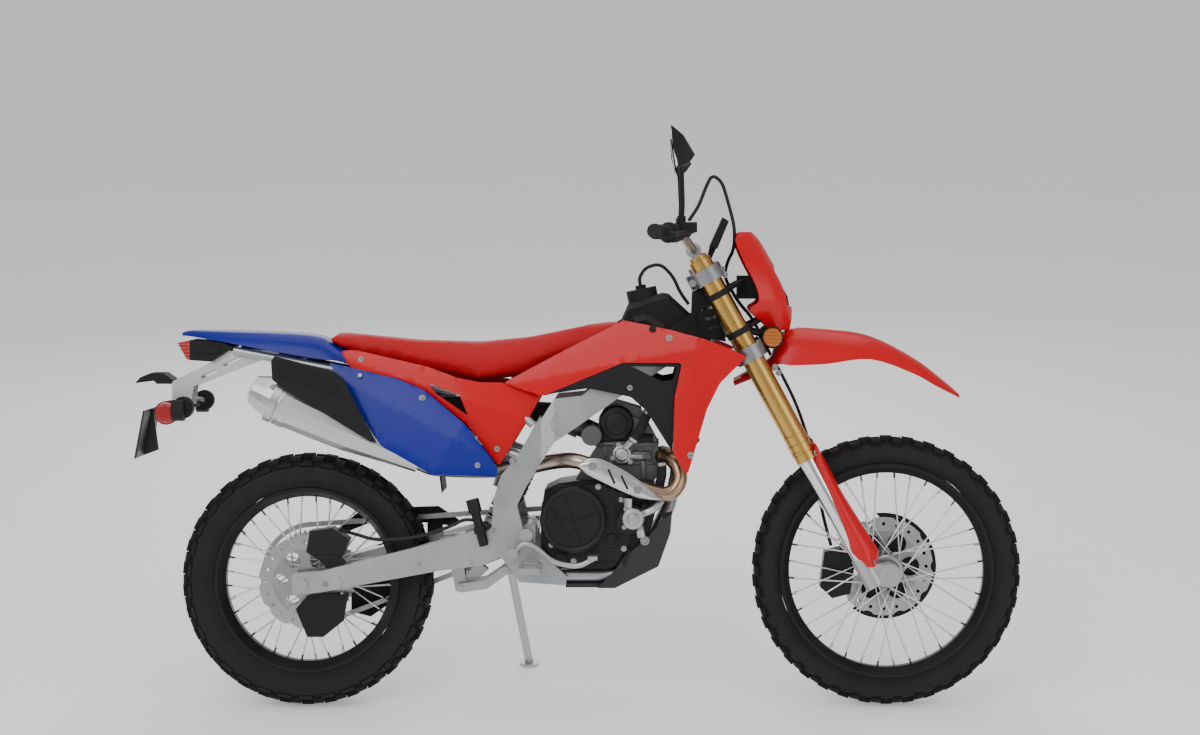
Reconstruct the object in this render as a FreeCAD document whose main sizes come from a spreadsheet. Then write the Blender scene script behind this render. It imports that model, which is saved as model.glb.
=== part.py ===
import FreeCAD, Part
import math
import os
import Sketcher

Vector = FreeCAD.Vector
Placement = FreeCAD.Placement
Rotation = FreeCAD.Rotation

# The motorcycle is drawn upright, X forward from the rear axle, Y to its left and Z up from
# the floor. Every sub-part then gets one Placement, which leans the whole onto its side stand
# and puts the origin at the middle of its footprint. Lengths are millimetres, angles degrees.
SIZES = {
    # Stance and steering geometry
    "wheel_base": 1510,
    "lean_angle": 10,
    "rake_angle": 28.5,
    "trail": 116,
    "fork_offset": 22,
    "leg_spread": 100,
    # Small gaps and overruns
    "fit_gap": 0.3,
    "face_gap": 1,
    "moving_gap": 6,
    "cut_overrun": 5,
    # Tyres
    "rear_tyre_radius": 328,
    "rear_tyre_half": 57,
    "rear_tread_half": 46,
    "rear_bead_radius": 242,
    "rear_bead_half": 42,
    "front_tyre_radius": 351,
    "front_tyre_half": 45,
    "front_tread_half": 36,
    "front_bead_radius": 281,
    "front_bead_half": 30,
    "lug_depth": 12,
    "crown_drop": 13,
    "centre_lug_half": 14,
    "tread_gap": 7,
    # Rims, spokes and hubs
    "rim_depth": 26,
    "rim_lip": 5,
    "rim_well": 12,
    "spoke_radius": 2,
    "hub_radius": 28,
    "flange_radius": 44,
    "flange_thick": 6,
    "flange_half": 34,
    "rear_hub_half": 78,
    "front_hub_half": 62,
    "axle_radius": 11,
    # Brake discs, sprocket and chain
    "rear_disc_radius": 120,
    "rear_disc_place": 66,
    "front_disc_radius": 130,
    "front_disc_place": 54,
    "disc_thick": 4,
    "disc_band": 36,
    "disc_hole_radius": 4.5,
    "scallop_radius": 20,
    "carrier_width": 18,
    "chain_pitch": 15.875,
    "chain_place": 72,
    "chain_half_width": 8,
    "chain_half_height": 8,
    "chain_waist": 6,
    "drive_ahead": 640,
    "drive_height": 468,
    "drive_thick": 7,
    # Swingarm and rear axle
    "pivot_ahead": 577,
    "pivot_height": 459,
    "pivot_radius": 22,
    "arm_thick": 28,
    "arm_rear_inner": 94,
    "arm_front_inner": 85,
    "arm_end_behind": 24,
    "arm_end_height": 54,
    "arm_mid_height": 76,
    "arm_front_height": 92,
    "brace_start": 345,
    "brace_long": 60,
    "axle_nut_radius": 17,
    "axle_nut_thick": 12,
    # Main frame
    "plate_inner": 117,
    "plate_thick": 24,
    "plate_start": 488,
    "plate_low": 330,
    "plate_reach": 234,
    "plate_height": 478,
    "beam_deep": 78,
    "beam_wide": 30,
    "head_radius": 33,
    "head_tall": 130,
    "head_along": 1098,
    "down_tube_radius": 16,
    "cradle_half": 80,
    "cradle_height": 346,
    "subframe_radius": 11,
    "subframe_half": 78,
    # Engine
    "crankcase_start": 612,
    "crankcase_low": 362,
    "crankcase_reach": 313,
    "crankcase_height": 230,
    "crankcase_right": 95,
    "crankcase_left": 58,
    "cover_reach": 228,
    "cover_height": 218,
    "cover_thick": 18,
    "clutch_ahead": 84,
    "clutch_up": 134,
    "clutch_radius": 84,
    "clutch_thick": 20,
    "generator_ahead": 170,
    "generator_up": 108,
    "generator_radius": 68,
    "generator_thick": 36,
    "barrel_half": 58,
    "barrel_start": 700,
    "barrel_reach": 222,
    "barrel_height": 178,
    "cap_half": 46,
    "pump_radius": 30,
    "pump_thick": 30,
    # Exhaust
    "pipe_radius": 20,
    "pipe_side": 116,
    "shield_thick": 3,
    "shield_start": 706,
    "shield_low": 543,
    "shield_reach": 220,
    "shield_height": 109,
    "muffler_side": 128,
    "muffler_radius": 62,
    "muffler_oval": 0.75,
    "muffler_tail_radius": 50,
    "muffler_neck_radius": 27,
    "muffler_start": -92,
    "muffler_rise": 818,
    "muffler_reach": 392,
    "muffler_fall": 178,
    "muffler_cap": 36,
    "guard_thick": 5,
    "guard_start": -69,
    "guard_low": 696,
    "guard_reach": 266,
    "guard_height": 222,
    # Bodywork
    "panel_thick": 4,
    "seat_start": 47,
    "seat_reach": 768,
    "seat_low": 832,
    "seat_height": 178,
    "seat_half": 84,
    "seat_nose_half": 52,
    "side_panel_start": 67,
    "side_panel_reach": 439,
    "side_panel_low": 611,
    "side_panel_height": 287,
    "side_panel_place": 168,
    "cowl_start": 98,
    "cowl_reach": 514,
    "cowl_low": 633,
    "cowl_height": 297,
    "cowl_place": 129,
    "shroud_start": 517,
    "shroud_reach": 623,
    "shroud_low": 617,
    "shroud_height": 390,
    "shroud_place": 123,
    "insert_start": 616,
    "insert_reach": 369,
    "insert_low": 617,
    "insert_height": 282,
    "insert_place": 124.5,
    "shroud_flare": 4.5,
    "fender_gauge": 4,
    "tail_start": -327,
    "tail_reach": 455,
    "tail_low": 905,
    "tail_height": 73,
    "tail_half": 74,
    "tank_start": 640,
    "tank_reach": 391,
    "tank_low": 830,
    "tank_height": 245,
    "tank_half": 70,
    "cap_radius": 40,
    "cap_ahead": 876,
    "cap_height": 1052,
    "cap_tall": 34,
    "hose_radius": 4.5,
    "liner_half": 70,
    "radiator_ahead": 972,
    "radiator_low": 668,
    "radiator_height": 228,
    "radiator_deep": 34,
    "radiator_wide": 84,
    "radiator_inner": 46,
    "skid_start": 676,
    "skid_low": 318,
    "skid_reach": 274,
    "skid_height": 193,
    "skid_half": 98,
    # Tail, lamps and plate carrier
    "lamp_half": 52,
    "lamp_start": -335,
    "lamp_reach": 136,
    "lamp_low": 898,
    "lamp_height": 60,
    "bracket_start": -352,
    "bracket_reach": 281,
    "bracket_low": 768,
    "bracket_height": 159,
    "bracket_half": 34,
    "signal_radius": 27,
    "signal_deep": 30,
    "signal_side": 150,
    "stalk_radius": 6,
    "board_wide": 180,
    # Foot controls, stand and linkage
    "peg_ahead": 590,
    "peg_height": 372,
    "peg_long": 92,
    "peg_wide": 52,
    "pedal_thick": 9,
    "pedal_place": 156,
    "pedal_start": 545,
    "pedal_low": 381,
    "pedal_reach": 205,
    "pedal_height": 62,
    "stand_pivot_ahead": 500,
    "stand_pivot_height": 386,
    "stand_pivot_side": 160,
    "stand_foot_ahead": 560,
    "stand_foot_side": 285,
    "stand_radius": 11,
    "stand_foot_radius": 27,
    "stand_foot_thick": 8,
    "link_thick": 9,
    "link_pin_radius": 8,
    "link_pin_ahead": 400,
    "link_pin_height": 308,
    "link_place": 34,
    "shock_radius": 24,
    "spring_radius": 38,
    # Fork, clamps and bars
    "outer_tube_radius": 29,
    "inner_tube_radius": 24,
    "outer_tube_start": 739,
    "outer_tube_long": 570,
    "lug_radius": 29,
    "clamp_tall": 38,
    "upper_clamp_along": 1246,
    "lower_clamp_along": 1018,
    "clamp_wall": 13,
    "front_axle_radius": 12,
    "front_fender_half": 82,
    "front_fender_behind": 398,
    "front_fender_reach": 588,
    "front_fender_low": 808,
    "front_fender_height": 173,
    "front_signal_side": 78,
    "mask_behind": 468,
    "mask_deep": 104,
    "mask_low": 978,
    "mask_height": 256,
    "mask_half": 104,
    "lamp_window_half": 62,
    "lamp_window_tall": 104,
    "lamp_window_low": 1040,
    "bar_radius": 11,
    "grip_radius": 16,
    "grip_long": 116,
    "bar_half": 400,
    "flange_disc_radius": 26,
    "grip_inner_along": 1407.2,
    "grip_inner_ahead": -12.0,
    "grip_outer_along": 1428.0,
    "grip_outer_ahead": -43.9,
    "bar_centre_along": 1338.1,
    "bar_centre_ahead": 21.0,
    "riser_side": 42,
    "riser_radius": 15,
    "saddle_ahead": 12,
    "saddle_inward": 36,
    "saddle_long": 34,
    "saddle_wide": 26,
    "mirror_out": 33,
    "mirror_foot_ahead": 29,
    "mirror_foot_inward": 49,
    "mirror_half": 62,
    "guard_plate_place": 128,
    "mask_gauge": 4,
    # Frame tubes
    "frame_cross_start": 588,
    "frame_cross_low": 690,
    "frame_down_start": 956,
    "frame_down_low": 560,
    "frame_down_reach": 39,
    "frame_down_height": 290,
    "frame_branch_start": 884,
    "frame_branch_low": 388,
    "frame_branch_reach": 73,
    "frame_branch_height": 196,
    "frame_branch_side": 38,
    "frame_cross_radius": 14,
    "frame_brace_radius": 10,
    # Subframe rails
    "seat_rest_start": 292,
    "seat_rest_low": 838,
    "seat_rest_reach": 16,
    "seat_rest_height": 41.9,
    "subframe_upper_start": -188,
    "subframe_upper_low": 738,
    "subframe_upper_reach": 780,
    "subframe_upper_height": 188,
    "subframe_lower_start": 160,
    "subframe_lower_low": 652,
    "subframe_lower_reach": 406,
    "subframe_lower_height": 200,
    "seat_rest_half": 30,
    "subframe_pegs_radius": 5,
    # Swingarm clevis
    "clevis_start": 368,
    "clevis_low": 296,
    "clevis_reach": 48,
    "clevis_height": 99,
    "clevis_inner": 18,
    "clevis_outer": 26,
    # Shock absorber
    "shock_eye_start": 456,
    "shock_eye_low": 380,
    "shock_eye_reach": 126,
    "shock_eye_height": 295,
    "shock_bottle_start": 500,
    "shock_bottle_low": 560,
    "shock_bottle_reach": 28,
    "shock_bottle_height": 92,
    "shock_bottle_side": 50,
    "shock_bridge_start": 524,
    "shock_bridge_low": 638,
    "shock_bridge_reach": 38,
    "shock_bridge_side": 50,
    # Shock linkage
    "link_arm_start": 388,
    "link_arm_low": 296,
    "link_arm_reach": 142,
    "link_arm_height": 72,
    "rocker_start": 388,
    "rocker_low": 298,
    "rocker_reach": 82,
    "rocker_height": 74,
    "hanger_start": 506,
    "hanger_low": 334,
    "hanger_reach": 99,
    "hanger_height": 38,
    "rocker_pin_start": 518,
    "rocker_pin_low": 357,
    "rocker_half": 16,
    "hanger_half": 22,
    # Crankcase shaft
    "crankcase_shaft_radius": 12,
    # Engine covers
    "cover_spout_radius": 10,
    "cover_filler_radius": 15,
    # Cylinder fittings
    "valve_lid_start": 768,
    "valve_lid_low": 738,
    "valve_lid_reach": 112,
    "valve_lid_height": 58,
    "sensor_start": 796,
    "sensor_low": 640,
    "sensor_reach": 54,
    "sensor_height": 52,
    "throat_start": 690,
    "throat_low": 700,
    "throat_reach": 75,
    "throat_height": 35,
    "throttle_start": 650,
    "throttle_low": 725,
    "throttle_reach": 62,
    "throttle_height": 29,
    "housing_start": 742,
    "housing_low": 708,
    "throat_radius": 27,
    "throttle_radius": 34,
    "housing_radius": 26,
    # Airbox
    "airbox_start": 322,
    "airbox_low": 668,
    "airbox_reach": 198,
    "airbox_height": 138,
    "duct_start": 500,
    "duct_low": 758,
    "duct_reach": 134,
    "duct_height": 7,
    "airbox_half": 56,
    "duct_radius": 30,
    # Header pipe
    "collar_start": 922,
    "collar_low": 651,
    "collar_reach": 10,
    "collar_height": 1,
    "collar_side": 49,
    "outlet_radius": 19,
    "outlet_bore_radius": 16,
    # Tail posts
    "tail_post_start": -32,
    "tail_post_low": 903,
    "tail_post_reach": 24,
    "tail_post_height": 66,
    "rear_post_start": -212,
    "rear_post_low": 937.7,
    "rear_post_reach": 16,
    "rear_post_height": 36.3,
    "tail_post_half": 18,
    "rear_post_half": 18,
    # Wheel liner
    "liner_start": -44,
    "liner_low": 560,
    "liner_reach": 400,
    "liner_height": 322,
    "liner_tab_start": -26,
    "liner_tab_low": 876.5,
    "liner_tab_reach": 12,
    "liner_tab_height": 8.5,
    "liner_tab_half": 20,
    # Tank pegs
    "tank_peg_start": 900,
    "tank_peg_low": 985,
    "tank_peg_radius": 9,
    "tank_peg_inner": 142,
    "tank_peg_outer": 50,
    # Cap
    "cap_neck_radius": 14,
    # Radiator pegs
    "radiator_peg_start": 976,
    "radiator_peg_low": 700,
    "radiator_peg_reach": 24,
    "radiator_peg_height": 100,
    "radiator_peg_radius": 8,
    "radiator_peg_inner": 158,
    "radiator_peg_radius_2": 8,
    "radiator_peg_outer": 8,
    # Lamps
    "lamp_case_start": -302,
    "lamp_case_low": 897,
    "lamp_case_reach": 112,
    "lamp_case_height": 56,
    "rear_lens_start": -335,
    "rear_lens_low": 901,
    "rear_lens_reach": 33,
    "rear_lens_height": 52,
    "plate_hood_start": -449,
    "plate_hood_low": 838,
    "plate_hood_reach": 96.7,
    "plate_hood_height": 28,
    "tail_reflector_start": -352,
    "tail_reflector_low": 768,
    "tail_hood_half": 32,
    "tail_reflector_radius": 29,
    # Plate carrier
    "carrier_back_start": -350,
    "carrier_back_low": 838,
    "carrier_back_reach": 160,
    "carrier_back_height": 87.7,
    "carrier_bridge_start": -352,
    "carrier_bridge_low": 790,
    "carrier_bridge_reach": 6,
    "carrier_bridge_height": 52,
    "board_rib_start": -437,
    "board_rib_low": 648,
    "board_rib_reach": 43,
    "board_rib_height": 124,
    "board_start": -438,
    "board_low": 648,
    "board_reach": 28,
    "board_height": 125,
    "board_strut_start": -410,
    "board_strut_low": 760,
    "board_strut_reach": 65,
    "board_strut_height": 40,
    "bracket_board_half": 3,
    "bracket_strut_half": 12,
    # Rear signals
    "rear_signal_right_start": -310,
    "rear_signal_right_low": 778,
    # Pedals
    "pedal_shaft_start": 650,
    "pedal_shaft_low": 412,
    "pedal_rubber_start": 784,
    "pedal_rubber_low": 402,
    "pedal_lever_start": 700,
    "pedal_lever_low": 396,
    "pedal_lever_reach": 82,
    "pedal_lever_height": 6,
    "pedal_lever_side": 108,
    "pedal_boss_radius": 13,
    "pedal_lever_radius": 6,
    "pedal_pin_radius": 9,
    "pedal_pin_outer": 96,
    "pedal_rubber_radius": 9,
    "pedal_rubber_inner": 102,
    "pedal_rubber_outer": 142,
    # Rear brake
    "rear_caliper_start": 6,
    "rear_caliper_low": 386,
    "rear_caliper_reach": 112,
    "rear_caliper_height": 84,
    "rear_caliper_ear_start": 30,
    "rear_caliper_ear_low": 366,
    "rear_caliper_ear_reach": 80,
    "rear_caliper_ear_height": 34,
    "master_bracket_start": 456,
    "master_bracket_low": 470,
    "master_bracket_reach": 31.4,
    "master_bracket_height": 14,
    "rear_brake_point_start": 438,
    "rear_brake_point_low": 430,
    "rear_brake_point_reach": 30,
    "rear_brake_point_height": 118,
    "rear_brake_master_radius": 12,
    "rear_brake_master_radius_2": 17,
    "rear_brake_master_radius_3": 16,
    # Swingarm guards
    "chain_guard_start": 60,
    "chain_guard_low": 436,
    "chain_guard_reach": 324,
    "chain_guard_height": 70,
    "chain_guard_foot_start": 300,
    "chain_guard_foot_low": 427,
    "chain_guard_foot_reach": 40,
    "chain_guard_foot_height": 37,
    "chain_guide_start": 98,
    "chain_guide_low": 212,
    "chain_guide_reach": 117,
    "chain_guide_height": 116,
    "chain_guide_foot_start": 110,
    "chain_guide_foot_low": 300,
    "chain_guide_foot_reach": 70,
    "chain_guide_foot_height": 29,
    "disc_shield_start": -20,
    "disc_shield_low": 190,
    "disc_shield_reach": 136,
    "disc_shield_height": 110,
    # Stand
    "stand_knuckle_radius": 17,
    # Stand bracket
    "stand_bracket_pin_radius": 5,
    # Clamps
    "triple_clamps_nut_radius": 17,
    "triple_clamps_piece_radius": 9,
    # Fork legs
    "fork_legs_bore_half": 200,
    "fork_legs_piece_radius": 16,
    # Fork guards
    "fork_guard_along": 400.1,
    "fork_guard_ahead": -4.9,
    "fork_guard_long": 361.8,
    "fork_guard_deep": 73.2,
    "fork_guard_front_along": 431.7,
    "fork_guard_front_ahead": 52.8,
    "fork_guard_front_long": 307.7,
    "fork_guard_front_deep": 15.5,
    "fork_guard_tie_radius": 8,
    # Front fender
    "fender_boss_radius": 26,
    # Headlight
    "lamp_face_along": 1095,
    "lamp_face_ahead": 106.2,
    "lamp_face_long": 121.4,
    "lamp_face_deep": 72,
    "lamp_carrier_along": 1143.9,
    "lamp_carrier_ahead": 61.1,
    "lamp_carrier_long": 81.8,
    "lamp_carrier_deep": 82.2,
    "lamp_lamp_half": 60,
    "lamp_carrier_half": 40,
    "lamp_cross_radius": 6,
    "lamp_arm_radius": 6,
    # Front signals
    "signal_centre_along": 1044.4,
    "signal_centre_ahead": 92.6,
    "signal_arm_along": 1044.4,
    "signal_arm_ahead": 48.3,
    "signal_arm_long": 42.2,
    "signal_arm_deep": 44.3,
    "signal_arm_side": 100,
    "signal_arm_radius": 7,
    # Bar bends
    "bar_half_along": 1350.7,
    "bar_half_ahead": 14.7,
    "bar_half_long": 38.6,
    "bar_half_deep": 4.1,
    # Bar controls
    "meter_along": 1312,
    "meter_ahead": 62.7,
    "meter_long": 65.4,
    "meter_deep": 75.5,
    "meter_foot_along": 1284.1,
    "meter_foot_ahead": 24.7,
    "meter_foot_long": 45.3,
    "meter_foot_deep": 55.6,
    "bar_cluster_radius": 24,
    "bar_perch_radius": 20,
    "bar_arm_radius": 9,
    "bar_lever_radius": 6,
    "bar_meter_half": 52,
    "bar_foot_half": 20,
    # Mirrors
    "mirror_front_along": 1547.3,
    "mirror_front_ahead": 134.6,
    "mirror_stem_along": 1452.6,
    "mirror_stem_ahead": 49.1,
    "mirror_stem_long": 89.8,
    "mirror_stem_deep": 44.2,
    "mirror_rear_along": 1534.7,
    "mirror_rear_ahead": 82.3,
    "mirror_rear_long": 104.5,
    "mirror_rear_deep": 35.5,
    "mirror_post_radius": 6,
    "mirror_foot_radius": 11,
    # Front brake
    "caliper_along": 346.1,
    "caliper_ahead": -108.2,
    "caliper_long": 129.1,
    "caliper_deep": 117,
    "caliper_slot_along": 271,
    "caliper_slot_ahead": -97.3,
    "caliper_slot_long": 210.7,
    "caliper_slot_deep": 206.1,
    "caliper_ear_along": 385.4,
    "caliper_ear_ahead": -37.7,
    "caliper_ear_long": 49.8,
    "caliper_ear_deep": 58.8,
    "guard_notch_along": 287.4,
    "guard_notch_ahead": -214.9,
    "guard_notch_long": 360.3,
    "guard_notch_deep": 333.2,
    "caliper_notch_outer": 200,
    "caliper_middle_radius": 40,
    "caliper_middle_outer": 200,
    "caliper_inner_ring_radius": 26,
    "caliper_hub_hole_outer": 200,
}


def fill_sheet(sizes):
    """Write the driving sizes into the document's spreadsheet, one named cell each."""
    for row, (alias, value) in enumerate(sizes.items(), start=1):
        sheet.set(f"A{row}", alias)
        sheet.set(f"B{row}", str(value))
        sheet.setAlias(f"B{row}", alias)
    doc.recompute()


doc = FreeCAD.newDocument("DualSportMotorcycle")
sheet = doc.addObject("Spreadsheet::Sheet", "Sizes")
fill_sheet(SIZES)
S = sheet

# Places that follow from the driving sizes
REAR_AXLE = Vector(0, 0, S.rear_tyre_radius)
FRONT_AXLE = Vector(S.wheel_base, 0, S.front_tyre_radius)
PIVOT = Vector(S.pivot_ahead, 0, S.pivot_height)
DRIVE = Vector(S.drive_ahead, S.chain_place, S.drive_height)
RAKE = math.radians(S.rake_angle)
LEAN = math.radians(S.lean_angle)
LINK_PIN = Vector(S.link_pin_ahead, 0, S.link_pin_height)
STEER_FOOT = Vector(S.wheel_base + S.trail, 0, 0)
ALONG = Vector(-math.sin(RAKE), 0, math.cos(RAKE))
AHEAD = Vector(math.cos(RAKE), 0, math.sin(RAKE))
SIDE = Vector(0, 1, 0)
UP = Vector(0, 0, 1)
BEND_SHARE = 0.45
STEPS = 60

nodes = {}


# Helpers

def node(thing, label, at=Placement()):
    """Name a finished sub-part and remember where it sits on the upright motorcycle."""
    thing.Label = label
    nodes[label] = (thing, at)
    return thing


def feature(label, shape, at=Placement()):
    """A sub-part whose shape is worked out here from the sheet."""
    thing = doc.addObject("Part::Feature", label)
    thing.Shape = shape
    return node(thing, label, at)


def on_fork(along, ahead, side=0.0):
    """A point given along the steering axis from the floor, ahead of it and to the left."""
    return STEER_FOOT + ALONG * along + AHEAD * ahead + SIDE * side


def fork_outline(shares, along, ahead, long, deep):
    """Side-view corners given as shares of a length along the fork and a depth ahead of it."""
    spots = [on_fork(along + long * up, ahead + deep * forward) for up, forward in shares]
    return [(spot.x, spot.z) for spot in spots]


def within(start, low, reach, height):
    """A function that places points at shares of a reach and of a height."""
    def place(along_share, side, high_share):
        return Vector(start + reach * along_share, side, low + height * high_share)
    return place


def fork_within(along, ahead, long, deep):
    """A function that places points at shares of a length along the fork and of a depth ahead."""
    def place(along_share, ahead_share, side):
        return on_fork(along + long * along_share, ahead + deep * ahead_share, side)
    return place


def fork_place(point):
    """How far along the steering axis and ahead of it a point lies."""
    reach = point - STEER_FOOT
    return reach.dot(ALONG), reach.dot(AHEAD)


def outline(shares, start, low, reach, height):
    """Corners of a side outline, from shares of its reach and its height."""
    return [(start + reach * along, low + height * up) for along, up in shares]


def fuse(shapes):
    """One clean solid from shapes that overlap."""
    return shapes[0].multiFuse(shapes[1:]).removeSplitter()


def polygon(points):
    """A closed wire through the points."""
    return Part.makePolygon(list(points) + [points[0]])


def prism(points, push):
    """A flat outline pushed along a vector."""
    return Part.Face(polygon(points)).extrude(push)


def side_prism(corners, low, high):
    """A side outline made solid between two distances from the middle plane."""
    return prism([Vector(x, low, z) for x, z in corners], Vector(0, high - low, 0))


def loft(sections):
    """A ruled solid through closed sections with equally many corners."""
    return Part.makeLoft([polygon(section) for section in sections], True, True)


def mirror(shape):
    """The same shape on the other side of the middle plane."""
    return shape.mirror(Vector(0, 0, 0), SIDE)


def relieved(shape, *labels):
    """A shape with the space of the named sub-parts taken out of it."""
    return shape.cut([nodes[label][0].Shape for label in labels])


def both_sides(shape):
    """A shape and its mirror image, which do not touch."""
    return Part.makeCompound([shape, mirror(shape)])


def bent_wire(points):
    """Straight runs joined by tangent arcs, each as large as its two runs allow."""
    edges = []
    start = points[0]
    for before, corner, after in zip(points, points[1:], points[2:]):
        back = (before - corner).normalize()
        ahead = (after - corner).normalize()
        half = back.getAngle(ahead) / 2
        reach = BEND_SHARE * min((before - corner).Length, (after - corner).Length)
        radius = reach * math.tan(half)
        middle = corner + (back + ahead).normalize() * (reach / math.cos(half) - radius)
        edges.append(Part.LineSegment(start, corner + back * reach).toShape())
        edges.append(Part.Arc(corner + back * reach, middle, corner + ahead * reach).toShape())
        start = corner + ahead * reach
    edges.append(Part.LineSegment(start, points[-1]).toShape())
    return Part.Wire(edges)


def tube(points, radius):
    """A round bar that follows the points with tangent bends."""
    if len(points) == 2:
        return Part.makeCylinder(radius, (points[1] - points[0]).Length, points[0], points[1] - points[0])
    wire = bent_wire(points)
    ring = Part.Wire(Part.makeCircle(radius, points[0], points[1] - points[0]))
    return wire.makePipeShell([ring], True, False)


def disc_between(start, end, radius):
    """A plain cylinder from one point to another."""
    return Part.makeCylinder(radius, (end - start).Length, start, end - start)


def side_disc(centre, low, high, radius):
    """A cylinder across the motorcycle between two distances from the middle plane."""
    return Part.makeCylinder(radius, high - low, Vector(centre.x, low, centre.z), SIDE)


def arch(centre, forward, half, drop, gauge):
    """A thin arched section: crown at the centre, edges `drop` behind it at +-half."""
    crown_shares = ((-1.0, 1.0), (-0.82, 0.42), (-0.45, 0.08), (0.45, 0.08), (0.82, 0.42), (1.0, 1.0))
    outer = [centre + SIDE * (half * a) - forward * (drop * b) for a, b in crown_shares]
    inner = [centre + SIDE * ((half - gauge) * a) - forward * (gauge + (drop - gauge) * b)
             for a, b in crown_shares]
    return outer + inner[::-1]


def side_sketch(body, name, corners, inner, flare=0.0, tuck=0.0):
    """A closed outline in the side view, on a plane that passes the outline's lower rear corner."""
    sketch = body.newObject("Sketcher::SketchObject", name)
    plane = [item for item in body.Origin.OriginFeatures if item.Role == "XZ_Plane"][0]
    sketch.AttachmentSupport = (plane, [""])
    sketch.MapMode = "FlatFace"
    start = min(x for x, z in corners)
    low = min(z for x, z in corners)
    turn = Rotation(Vector(0, 1, 0), -flare).multiply(Rotation(Vector(1, 0, 0), -tuck))
    sketch.AttachmentOffset = Placement(Vector(start, low, inner), turn)
    points = [Vector(x - start, z - low, 0) for x, z in corners]
    for index, (first, second) in enumerate(zip(points, points[1:] + points[:1])):
        sketch.addGeometry(Part.LineSegment(first, second), False)
        if index:
            sketch.addConstraint(Sketcher.Constraint("Coincident", index - 1, 2, index, 1))
    sketch.addConstraint(Sketcher.Constraint("Coincident", len(points) - 1, 2, 0, 1))
    return sketch


def plate(name, corners, inner, thick, flare=0.0, tuck=0.0, windows=()):
    """A flat plate on the right side, padded outward by the named thickness, with its windows."""
    body = doc.addObject("PartDesign::Body", name)
    pad = body.newObject("PartDesign::Pad", name + "_pad")
    pad.Profile = side_sketch(body, name + "_outline", corners, inner, flare, tuck)
    pad.setExpression("Length", "Sizes." + thick)
    for number, window in enumerate(windows):
        doc.recompute()
        cut = body.newObject("PartDesign::Pocket", f"{name}_window_{number}")
        cut.Profile = side_sketch(body, f"{name}_window_outline_{number}", window, inner, flare, tuck)
        cut.Type = "ThroughAll"
        cut.Midplane = True
    return body


def pair(name, right):
    """The right-hand piece and its mirror image, as one sub-part."""
    left = doc.addObject("Part::Mirroring", name + "_left")
    left.Source = right
    left.Normal = SIDE
    both = doc.addObject("Part::Compound", name)
    both.Links = [right, left]
    return node(both, name)


def revolved(name, profile):
    """A body turned about the wheel's axis from corners given as radius and side."""
    body = doc.addObject("PartDesign::Body", name)
    sketch = body.newObject("Sketcher::SketchObject", name + "_profile")
    plane = [item for item in body.Origin.OriginFeatures if item.Role == "XY_Plane"][0]
    sketch.AttachmentSupport = (plane, [""])
    sketch.MapMode = "FlatFace"
    points = [Vector(radius, side, 0) for radius, side in profile]
    for first, second in zip(points, points[1:] + points[:1]):
        sketch.addGeometry(Part.LineSegment(first, second), False)
    turned = body.newObject("PartDesign::Revolution", name + "_turned")
    turned.Profile = sketch
    turned.ReferenceAxis = (sketch, ["V_Axis"])
    turned.Angle = 360
    return body


# Wheels

def tyre(radius, half, tread_half, bead_radius, bead_half):
    """A knobbly tyre as flat faces: a tread of three lug rows on a rounded carcass."""
    base = radius - S.lug_depth
    side_base = base - S.crown_drop
    gap = S.centre_lug_half + S.tread_gap
    rows = [(-tread_half, side_base), (-gap, base - S.crown_drop / 5), (-S.centre_lug_half, base),
            (S.centre_lug_half, base), (gap, base - S.crown_drop / 5), (tread_half, side_base)]
    wall = [(tread_half, side_base), (half, (side_base * 2 + bead_radius) / 3),
            (half, (side_base + bead_radius * 2) / 3), (bead_half, bead_radius)]
    lean_out = S.lug_depth / 2

    def spot(angle, row, lift=0.0):
        side, reach = row
        out = math.copysign(lift / S.lug_depth * lean_out, side) if abs(side) == tread_half else 0.0
        level = reach + lift
        return Vector(level * math.sin(angle), side + out, -level * math.cos(angle))

    def quad(*corners):
        faces.append(Part.Face(polygon(corners)))

    faces = []
    for step in range(STEPS):
        early = 2 * math.pi * (step + 0.0) / STEPS
        late = 2 * math.pi * (step + 1.0) / STEPS
        for column in range(5):
            lug = (column == 2 and step % 2 == 0) or (column in (0, 4) and step % 2 == 1)
            lift = S.lug_depth if lug else 0.0
            a, b = rows[column], rows[column + 1]
            quad(spot(early, a, lift), spot(late, a, lift), spot(late, b, lift), spot(early, b, lift))
            if lug:
                quad(spot(early, a), spot(early, b), spot(early, b, lift), spot(early, a, lift))
                quad(spot(late, a), spot(late, a, lift), spot(late, b, lift), spot(late, b))
                quad(spot(early, a), spot(early, a, lift), spot(late, a, lift), spot(late, a))
                quad(spot(early, b), spot(late, b), spot(late, b, lift), spot(early, b, lift))
        for first, second in zip(wall, wall[1:]):
            quad(spot(early, first), spot(late, first), spot(late, second), spot(early, second))
            first, second = (-first[0], first[1]), (-second[0], second[1])
            quad(spot(early, first), spot(early, second), spot(late, second), spot(late, first))
        bead, other = wall[-1], (-wall[-1][0], wall[-1][1])
        quad(spot(early, bead), spot(late, bead), spot(late, other), spot(early, other))
    solid = Part.Solid(Part.Shell(faces))
    if solid.Volume < 0:
        solid.reverse()
    return solid


def rim_profile(bead_radius, bead_half):
    """The rim's section: two lips, a drop centre and the spoke well."""
    top = bead_radius - S.face_gap
    well = top - S.rim_depth
    inner = bead_half - S.rim_lip
    return [(top, bead_half), (top, inner), (well + S.rim_lip, S.rim_well), (well + S.rim_lip, -S.rim_well),
            (top, -inner), (top, -bead_half), (top - S.rim_lip * 2, -bead_half), (well, -S.rim_well),
            (well, S.rim_well), (top - S.rim_lip * 2, bead_half)]


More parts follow.
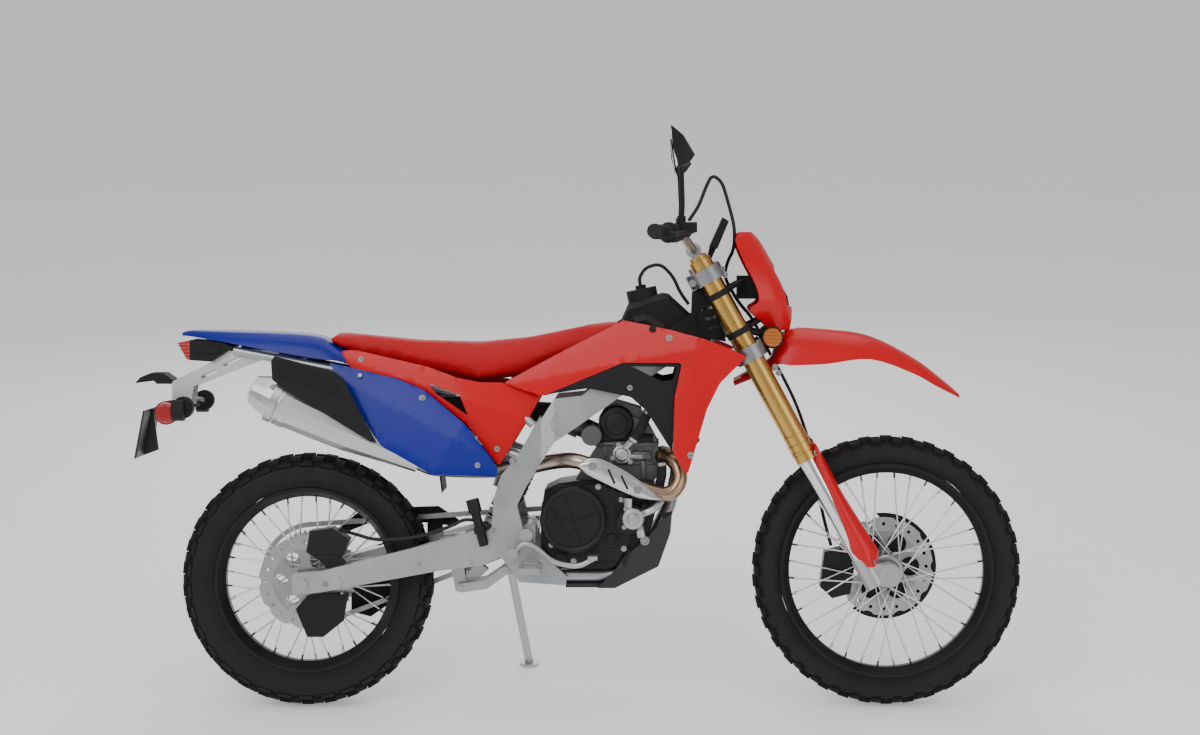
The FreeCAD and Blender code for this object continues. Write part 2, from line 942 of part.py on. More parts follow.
def hub_profile(half):
    """The hub's section: a barrel with two spoke flanges, bored for the axle."""
    bore = S.axle_radius + S.face_gap
    flange_inner = S.flange_half - S.flange_thick
    return [(bore, -half), (S.hub_radius - S.flange_thick, -half),
            (S.hub_radius - S.flange_thick, -S.flange_half),
            (S.flange_radius, -S.flange_half), (S.flange_radius, -flange_inner), (S.hub_radius,
                                                                                  -flange_inner),
            (S.hub_radius, flange_inner), (S.flange_radius, flange_inner), (S.flange_radius, S.flange_half),
            (S.hub_radius - S.flange_thick, S.flange_half), (S.hub_radius - S.flange_thick,
                                                             half), (bore, half)]


def spokes(bead_radius, count):
    """Crossed spokes from the hub's flanges to the rim's well."""
    reach = bead_radius - S.rim_depth
    shapes = []
    for index in range(count):
        side = 1 if index % 2 else -1
        cross = 1 if index % 4 < 2 else -1
        rim_angle = 2 * math.pi * (index + 0.5) / count
        hub_angle = rim_angle + cross * math.radians(58)
        root = S.flange_radius - S.flange_thick
        start = Vector(root * math.sin(hub_angle), side * (S.flange_half - S.flange_thick / 2),
                       root * math.cos(hub_angle))
        end = Vector(reach * math.sin(rim_angle), side * S.rim_lip, reach * math.cos(rim_angle))
        end = end + (end - start).normalize() * S.rim_lip / 2
        shapes.append(disc_between(start, end, S.spoke_radius))
    return shapes


def spoked_rim(label, bead_radius, bead_half, hub_half, count, axle):
    """Rim, crossed spokes and hub, joined as one wheel."""
    rim = revolved(label + "_rim", rim_profile(bead_radius, bead_half))
    hub = revolved(label + "_hub", hub_profile(hub_half))
    wires = doc.addObject("Part::Feature", label + "_spokes")
    wires.Shape = Part.makeCompound(spokes(bead_radius, count))
    wheel = doc.addObject("Part::MultiFuse", label)
    wheel.Shapes = [rim, hub, wires]
    return node(wheel, label, Placement(axle, Rotation()))


def brake_disc(label, radius, place, side, axle):
    """A scalloped and drilled brake disc on six carrier arms."""
    body = doc.addObject("PartDesign::Body", label)
    plane = [item for item in body.Origin.OriginFeatures if item.Role == "XZ_Plane"][0]

    def sketch_with(name, circles):
        sketch = body.newObject("Sketcher::SketchObject", f"{label}_{name}")
        sketch.AttachmentSupport = (plane, [""])
        sketch.MapMode = "FlatFace"
        sketch.AttachmentOffset = Placement(Vector(0, 0, -side * place), Rotation())
        for along, size in circles:
            sketch.addGeometry(Part.Circle(Vector(along, 0, 0), Vector(0, 0, 1), size), False)
        return sketch

    def repeat(name, cut, count):
        cut.Type = "ThroughAll"
        cut.Midplane = True
        doc.recompute()
        pattern = body.newObject("PartDesign::PolarPattern", f"{label}_{name}")
        pattern.Originals = [cut]
        pattern.Axis = (cut.Profile[0], ["N_Axis"])
        pattern.Angle = 360
        pattern.Occurrences = count
        body.Tip = pattern
        doc.recompute()

    bore = S.hub_radius - S.flange_thick + S.fit_gap
    ring = body.newObject("PartDesign::Pad", f"{label}_ring")
    ring.Profile = sketch_with("edge", [(0, radius), (0, bore)])
    ring.setExpression("Length", "Sizes.disc_thick")
    ring.Midplane = True
    doc.recompute()
    window_reach = (radius - S.disc_band + S.flange_radius) / 2
    window = body.newObject("PartDesign::Pocket", f"{label}_window")
    window.Profile = sketch_with("window_edge", [(window_reach,
                                                  (radius - S.disc_band - S.flange_radius) / 2)])
    repeat("windows", window, 6)
    scallop = body.newObject("PartDesign::Pocket", f"{label}_scallop")
    scallop.Profile = sketch_with("scallop_edge", [(radius + S.scallop_radius * 0.7, S.scallop_radius)])
    repeat("scallops", scallop, 10)
    hole = body.newObject("PartDesign::Pocket", f"{label}_hole")
    hole.Profile = sketch_with("hole_edge", [(radius - S.disc_band * 0.5, S.disc_hole_radius)])
    repeat("holes", hole, 20)
    return node(body, label, Placement(axle, Rotation()))


def sprocket(label, teeth, place, thick, centre, tip_radius, bore):
    """A toothed wheel from a repeated tooth outline."""
    root_radius = tip_radius - S.chain_waist
    points = []
    for tooth in range(teeth):
        for share, reach in ((0.0, root_radius), (0.3, root_radius), (0.45, tip_radius), (0.8, tip_radius)):
            angle = 2 * math.pi * (tooth + share) / teeth
            points.append(Vector(reach * math.cos(angle), place - thick / 2, reach * math.sin(angle)))
    solid = prism(points, SIDE * thick)
    cuts = [side_disc(Vector(0, 0, 0), place - thick, place + thick, bore)]
    if tip_radius > S.flange_radius * 2:
        middle = (root_radius + S.flange_radius) / 2
        for hole in range(8):
            angle = 2 * math.pi * hole / 8
            spot = Vector(middle * math.cos(angle), 0, middle * math.sin(angle))
            cuts.append(side_disc(spot, place - thick, place + thick,
                                  (root_radius - S.flange_radius) / 3.2))
    return feature(label, solid.cut(cuts), Placement(Vector(centre.x, 0, centre.z), Rotation()))


def ring_radius(teeth):
    """The radius on which a chain's pins sit round a wheel of so many teeth."""
    return S.chain_pitch / (2 * math.sin(math.pi / teeth))


REAR_TEETH = 52
FRONT_TEETH = 14


def chain_line():
    """Pin places of the closed chain round both sprockets, and the outward direction at each."""
    big, small = ring_radius(REAR_TEETH), ring_radius(FRONT_TEETH)
    rear = Vector(REAR_AXLE.x, 0, REAR_AXLE.z)
    front = Vector(DRIVE.x, 0, DRIVE.z)
    span = front - rear
    tilt = math.atan2(span.z, span.x)
    wrap = math.asin((big - small) / span.Length)
    straight = math.sqrt(span.Length ** 2 - (big - small) ** 2)
    pieces = []
    top = tilt + math.pi / 2 - wrap
    bottom = tilt - math.pi / 2 + wrap
    rear_arc = big * (2 * math.pi - (top - bottom))
    front_arc = small * (top - bottom)
    total = rear_arc + front_arc + 2 * straight
    count = round(total / S.chain_pitch)
    for pin in range(count * 2):
        way = total * pin / (count * 2)
        if way < front_arc:
            angle = bottom + way / small
            out = Vector(math.cos(angle), 0, math.sin(angle))
            spot = front + out * small
        elif way < front_arc + straight:
            out = Vector(math.cos(top), 0, math.sin(top))
            spot = front + out * small + (rear + out * big - front - out * small) * ((way - front_arc) / straight)
        elif way < front_arc + straight + rear_arc:
            angle = top + (way - front_arc - straight) / big
            out = Vector(math.cos(angle), 0, math.sin(angle))
            spot = rear + out * big
        else:
            out = Vector(math.cos(bottom), 0, math.sin(bottom))
            start = rear + out * big
            spot = start + (front + out * small - start) * ((way - front_arc - straight - rear_arc) / straight)
        pieces.append((spot, out, S.chain_half_height if pin % 2 == 0 else S.chain_waist))
    return pieces


def chain():
    """The drive chain as one fixed loop whose side plates narrow between the pins."""
    line = chain_line()
    near, far = S.chain_place - S.chain_half_width, S.chain_place + S.chain_half_width
    faces = []
    for (spot, out, half), (spot_b, out_b, half_b) in zip(line, line[1:] + line[:1]):
        outer, inner = spot + out * half, spot - out * half
        outer_b, inner_b = spot_b + out_b * half_b, spot_b - out_b * half_b
        rings = [(outer, near), (outer, far), (inner, far), (inner, near)]
        rings_b = [(outer_b, near), (outer_b, far), (inner_b, far), (inner_b, near)]
        for corner in range(4):
            follow = (corner + 1) % 4
            loop = [rings[corner], rings[follow], rings_b[follow], rings_b[corner]]
            faces.append(Part.Face(polygon([point + SIDE * side for point, side in loop])))
    solid = Part.Solid(Part.Shell(faces))
    if solid.Volume < 0:
        solid.reverse()
    return feature("chain", solid)


def wheels():
    """Both wheels with their tyres, brake discs, sprocket and chain."""
    feature("rear_tyre", tyre(S.rear_tyre_radius, S.rear_tyre_half, S.rear_tread_half, S.rear_bead_radius,
                              S.rear_bead_half), Placement(REAR_AXLE, Rotation()))
    feature("front_tyre", tyre(S.front_tyre_radius, S.front_tyre_half, S.front_tread_half,
                               S.front_bead_radius, S.front_bead_half), Placement(FRONT_AXLE, Rotation()))
    spoked_rim("rear_wheel_rim", S.rear_bead_radius, S.rear_bead_half, S.rear_hub_half, 36, REAR_AXLE)
    spoked_rim("front_wheel_rim", S.front_bead_radius, S.front_bead_half, S.front_hub_half, 36, FRONT_AXLE)
    brake_disc("rear_disc", S.rear_disc_radius, S.rear_disc_place, -1, REAR_AXLE)
    brake_disc("front_disc", S.front_disc_radius, S.front_disc_place, 1, FRONT_AXLE)
    tip = ring_radius(REAR_TEETH) - S.chain_half_height - S.moving_gap
    sprocket("rear_sprocket", REAR_TEETH, S.chain_place, S.drive_thick, REAR_AXLE, tip,
             S.hub_radius - S.flange_thick + S.fit_gap)
    chain()


# Chassis

def rectangle(x, y_low, y_high, z_low, z_high):
    """A four-cornered section across the motorcycle."""
    return [Vector(x, y_low, z_low), Vector(x, y_high, z_low), Vector(x, y_high, z_high),
            Vector(x, y_low, z_high)]


FRAME_PLATE_SHARES = ((0.308, 0.017), (0.051, 0.184), (0.0, 0.293), (0.026, 0.467), (0.107, 0.59),
                      (0.291, 0.695),
                      (0.479, 0.862), (0.54, 0.91), (0.54, 0.655), (0.38, 0.527), (0.278,
                                                                                   0.425), (0.342, 0.301),
                      (0.487, 0.2), (0.829, 0.046), (0.803, 0.0))
# Each spar section: along from the plate to the head, lower and upper edge, inner face
SPAR_SHARES = ((0.0, 0.655, 0.885, 0.98), (0.075, 0.76, 0.995, 0.86), (0.235, 0.86, 1.01, 0.72),
               (0.55, 1.06, 1.24, 0.5),
               (0.83, 1.22, 1.39, 0.27), (1.0, 1.31, 1.48, 0.06))


def main_frame():
    """Pivot plates, twin spars, steering head, down tube, lower cradle and stand bracket."""
    corners = outline(FRAME_PLATE_SHARES, S.plate_start, S.plate_low, S.plate_reach, S.plate_height)
    outer = S.plate_inner + S.plate_thick
    bore = side_disc(PIVOT, -outer - 1, outer + 1, S.pivot_radius / 2)
    pivot_plate = side_prism(corners, -outer, -S.plate_inner).cut(bore)
    start_x = corners[8][0]
    head_end = on_fork(S.head_along + S.head_tall / 2, -S.head_radius / 2)
    sections = []
    for along, low, high, inner in SPAR_SHARES:
        x = start_x + (head_end.x - start_x) * along
        inside = S.plate_inner * inner
        sections.append(rectangle(x, -inside - S.plate_thick, -inside, S.plate_low + S.plate_height * low,
                                  S.plate_low + S.plate_height * high))
    spar = loft(sections)
    head_foot = on_fork(S.head_along, 0)
    head = disc_between(head_foot, head_foot + ALONG * S.head_tall, S.head_radius)
    side = S.cradle_half
    neck = on_fork(S.head_along + S.down_tube_radius * 1.8, -S.head_radius)
    at_down = within(S.frame_down_start, S.frame_down_low, S.frame_down_reach, S.frame_down_height)
    down = tube([neck, at_down(1, 0, 1), at_down(0.1538, 0, 0.2069), at_down(0, 0, 0)], S.down_tube_radius)
    at_branch = within(S.frame_branch_start, S.frame_branch_low, S.frame_branch_reach,
                       S.frame_branch_height)
    branch = tube([at_branch(1, S.frame_branch_side * -0.1842, 1),
                   at_branch(0.8767, -S.frame_branch_side, 0.7449), at_branch(0.5479, -side,
                                                                              0.4592), at_branch(0, -side, 0),
                   Vector(800, -side, S.cradle_height), Vector(650, -side,
                                                               S.cradle_height)], S.down_tube_radius)
    foot_x, foot_z = corners[14]
    shoe = side_prism([(foot_x - 90, foot_z + 6), (foot_x, foot_z + 4), (foot_x, foot_z + 24),
                       (foot_x - 90, foot_z + 26)],
                      -outer, -side + S.down_tube_radius / 2)
    half = fuse([pivot_plate, spar, branch, shoe])
    reach = S.plate_inner + 4
    cross = disc_between(Vector(S.frame_cross_start, -reach, S.frame_cross_low),
                         Vector(S.frame_cross_start, reach, S.frame_cross_low), S.frame_cross_radius)
    brace = disc_between(Vector(foot_x - 60, -outer + 4, foot_z + 16),
                         Vector(foot_x - 60, outer - 4, foot_z + 16), S.frame_brace_radius)
    middle = fuse([head, down, cross, brace])
    body = fuse([fuse([half, middle]), mirror(half), stand_bracket()])
    return feature("main_frame", body)


SEAT_REST_SHARES = ((0, 0), (1, 0), (1, 1), (0, 1))


def subframe():
    """Tubular rails that carry the seat, the tail and the muffler."""
    side = S.subframe_half
    start = S.plate_inner - S.subframe_radius - S.fit_gap
    at_upper = within(S.subframe_upper_start, S.subframe_upper_low, S.subframe_upper_reach,
                      S.subframe_upper_height)
    upper = tube([at_upper(1, -start, 0), at_upper(0.9205, -side - 8, 0.2872),
                  at_upper(0.7538, -side + 6, 0.4255),
                  at_upper(0.4718, -side + 16, 0.6383), at_upper(0.1641, -side + 24,
                                                                 0.8723), at_upper(0, -side + 32, 1)],
                 S.subframe_radius)
    at_lower = within(S.subframe_lower_start, S.subframe_lower_low, S.subframe_lower_reach,
                      S.subframe_lower_height)
    lower = tube([at_lower(1, -start, 0), at_lower(0.6897, -side, 0.26), at_lower(0.3448, -side + 8, 0.6),
                  at_lower(0, -side + 15, 1)], S.subframe_radius)
    half = fuse([upper, lower])
    inner = side - S.subframe_radius * 2
    bridges = [disc_between(Vector(x, -inner, z), Vector(x, inner, z), S.subframe_radius * 0.8)
               for x, z in ((300, 836), (-20, 894))]
    pegs = [disc_between(Vector(x, -start, z), Vector(x, -reach, z), S.subframe_pegs_radius)
            for x, z, start, reach in ((150, 866, side - 14, S.side_panel_place - 40),
                                       (400, 816, side - 4, 112),
                                       (448, 706, side - 4, S.side_panel_place - 14.5))]
    rest = side_prism(outline(SEAT_REST_SHARES, S.seat_rest_start, S.seat_rest_low, S.seat_rest_reach,
                              S.seat_rest_height), -S.seat_rest_half, S.seat_rest_half)
    half = fuse([half] + pegs)
    body = fuse([half, mirror(half), rest] + bridges)
    return feature("subframe", relieved(body, "main_frame", "number_panels", "side_cowls"))


CLEVIS_SHARES = ((0.375, 0), (1, 0), (0.75, 1), (0, 1))


def swingarm():
    """Two tapering arms joined by a brace ahead of the tyre and by the pivot tube."""
    axle = REAR_AXLE
    line = (PIVOT - axle)
    stations = ((-S.arm_end_behind, 0.0, S.arm_end_height, S.arm_rear_inner),
                (S.arm_end_behind * 2, 0.06, S.arm_end_height, S.arm_rear_inner),
                (352, 0.56, S.arm_mid_height, S.arm_front_inner + 3), (460, 0.72, S.arm_front_height,
                                                                       S.arm_front_inner),
                (PIVOT.x + S.pivot_radius, 1.0, S.pivot_radius * 2, S.arm_front_inner))
    sections = []
    for x, rise, tall, inner in stations:
        middle = axle.z + line.z * rise
        sections.append(rectangle(x, -inner - S.arm_thick, -inner, middle - tall / 2, middle + tall / 2))
    arm = loft(sections)
    both = [arm, mirror(arm)]
    middle = axle.z + line.z * 0.64
    half = S.arm_front_inner + S.arm_thick / 2
    brace = loft([rectangle(x, -half, half, middle - tall / 2, middle + tall / 2)
                  for x, tall in ((S.brace_start, 44), (S.brace_start + S.brace_long, 58))])
    pivot = side_disc(PIVOT, -half, half, S.pivot_radius)
    clevis = side_prism(outline(CLEVIS_SHARES, S.clevis_start, S.clevis_low, S.clevis_reach,
                                S.clevis_height), S.clevis_inner, S.clevis_outer)
    reach = S.arm_rear_inner + S.arm_thick * 2
    slot = side_disc(axle, -reach, reach, S.axle_radius + S.fit_gap)
    eye = side_disc(PIVOT, -reach, reach, S.pivot_radius / 2)
    link_eye = side_disc(LINK_PIN, -reach, reach, S.link_pin_radius + S.fit_gap)
    body = fuse(both + [brace, pivot, clevis, mirror(clevis)]).cut([slot, eye, link_eye])
    return feature("swingarm", body)


def rear_axle():
    """Axle, nuts and chain adjusters, with the swingarm's pivot bolt."""
    end = S.arm_rear_inner + S.arm_thick
    shapes = [side_disc(REAR_AXLE, -end, end, S.axle_radius)]
    for low in (-end - S.axle_nut_thick, end):
        shapes.append(side_disc(REAR_AXLE, low, low + S.axle_nut_thick, S.axle_nut_radius))
    for side in (-1, 1):
        inner = side * (S.rear_hub_half + S.face_gap)
        outer = side * (S.arm_rear_inner)
        low, high = sorted((inner, outer))
        shapes.append(side_disc(REAR_AXLE, low, high, S.axle_nut_radius - 2))
    return feature("rear_axle", Part.makeCompound([fuse(shapes), pivot_bolt()]))


def pivot_bolt():
    """The bolt that carries the swingarm between the frame's pivot plates."""
    end = S.plate_inner + S.plate_thick
    shapes = [side_disc(PIVOT, -end, end, S.pivot_radius / 2 - S.fit_gap)]
    for low in (-end - S.axle_nut_thick, end):
        shapes.append(side_disc(PIVOT, low, low + S.axle_nut_thick, S.axle_nut_radius))
    for side in (-1, 1):
        low, high = sorted((side * (S.arm_front_inner + S.arm_thick), side * S.plate_inner))
        shapes.append(side_disc(PIVOT, low, high, S.axle_nut_radius))
    return fuse(shapes)


def rear_shock():
    """The damper between linkage and frame, in its coil spring and with its side reservoir."""
    low, high = Vector(S.shock_eye_start, 0,
                       S.shock_eye_low), Vector(S.shock_eye_start + S.shock_eye_reach, 0,
                       S.shock_eye_low + S.shock_eye_height)
    way = (high - low).normalize()
    body = [disc_between(low, high, S.shock_radius * 0.6),
            disc_between(low + way * 30, low + way * 60, S.spring_radius),
            disc_between(low + way * 245, low + way * 296, S.spring_radius)]
    for coil in range(7):
        centre = low + way * (70 + coil * 25)
        body.append(disc_between(centre, centre + way * 11, S.spring_radius))
    body.append(disc_between(low + way * 60, low + way * 245, S.spring_radius - 9))
    bottle = disc_between(Vector(S.shock_bottle_start, S.shock_bottle_side, S.shock_bottle_low),
                          Vector(S.shock_bottle_start + S.shock_bottle_reach, S.shock_bottle_side,
                                 S.shock_bottle_low + S.shock_bottle_height), S.shock_radius)
    bridge = disc_between(Vector(S.shock_bridge_start, S.shock_bridge_side, S.shock_bridge_low),
                          Vector(S.shock_bridge_start + S.shock_bridge_reach, 0,
                                 S.shock_bridge_low), S.shock_radius * 0.5)
    return feature("rear_shock", fuse(body + [bottle, bridge]))


LINK_ARM_SHARES = ((0, 0.0556), (0.1127, 0), (0.5775, 0.1389), (1, 0.75), (0.9296, 1), (0.5211, 0.4444),
                   (0.0282, 0.3056))
ROCKER_SHARES = ((0.0488, 0), (0.2927, 0), (1, 0.7297), (0.7073, 1), (0.439, 0.7297), (0, 0.2703))
HANGER_SHARES = ((0, 0.2105), (1, 0), (1, 0.5263), (0.1414, 1))


def shock_linkage():
    """The link arms and rocker under the swingarm."""
    arm = side_prism(outline(LINK_ARM_SHARES, S.link_arm_start, S.link_arm_low, S.link_arm_reach,
                             S.link_arm_height),
                     -S.link_place - S.link_thick, -S.link_place)
    rocker = side_prism(outline(ROCKER_SHARES, S.rocker_start, S.rocker_low, S.rocker_reach,
                                S.rocker_height), -S.rocker_half, S.rocker_half)
    pins = [side_disc(spot, -S.link_place - 14, S.link_place + 14, S.link_pin_radius)
            for spot in (LINK_PIN, Vector(S.rocker_pin_start, 0, S.rocker_pin_low))]
    hanger = side_prism(outline(HANGER_SHARES, S.hanger_start, S.hanger_low, S.hanger_reach,
                                S.hanger_height), -S.hanger_half, S.hanger_half)
    return feature("shock_linkage", fuse([arm, mirror(arm), rocker, hanger] + pins))


CRANKCASE_SHARES = ((0.09, 0.017), (0.0, 0.165), (0.0, 0.62), (0.03, 0.9), (0.14, 0.97), (0.28, 1.0),
                    (0.93, 1.0),
                    (0.965, 0.774), (0.895, 0.4), (0.79, 0.17), (0.55, 0.01))
COVER_SHARES = ((0.0, 0.33), (0.0, 0.777), (0.163, 0.978), (0.635, 1.0), (0.979, 0.866), (1.0, 0.33),
                (0.807, 0.018),
                (0.378, 0.0), (0.12, 0.152))
BARREL_SHARES = ((0.0, 0.0), (0.26, 0.5), (0.27, 0.9), (0.4, 1.0), (0.82, 0.86), (0.96, 0.53), (1.0, 0.13),
                 (0.93, 0.0))


def crankcase():
    """The engine's lower case as one block, with the gearbox end cut round the pivot."""
    corners = outline(CRANKCASE_SHARES, S.crankcase_start, S.crankcase_low, S.crankcase_reach,
                      S.crankcase_height)
    block = side_prism(corners, -S.crankcase_right, S.crankcase_left)
    shaft = side_disc(DRIVE, S.crankcase_left - 1, S.chain_place + S.chain_half_width + 6,
                      S.crankcase_shaft_radius)
    return feature("crankcase", fuse([block, shaft]))


def engine_covers():
    """The right cover with its round clutch lid, and the generator lid on the left."""
    low_x, low_z = S.crankcase_start + 3, S.crankcase_low + 6
    corners = outline(COVER_SHARES, low_x, low_z, S.cover_reach, S.cover_height)
    right = S.crankcase_right
    cover = side_prism(corners, -right - S.cover_thick, -right)
    clutch = Vector(S.crankcase_start + S.clutch_ahead, 0, S.crankcase_low + S.clutch_up)
    lid_start = right + S.cover_thick
    lid = Part.makeCone(S.clutch_radius, S.clutch_radius - 6, S.clutch_thick,
                        Vector(clutch.x, -lid_start, clutch.z), -SIDE)
    dish = side_disc(clutch, -lid_start - S.clutch_thick - 1, -lid_start - S.clutch_thick + 3,
                     S.clutch_radius - 14)
    pump_at = Vector(clutch.x + 142, 0, clutch.z - 6)
    pump = side_disc(pump_at, -lid_start - S.pump_thick, -lid_start, S.pump_radius)
    spout = tube([Vector(pump_at.x, -lid_start - 14, pump_at.z),
                  Vector(pump_at.x + 30, -lid_start - 14, pump_at.z + 14),
                  Vector(pump_at.x + 42, -lid_start + 4, pump_at.z + 44)], S.cover_spout_radius)
    filler = side_disc(Vector(clutch.x - 30, 0, clutch.z - 102), -lid_start - 12, -lid_start,
                       S.cover_filler_radius)
    right_side = fuse([cover, lid, pump, spout, filler]).cut(dish)
    generator = Vector(S.crankcase_start + S.generator_ahead, 0, S.crankcase_low + S.generator_up)
    left = S.crankcase_left
    left_lid = Part.makeCone(S.generator_radius, S.generator_radius - 8, S.generator_thick,
                             Vector(generator.x, left, generator.z), SIDE)
    return feature("engine_covers", Part.makeCompound([right_side, left_lid]))


VALVE_LID_SHARES = ((0, 0.2414), (0.0714, 0.8276), (0.2857, 1), (0.8929, 0.6552), (1, 0))
SENSOR_SHARES = ((0, 0), (0.9259, 0.1923), (1, 0.9615), (0.0741, 1))


def cylinder():
    """The tilted cylinder and head with the valve cover and the intake throat."""
    low_z = S.crankcase_low + S.crankcase_height
    corners = outline(BARREL_SHARES, S.barrel_start, low_z, S.barrel_reach, S.barrel_height)
    barrel = side_prism(corners, -S.barrel_half, S.barrel_half)
    lid = side_prism(outline(VALVE_LID_SHARES, S.valve_lid_start, S.valve_lid_low, S.valve_lid_reach,
                             S.valve_lid_height), -S.cap_half, S.cap_half)
    throat = disc_between(Vector(S.throat_start + S.throat_reach, 0, S.throat_low), Vector(S.throat_start,
                          0, S.throat_low + S.throat_height), S.throat_radius)
    body = disc_between(Vector(S.throttle_start + S.throttle_reach, 0, S.throttle_low),
                        Vector(S.throttle_start, 0,
                               S.throttle_low + S.throttle_height), S.throttle_radius)
    housing = side_disc(Vector(S.housing_start, 0, S.housing_low), -S.barrel_half - 34,
                        -S.barrel_half + 20, S.housing_radius)
    sensor = side_prism(outline(SENSOR_SHARES, S.sensor_start, S.sensor_low, S.sensor_reach,
                                S.sensor_height), -S.barrel_half - 16, -S.barrel_half + 4)
    return feature("cylinder", fuse([barrel, lid, throat, body, housing, sensor]))


AIRBOX_SHARES = ((0.2525, 0), (0.9293, 0.3478), (1, 0.9565), (0.5455, 1), (0.0404, 1), (0, 0.5217))


def airbox():
    """The air cleaner case between the side covers, behind the shock."""
    case = side_prism(outline(AIRBOX_SHARES, S.airbox_start, S.airbox_low, S.airbox_reach,
                              S.airbox_height), -S.airbox_half, S.airbox_half)
    duct = disc_between(Vector(S.duct_start, 0, S.duct_low + S.duct_height),
                        Vector(S.duct_start + S.duct_reach, 0,
                               S.duct_low), S.duct_radius)
    return feature("airbox", fuse([case, duct]))


def exhaust():
    """Header pipe from the head round to the muffler, with its shield, muffler and guard."""
    side = S.pipe_side
    radius = S.pipe_radius
    neck = S.muffler_neck_radius
    oval = S.muffler_oval
    tail = Vector(S.muffler_start, -S.muffler_side, S.muffler_rise)
    front = Vector(S.muffler_start + S.muffler_reach, -S.pipe_side + 12, S.muffler_rise - S.muffler_fall)
    way = (front - tail).normalize()
    route = [Vector(918, -34, 652), Vector(958, -78, 646), Vector(974, -104, 594), Vector(944, -side, 556),
             Vector(890, -side, 568), Vector(706, -side, 648), Vector(650, -side + 42,
                                                                      642), Vector(560, -side + 43, 622),
             Vector(440, -side + 22, 618), front + way * 34, front + way * S.fit_gap]
    collar = disc_between(Vector(S.collar_start, S.collar_side * -0.7755, S.collar_low + S.collar_height),
                          Vector(S.collar_start + S.collar_reach, -S.collar_side, S.collar_low), radius + 6)
    feature("exhaust_pipe", relieved(fuse([tube(route, radius), collar]), "cylinder"))

    corners = outline(((0.0, 0.917), (0.114, 1.0), (0.427, 0.798), (0.914, 0.266), (1.0, 0.028), (0.8,
                      0.0), (0.177, 0.587), (0.023, 0.761)), S.shield_start, S.shield_low, S.shield_reach,
                      S.shield_height)
    sheet_metal = plate("pipe_shield", corners, side + radius + S.face_gap, "shield_thick")
    node(sheet_metal, "pipe_shield")

    def ring(share, size, flat=1.0):
        """An oval section of the muffler at a share of its length from the tail."""
        centre = tail + (front - tail) * share
        up = way.cross(SIDE).normalize() * -1
        if up.z < 0:
            up = up * -1
        across = way.cross(up).normalize()
        points = []
        for corner in range(16):
            angle = 2 * math.pi * corner / 16
            points.append(centre + up * (size * math.sin(angle)) + across * (size * flat * math.cos(angle)))
        return points

    full = S.muffler_radius
    stations = ((0.0, S.muffler_tail_radius, oval), (0.1, full, oval), (0.55, full * 0.84, oval),
                (0.82, full * 0.58, 0.9), (1.0, neck, 1.0))
    shell = loft([ring(share, size, flat) for share, size, flat in stations])
    cap_end = tail - way * S.muffler_cap
    cap_ring = [point - way * S.muffler_cap for point in ring(0.0, S.muffler_tail_radius * 0.7, oval)]
    end_cap = loft([cap_ring, ring(0.0, S.muffler_tail_radius, oval)])
    outlet = disc_between(cap_end - way * 4, cap_end + way * 30, S.outlet_radius)
    band = loft([ring(0.13, full + 2, oval), ring(0.165, full + 1.4, oval)])
    bore = disc_between(cap_end - way * 8, cap_end + way * 22, S.outlet_bore_radius)
    feature("muffler", fuse([shell, end_cap, band, outlet]).cut(bore))

    guard_corners = outline(((0.0, 0.941), (0.034, 1.0), (0.598, 0.82), (0.68, 0.748), (1.0, 0.0), (0.936,
                            0.018), (0.117, 0.631), (0.011, 0.73)), S.guard_start, S.guard_low,
                            S.guard_reach, S.guard_height)
    guard = plate("muffler_guard", guard_corners, S.muffler_side + full * oval + S.face_gap, "guard_thick",
                  flare=-4)
    node(guard, "muffler_guard")


# Bodywork

def seat():
    """The long flat seat, narrow at the tank and wider towards the rear."""
    stations = ((0.0, 0.745, 0.72, 0.55), (0.05, 0.77, 0.6, 0.72), (0.118, 0.742, 0.5, 0.85),
                (0.32, 0.66, 0.28, 1.0),
                (0.526, 0.635, 0.08, 1.0), (0.695, 0.708, 0.18, 0.86), (0.864, 0.855, 0.5,
                                                                        0.68), (1.0, 1.0, 0.88, 0.6))
    sections = []
    for along, top, under, wide in stations:
        x = S.seat_start + S.seat_reach * along
        high, low = S.seat_low + S.seat_height * top, S.seat_low + S.seat_height * under
        half = S.seat_half * wide
        shoulder = (high - low) * 0.35
        sections.append([Vector(x, -half, low), Vector(x, half, low), Vector(x, half, high - shoulder),
                         Vector(x, half * 0.72, high - shoulder * 0.12), Vector(x, 0, high),
                         Vector(x, -half * 0.72, high - shoulder * 0.12), Vector(x, -half,
                                                                                 high - shoulder)])
    return feature("seat", relieved(loft(sections), "subframe"))


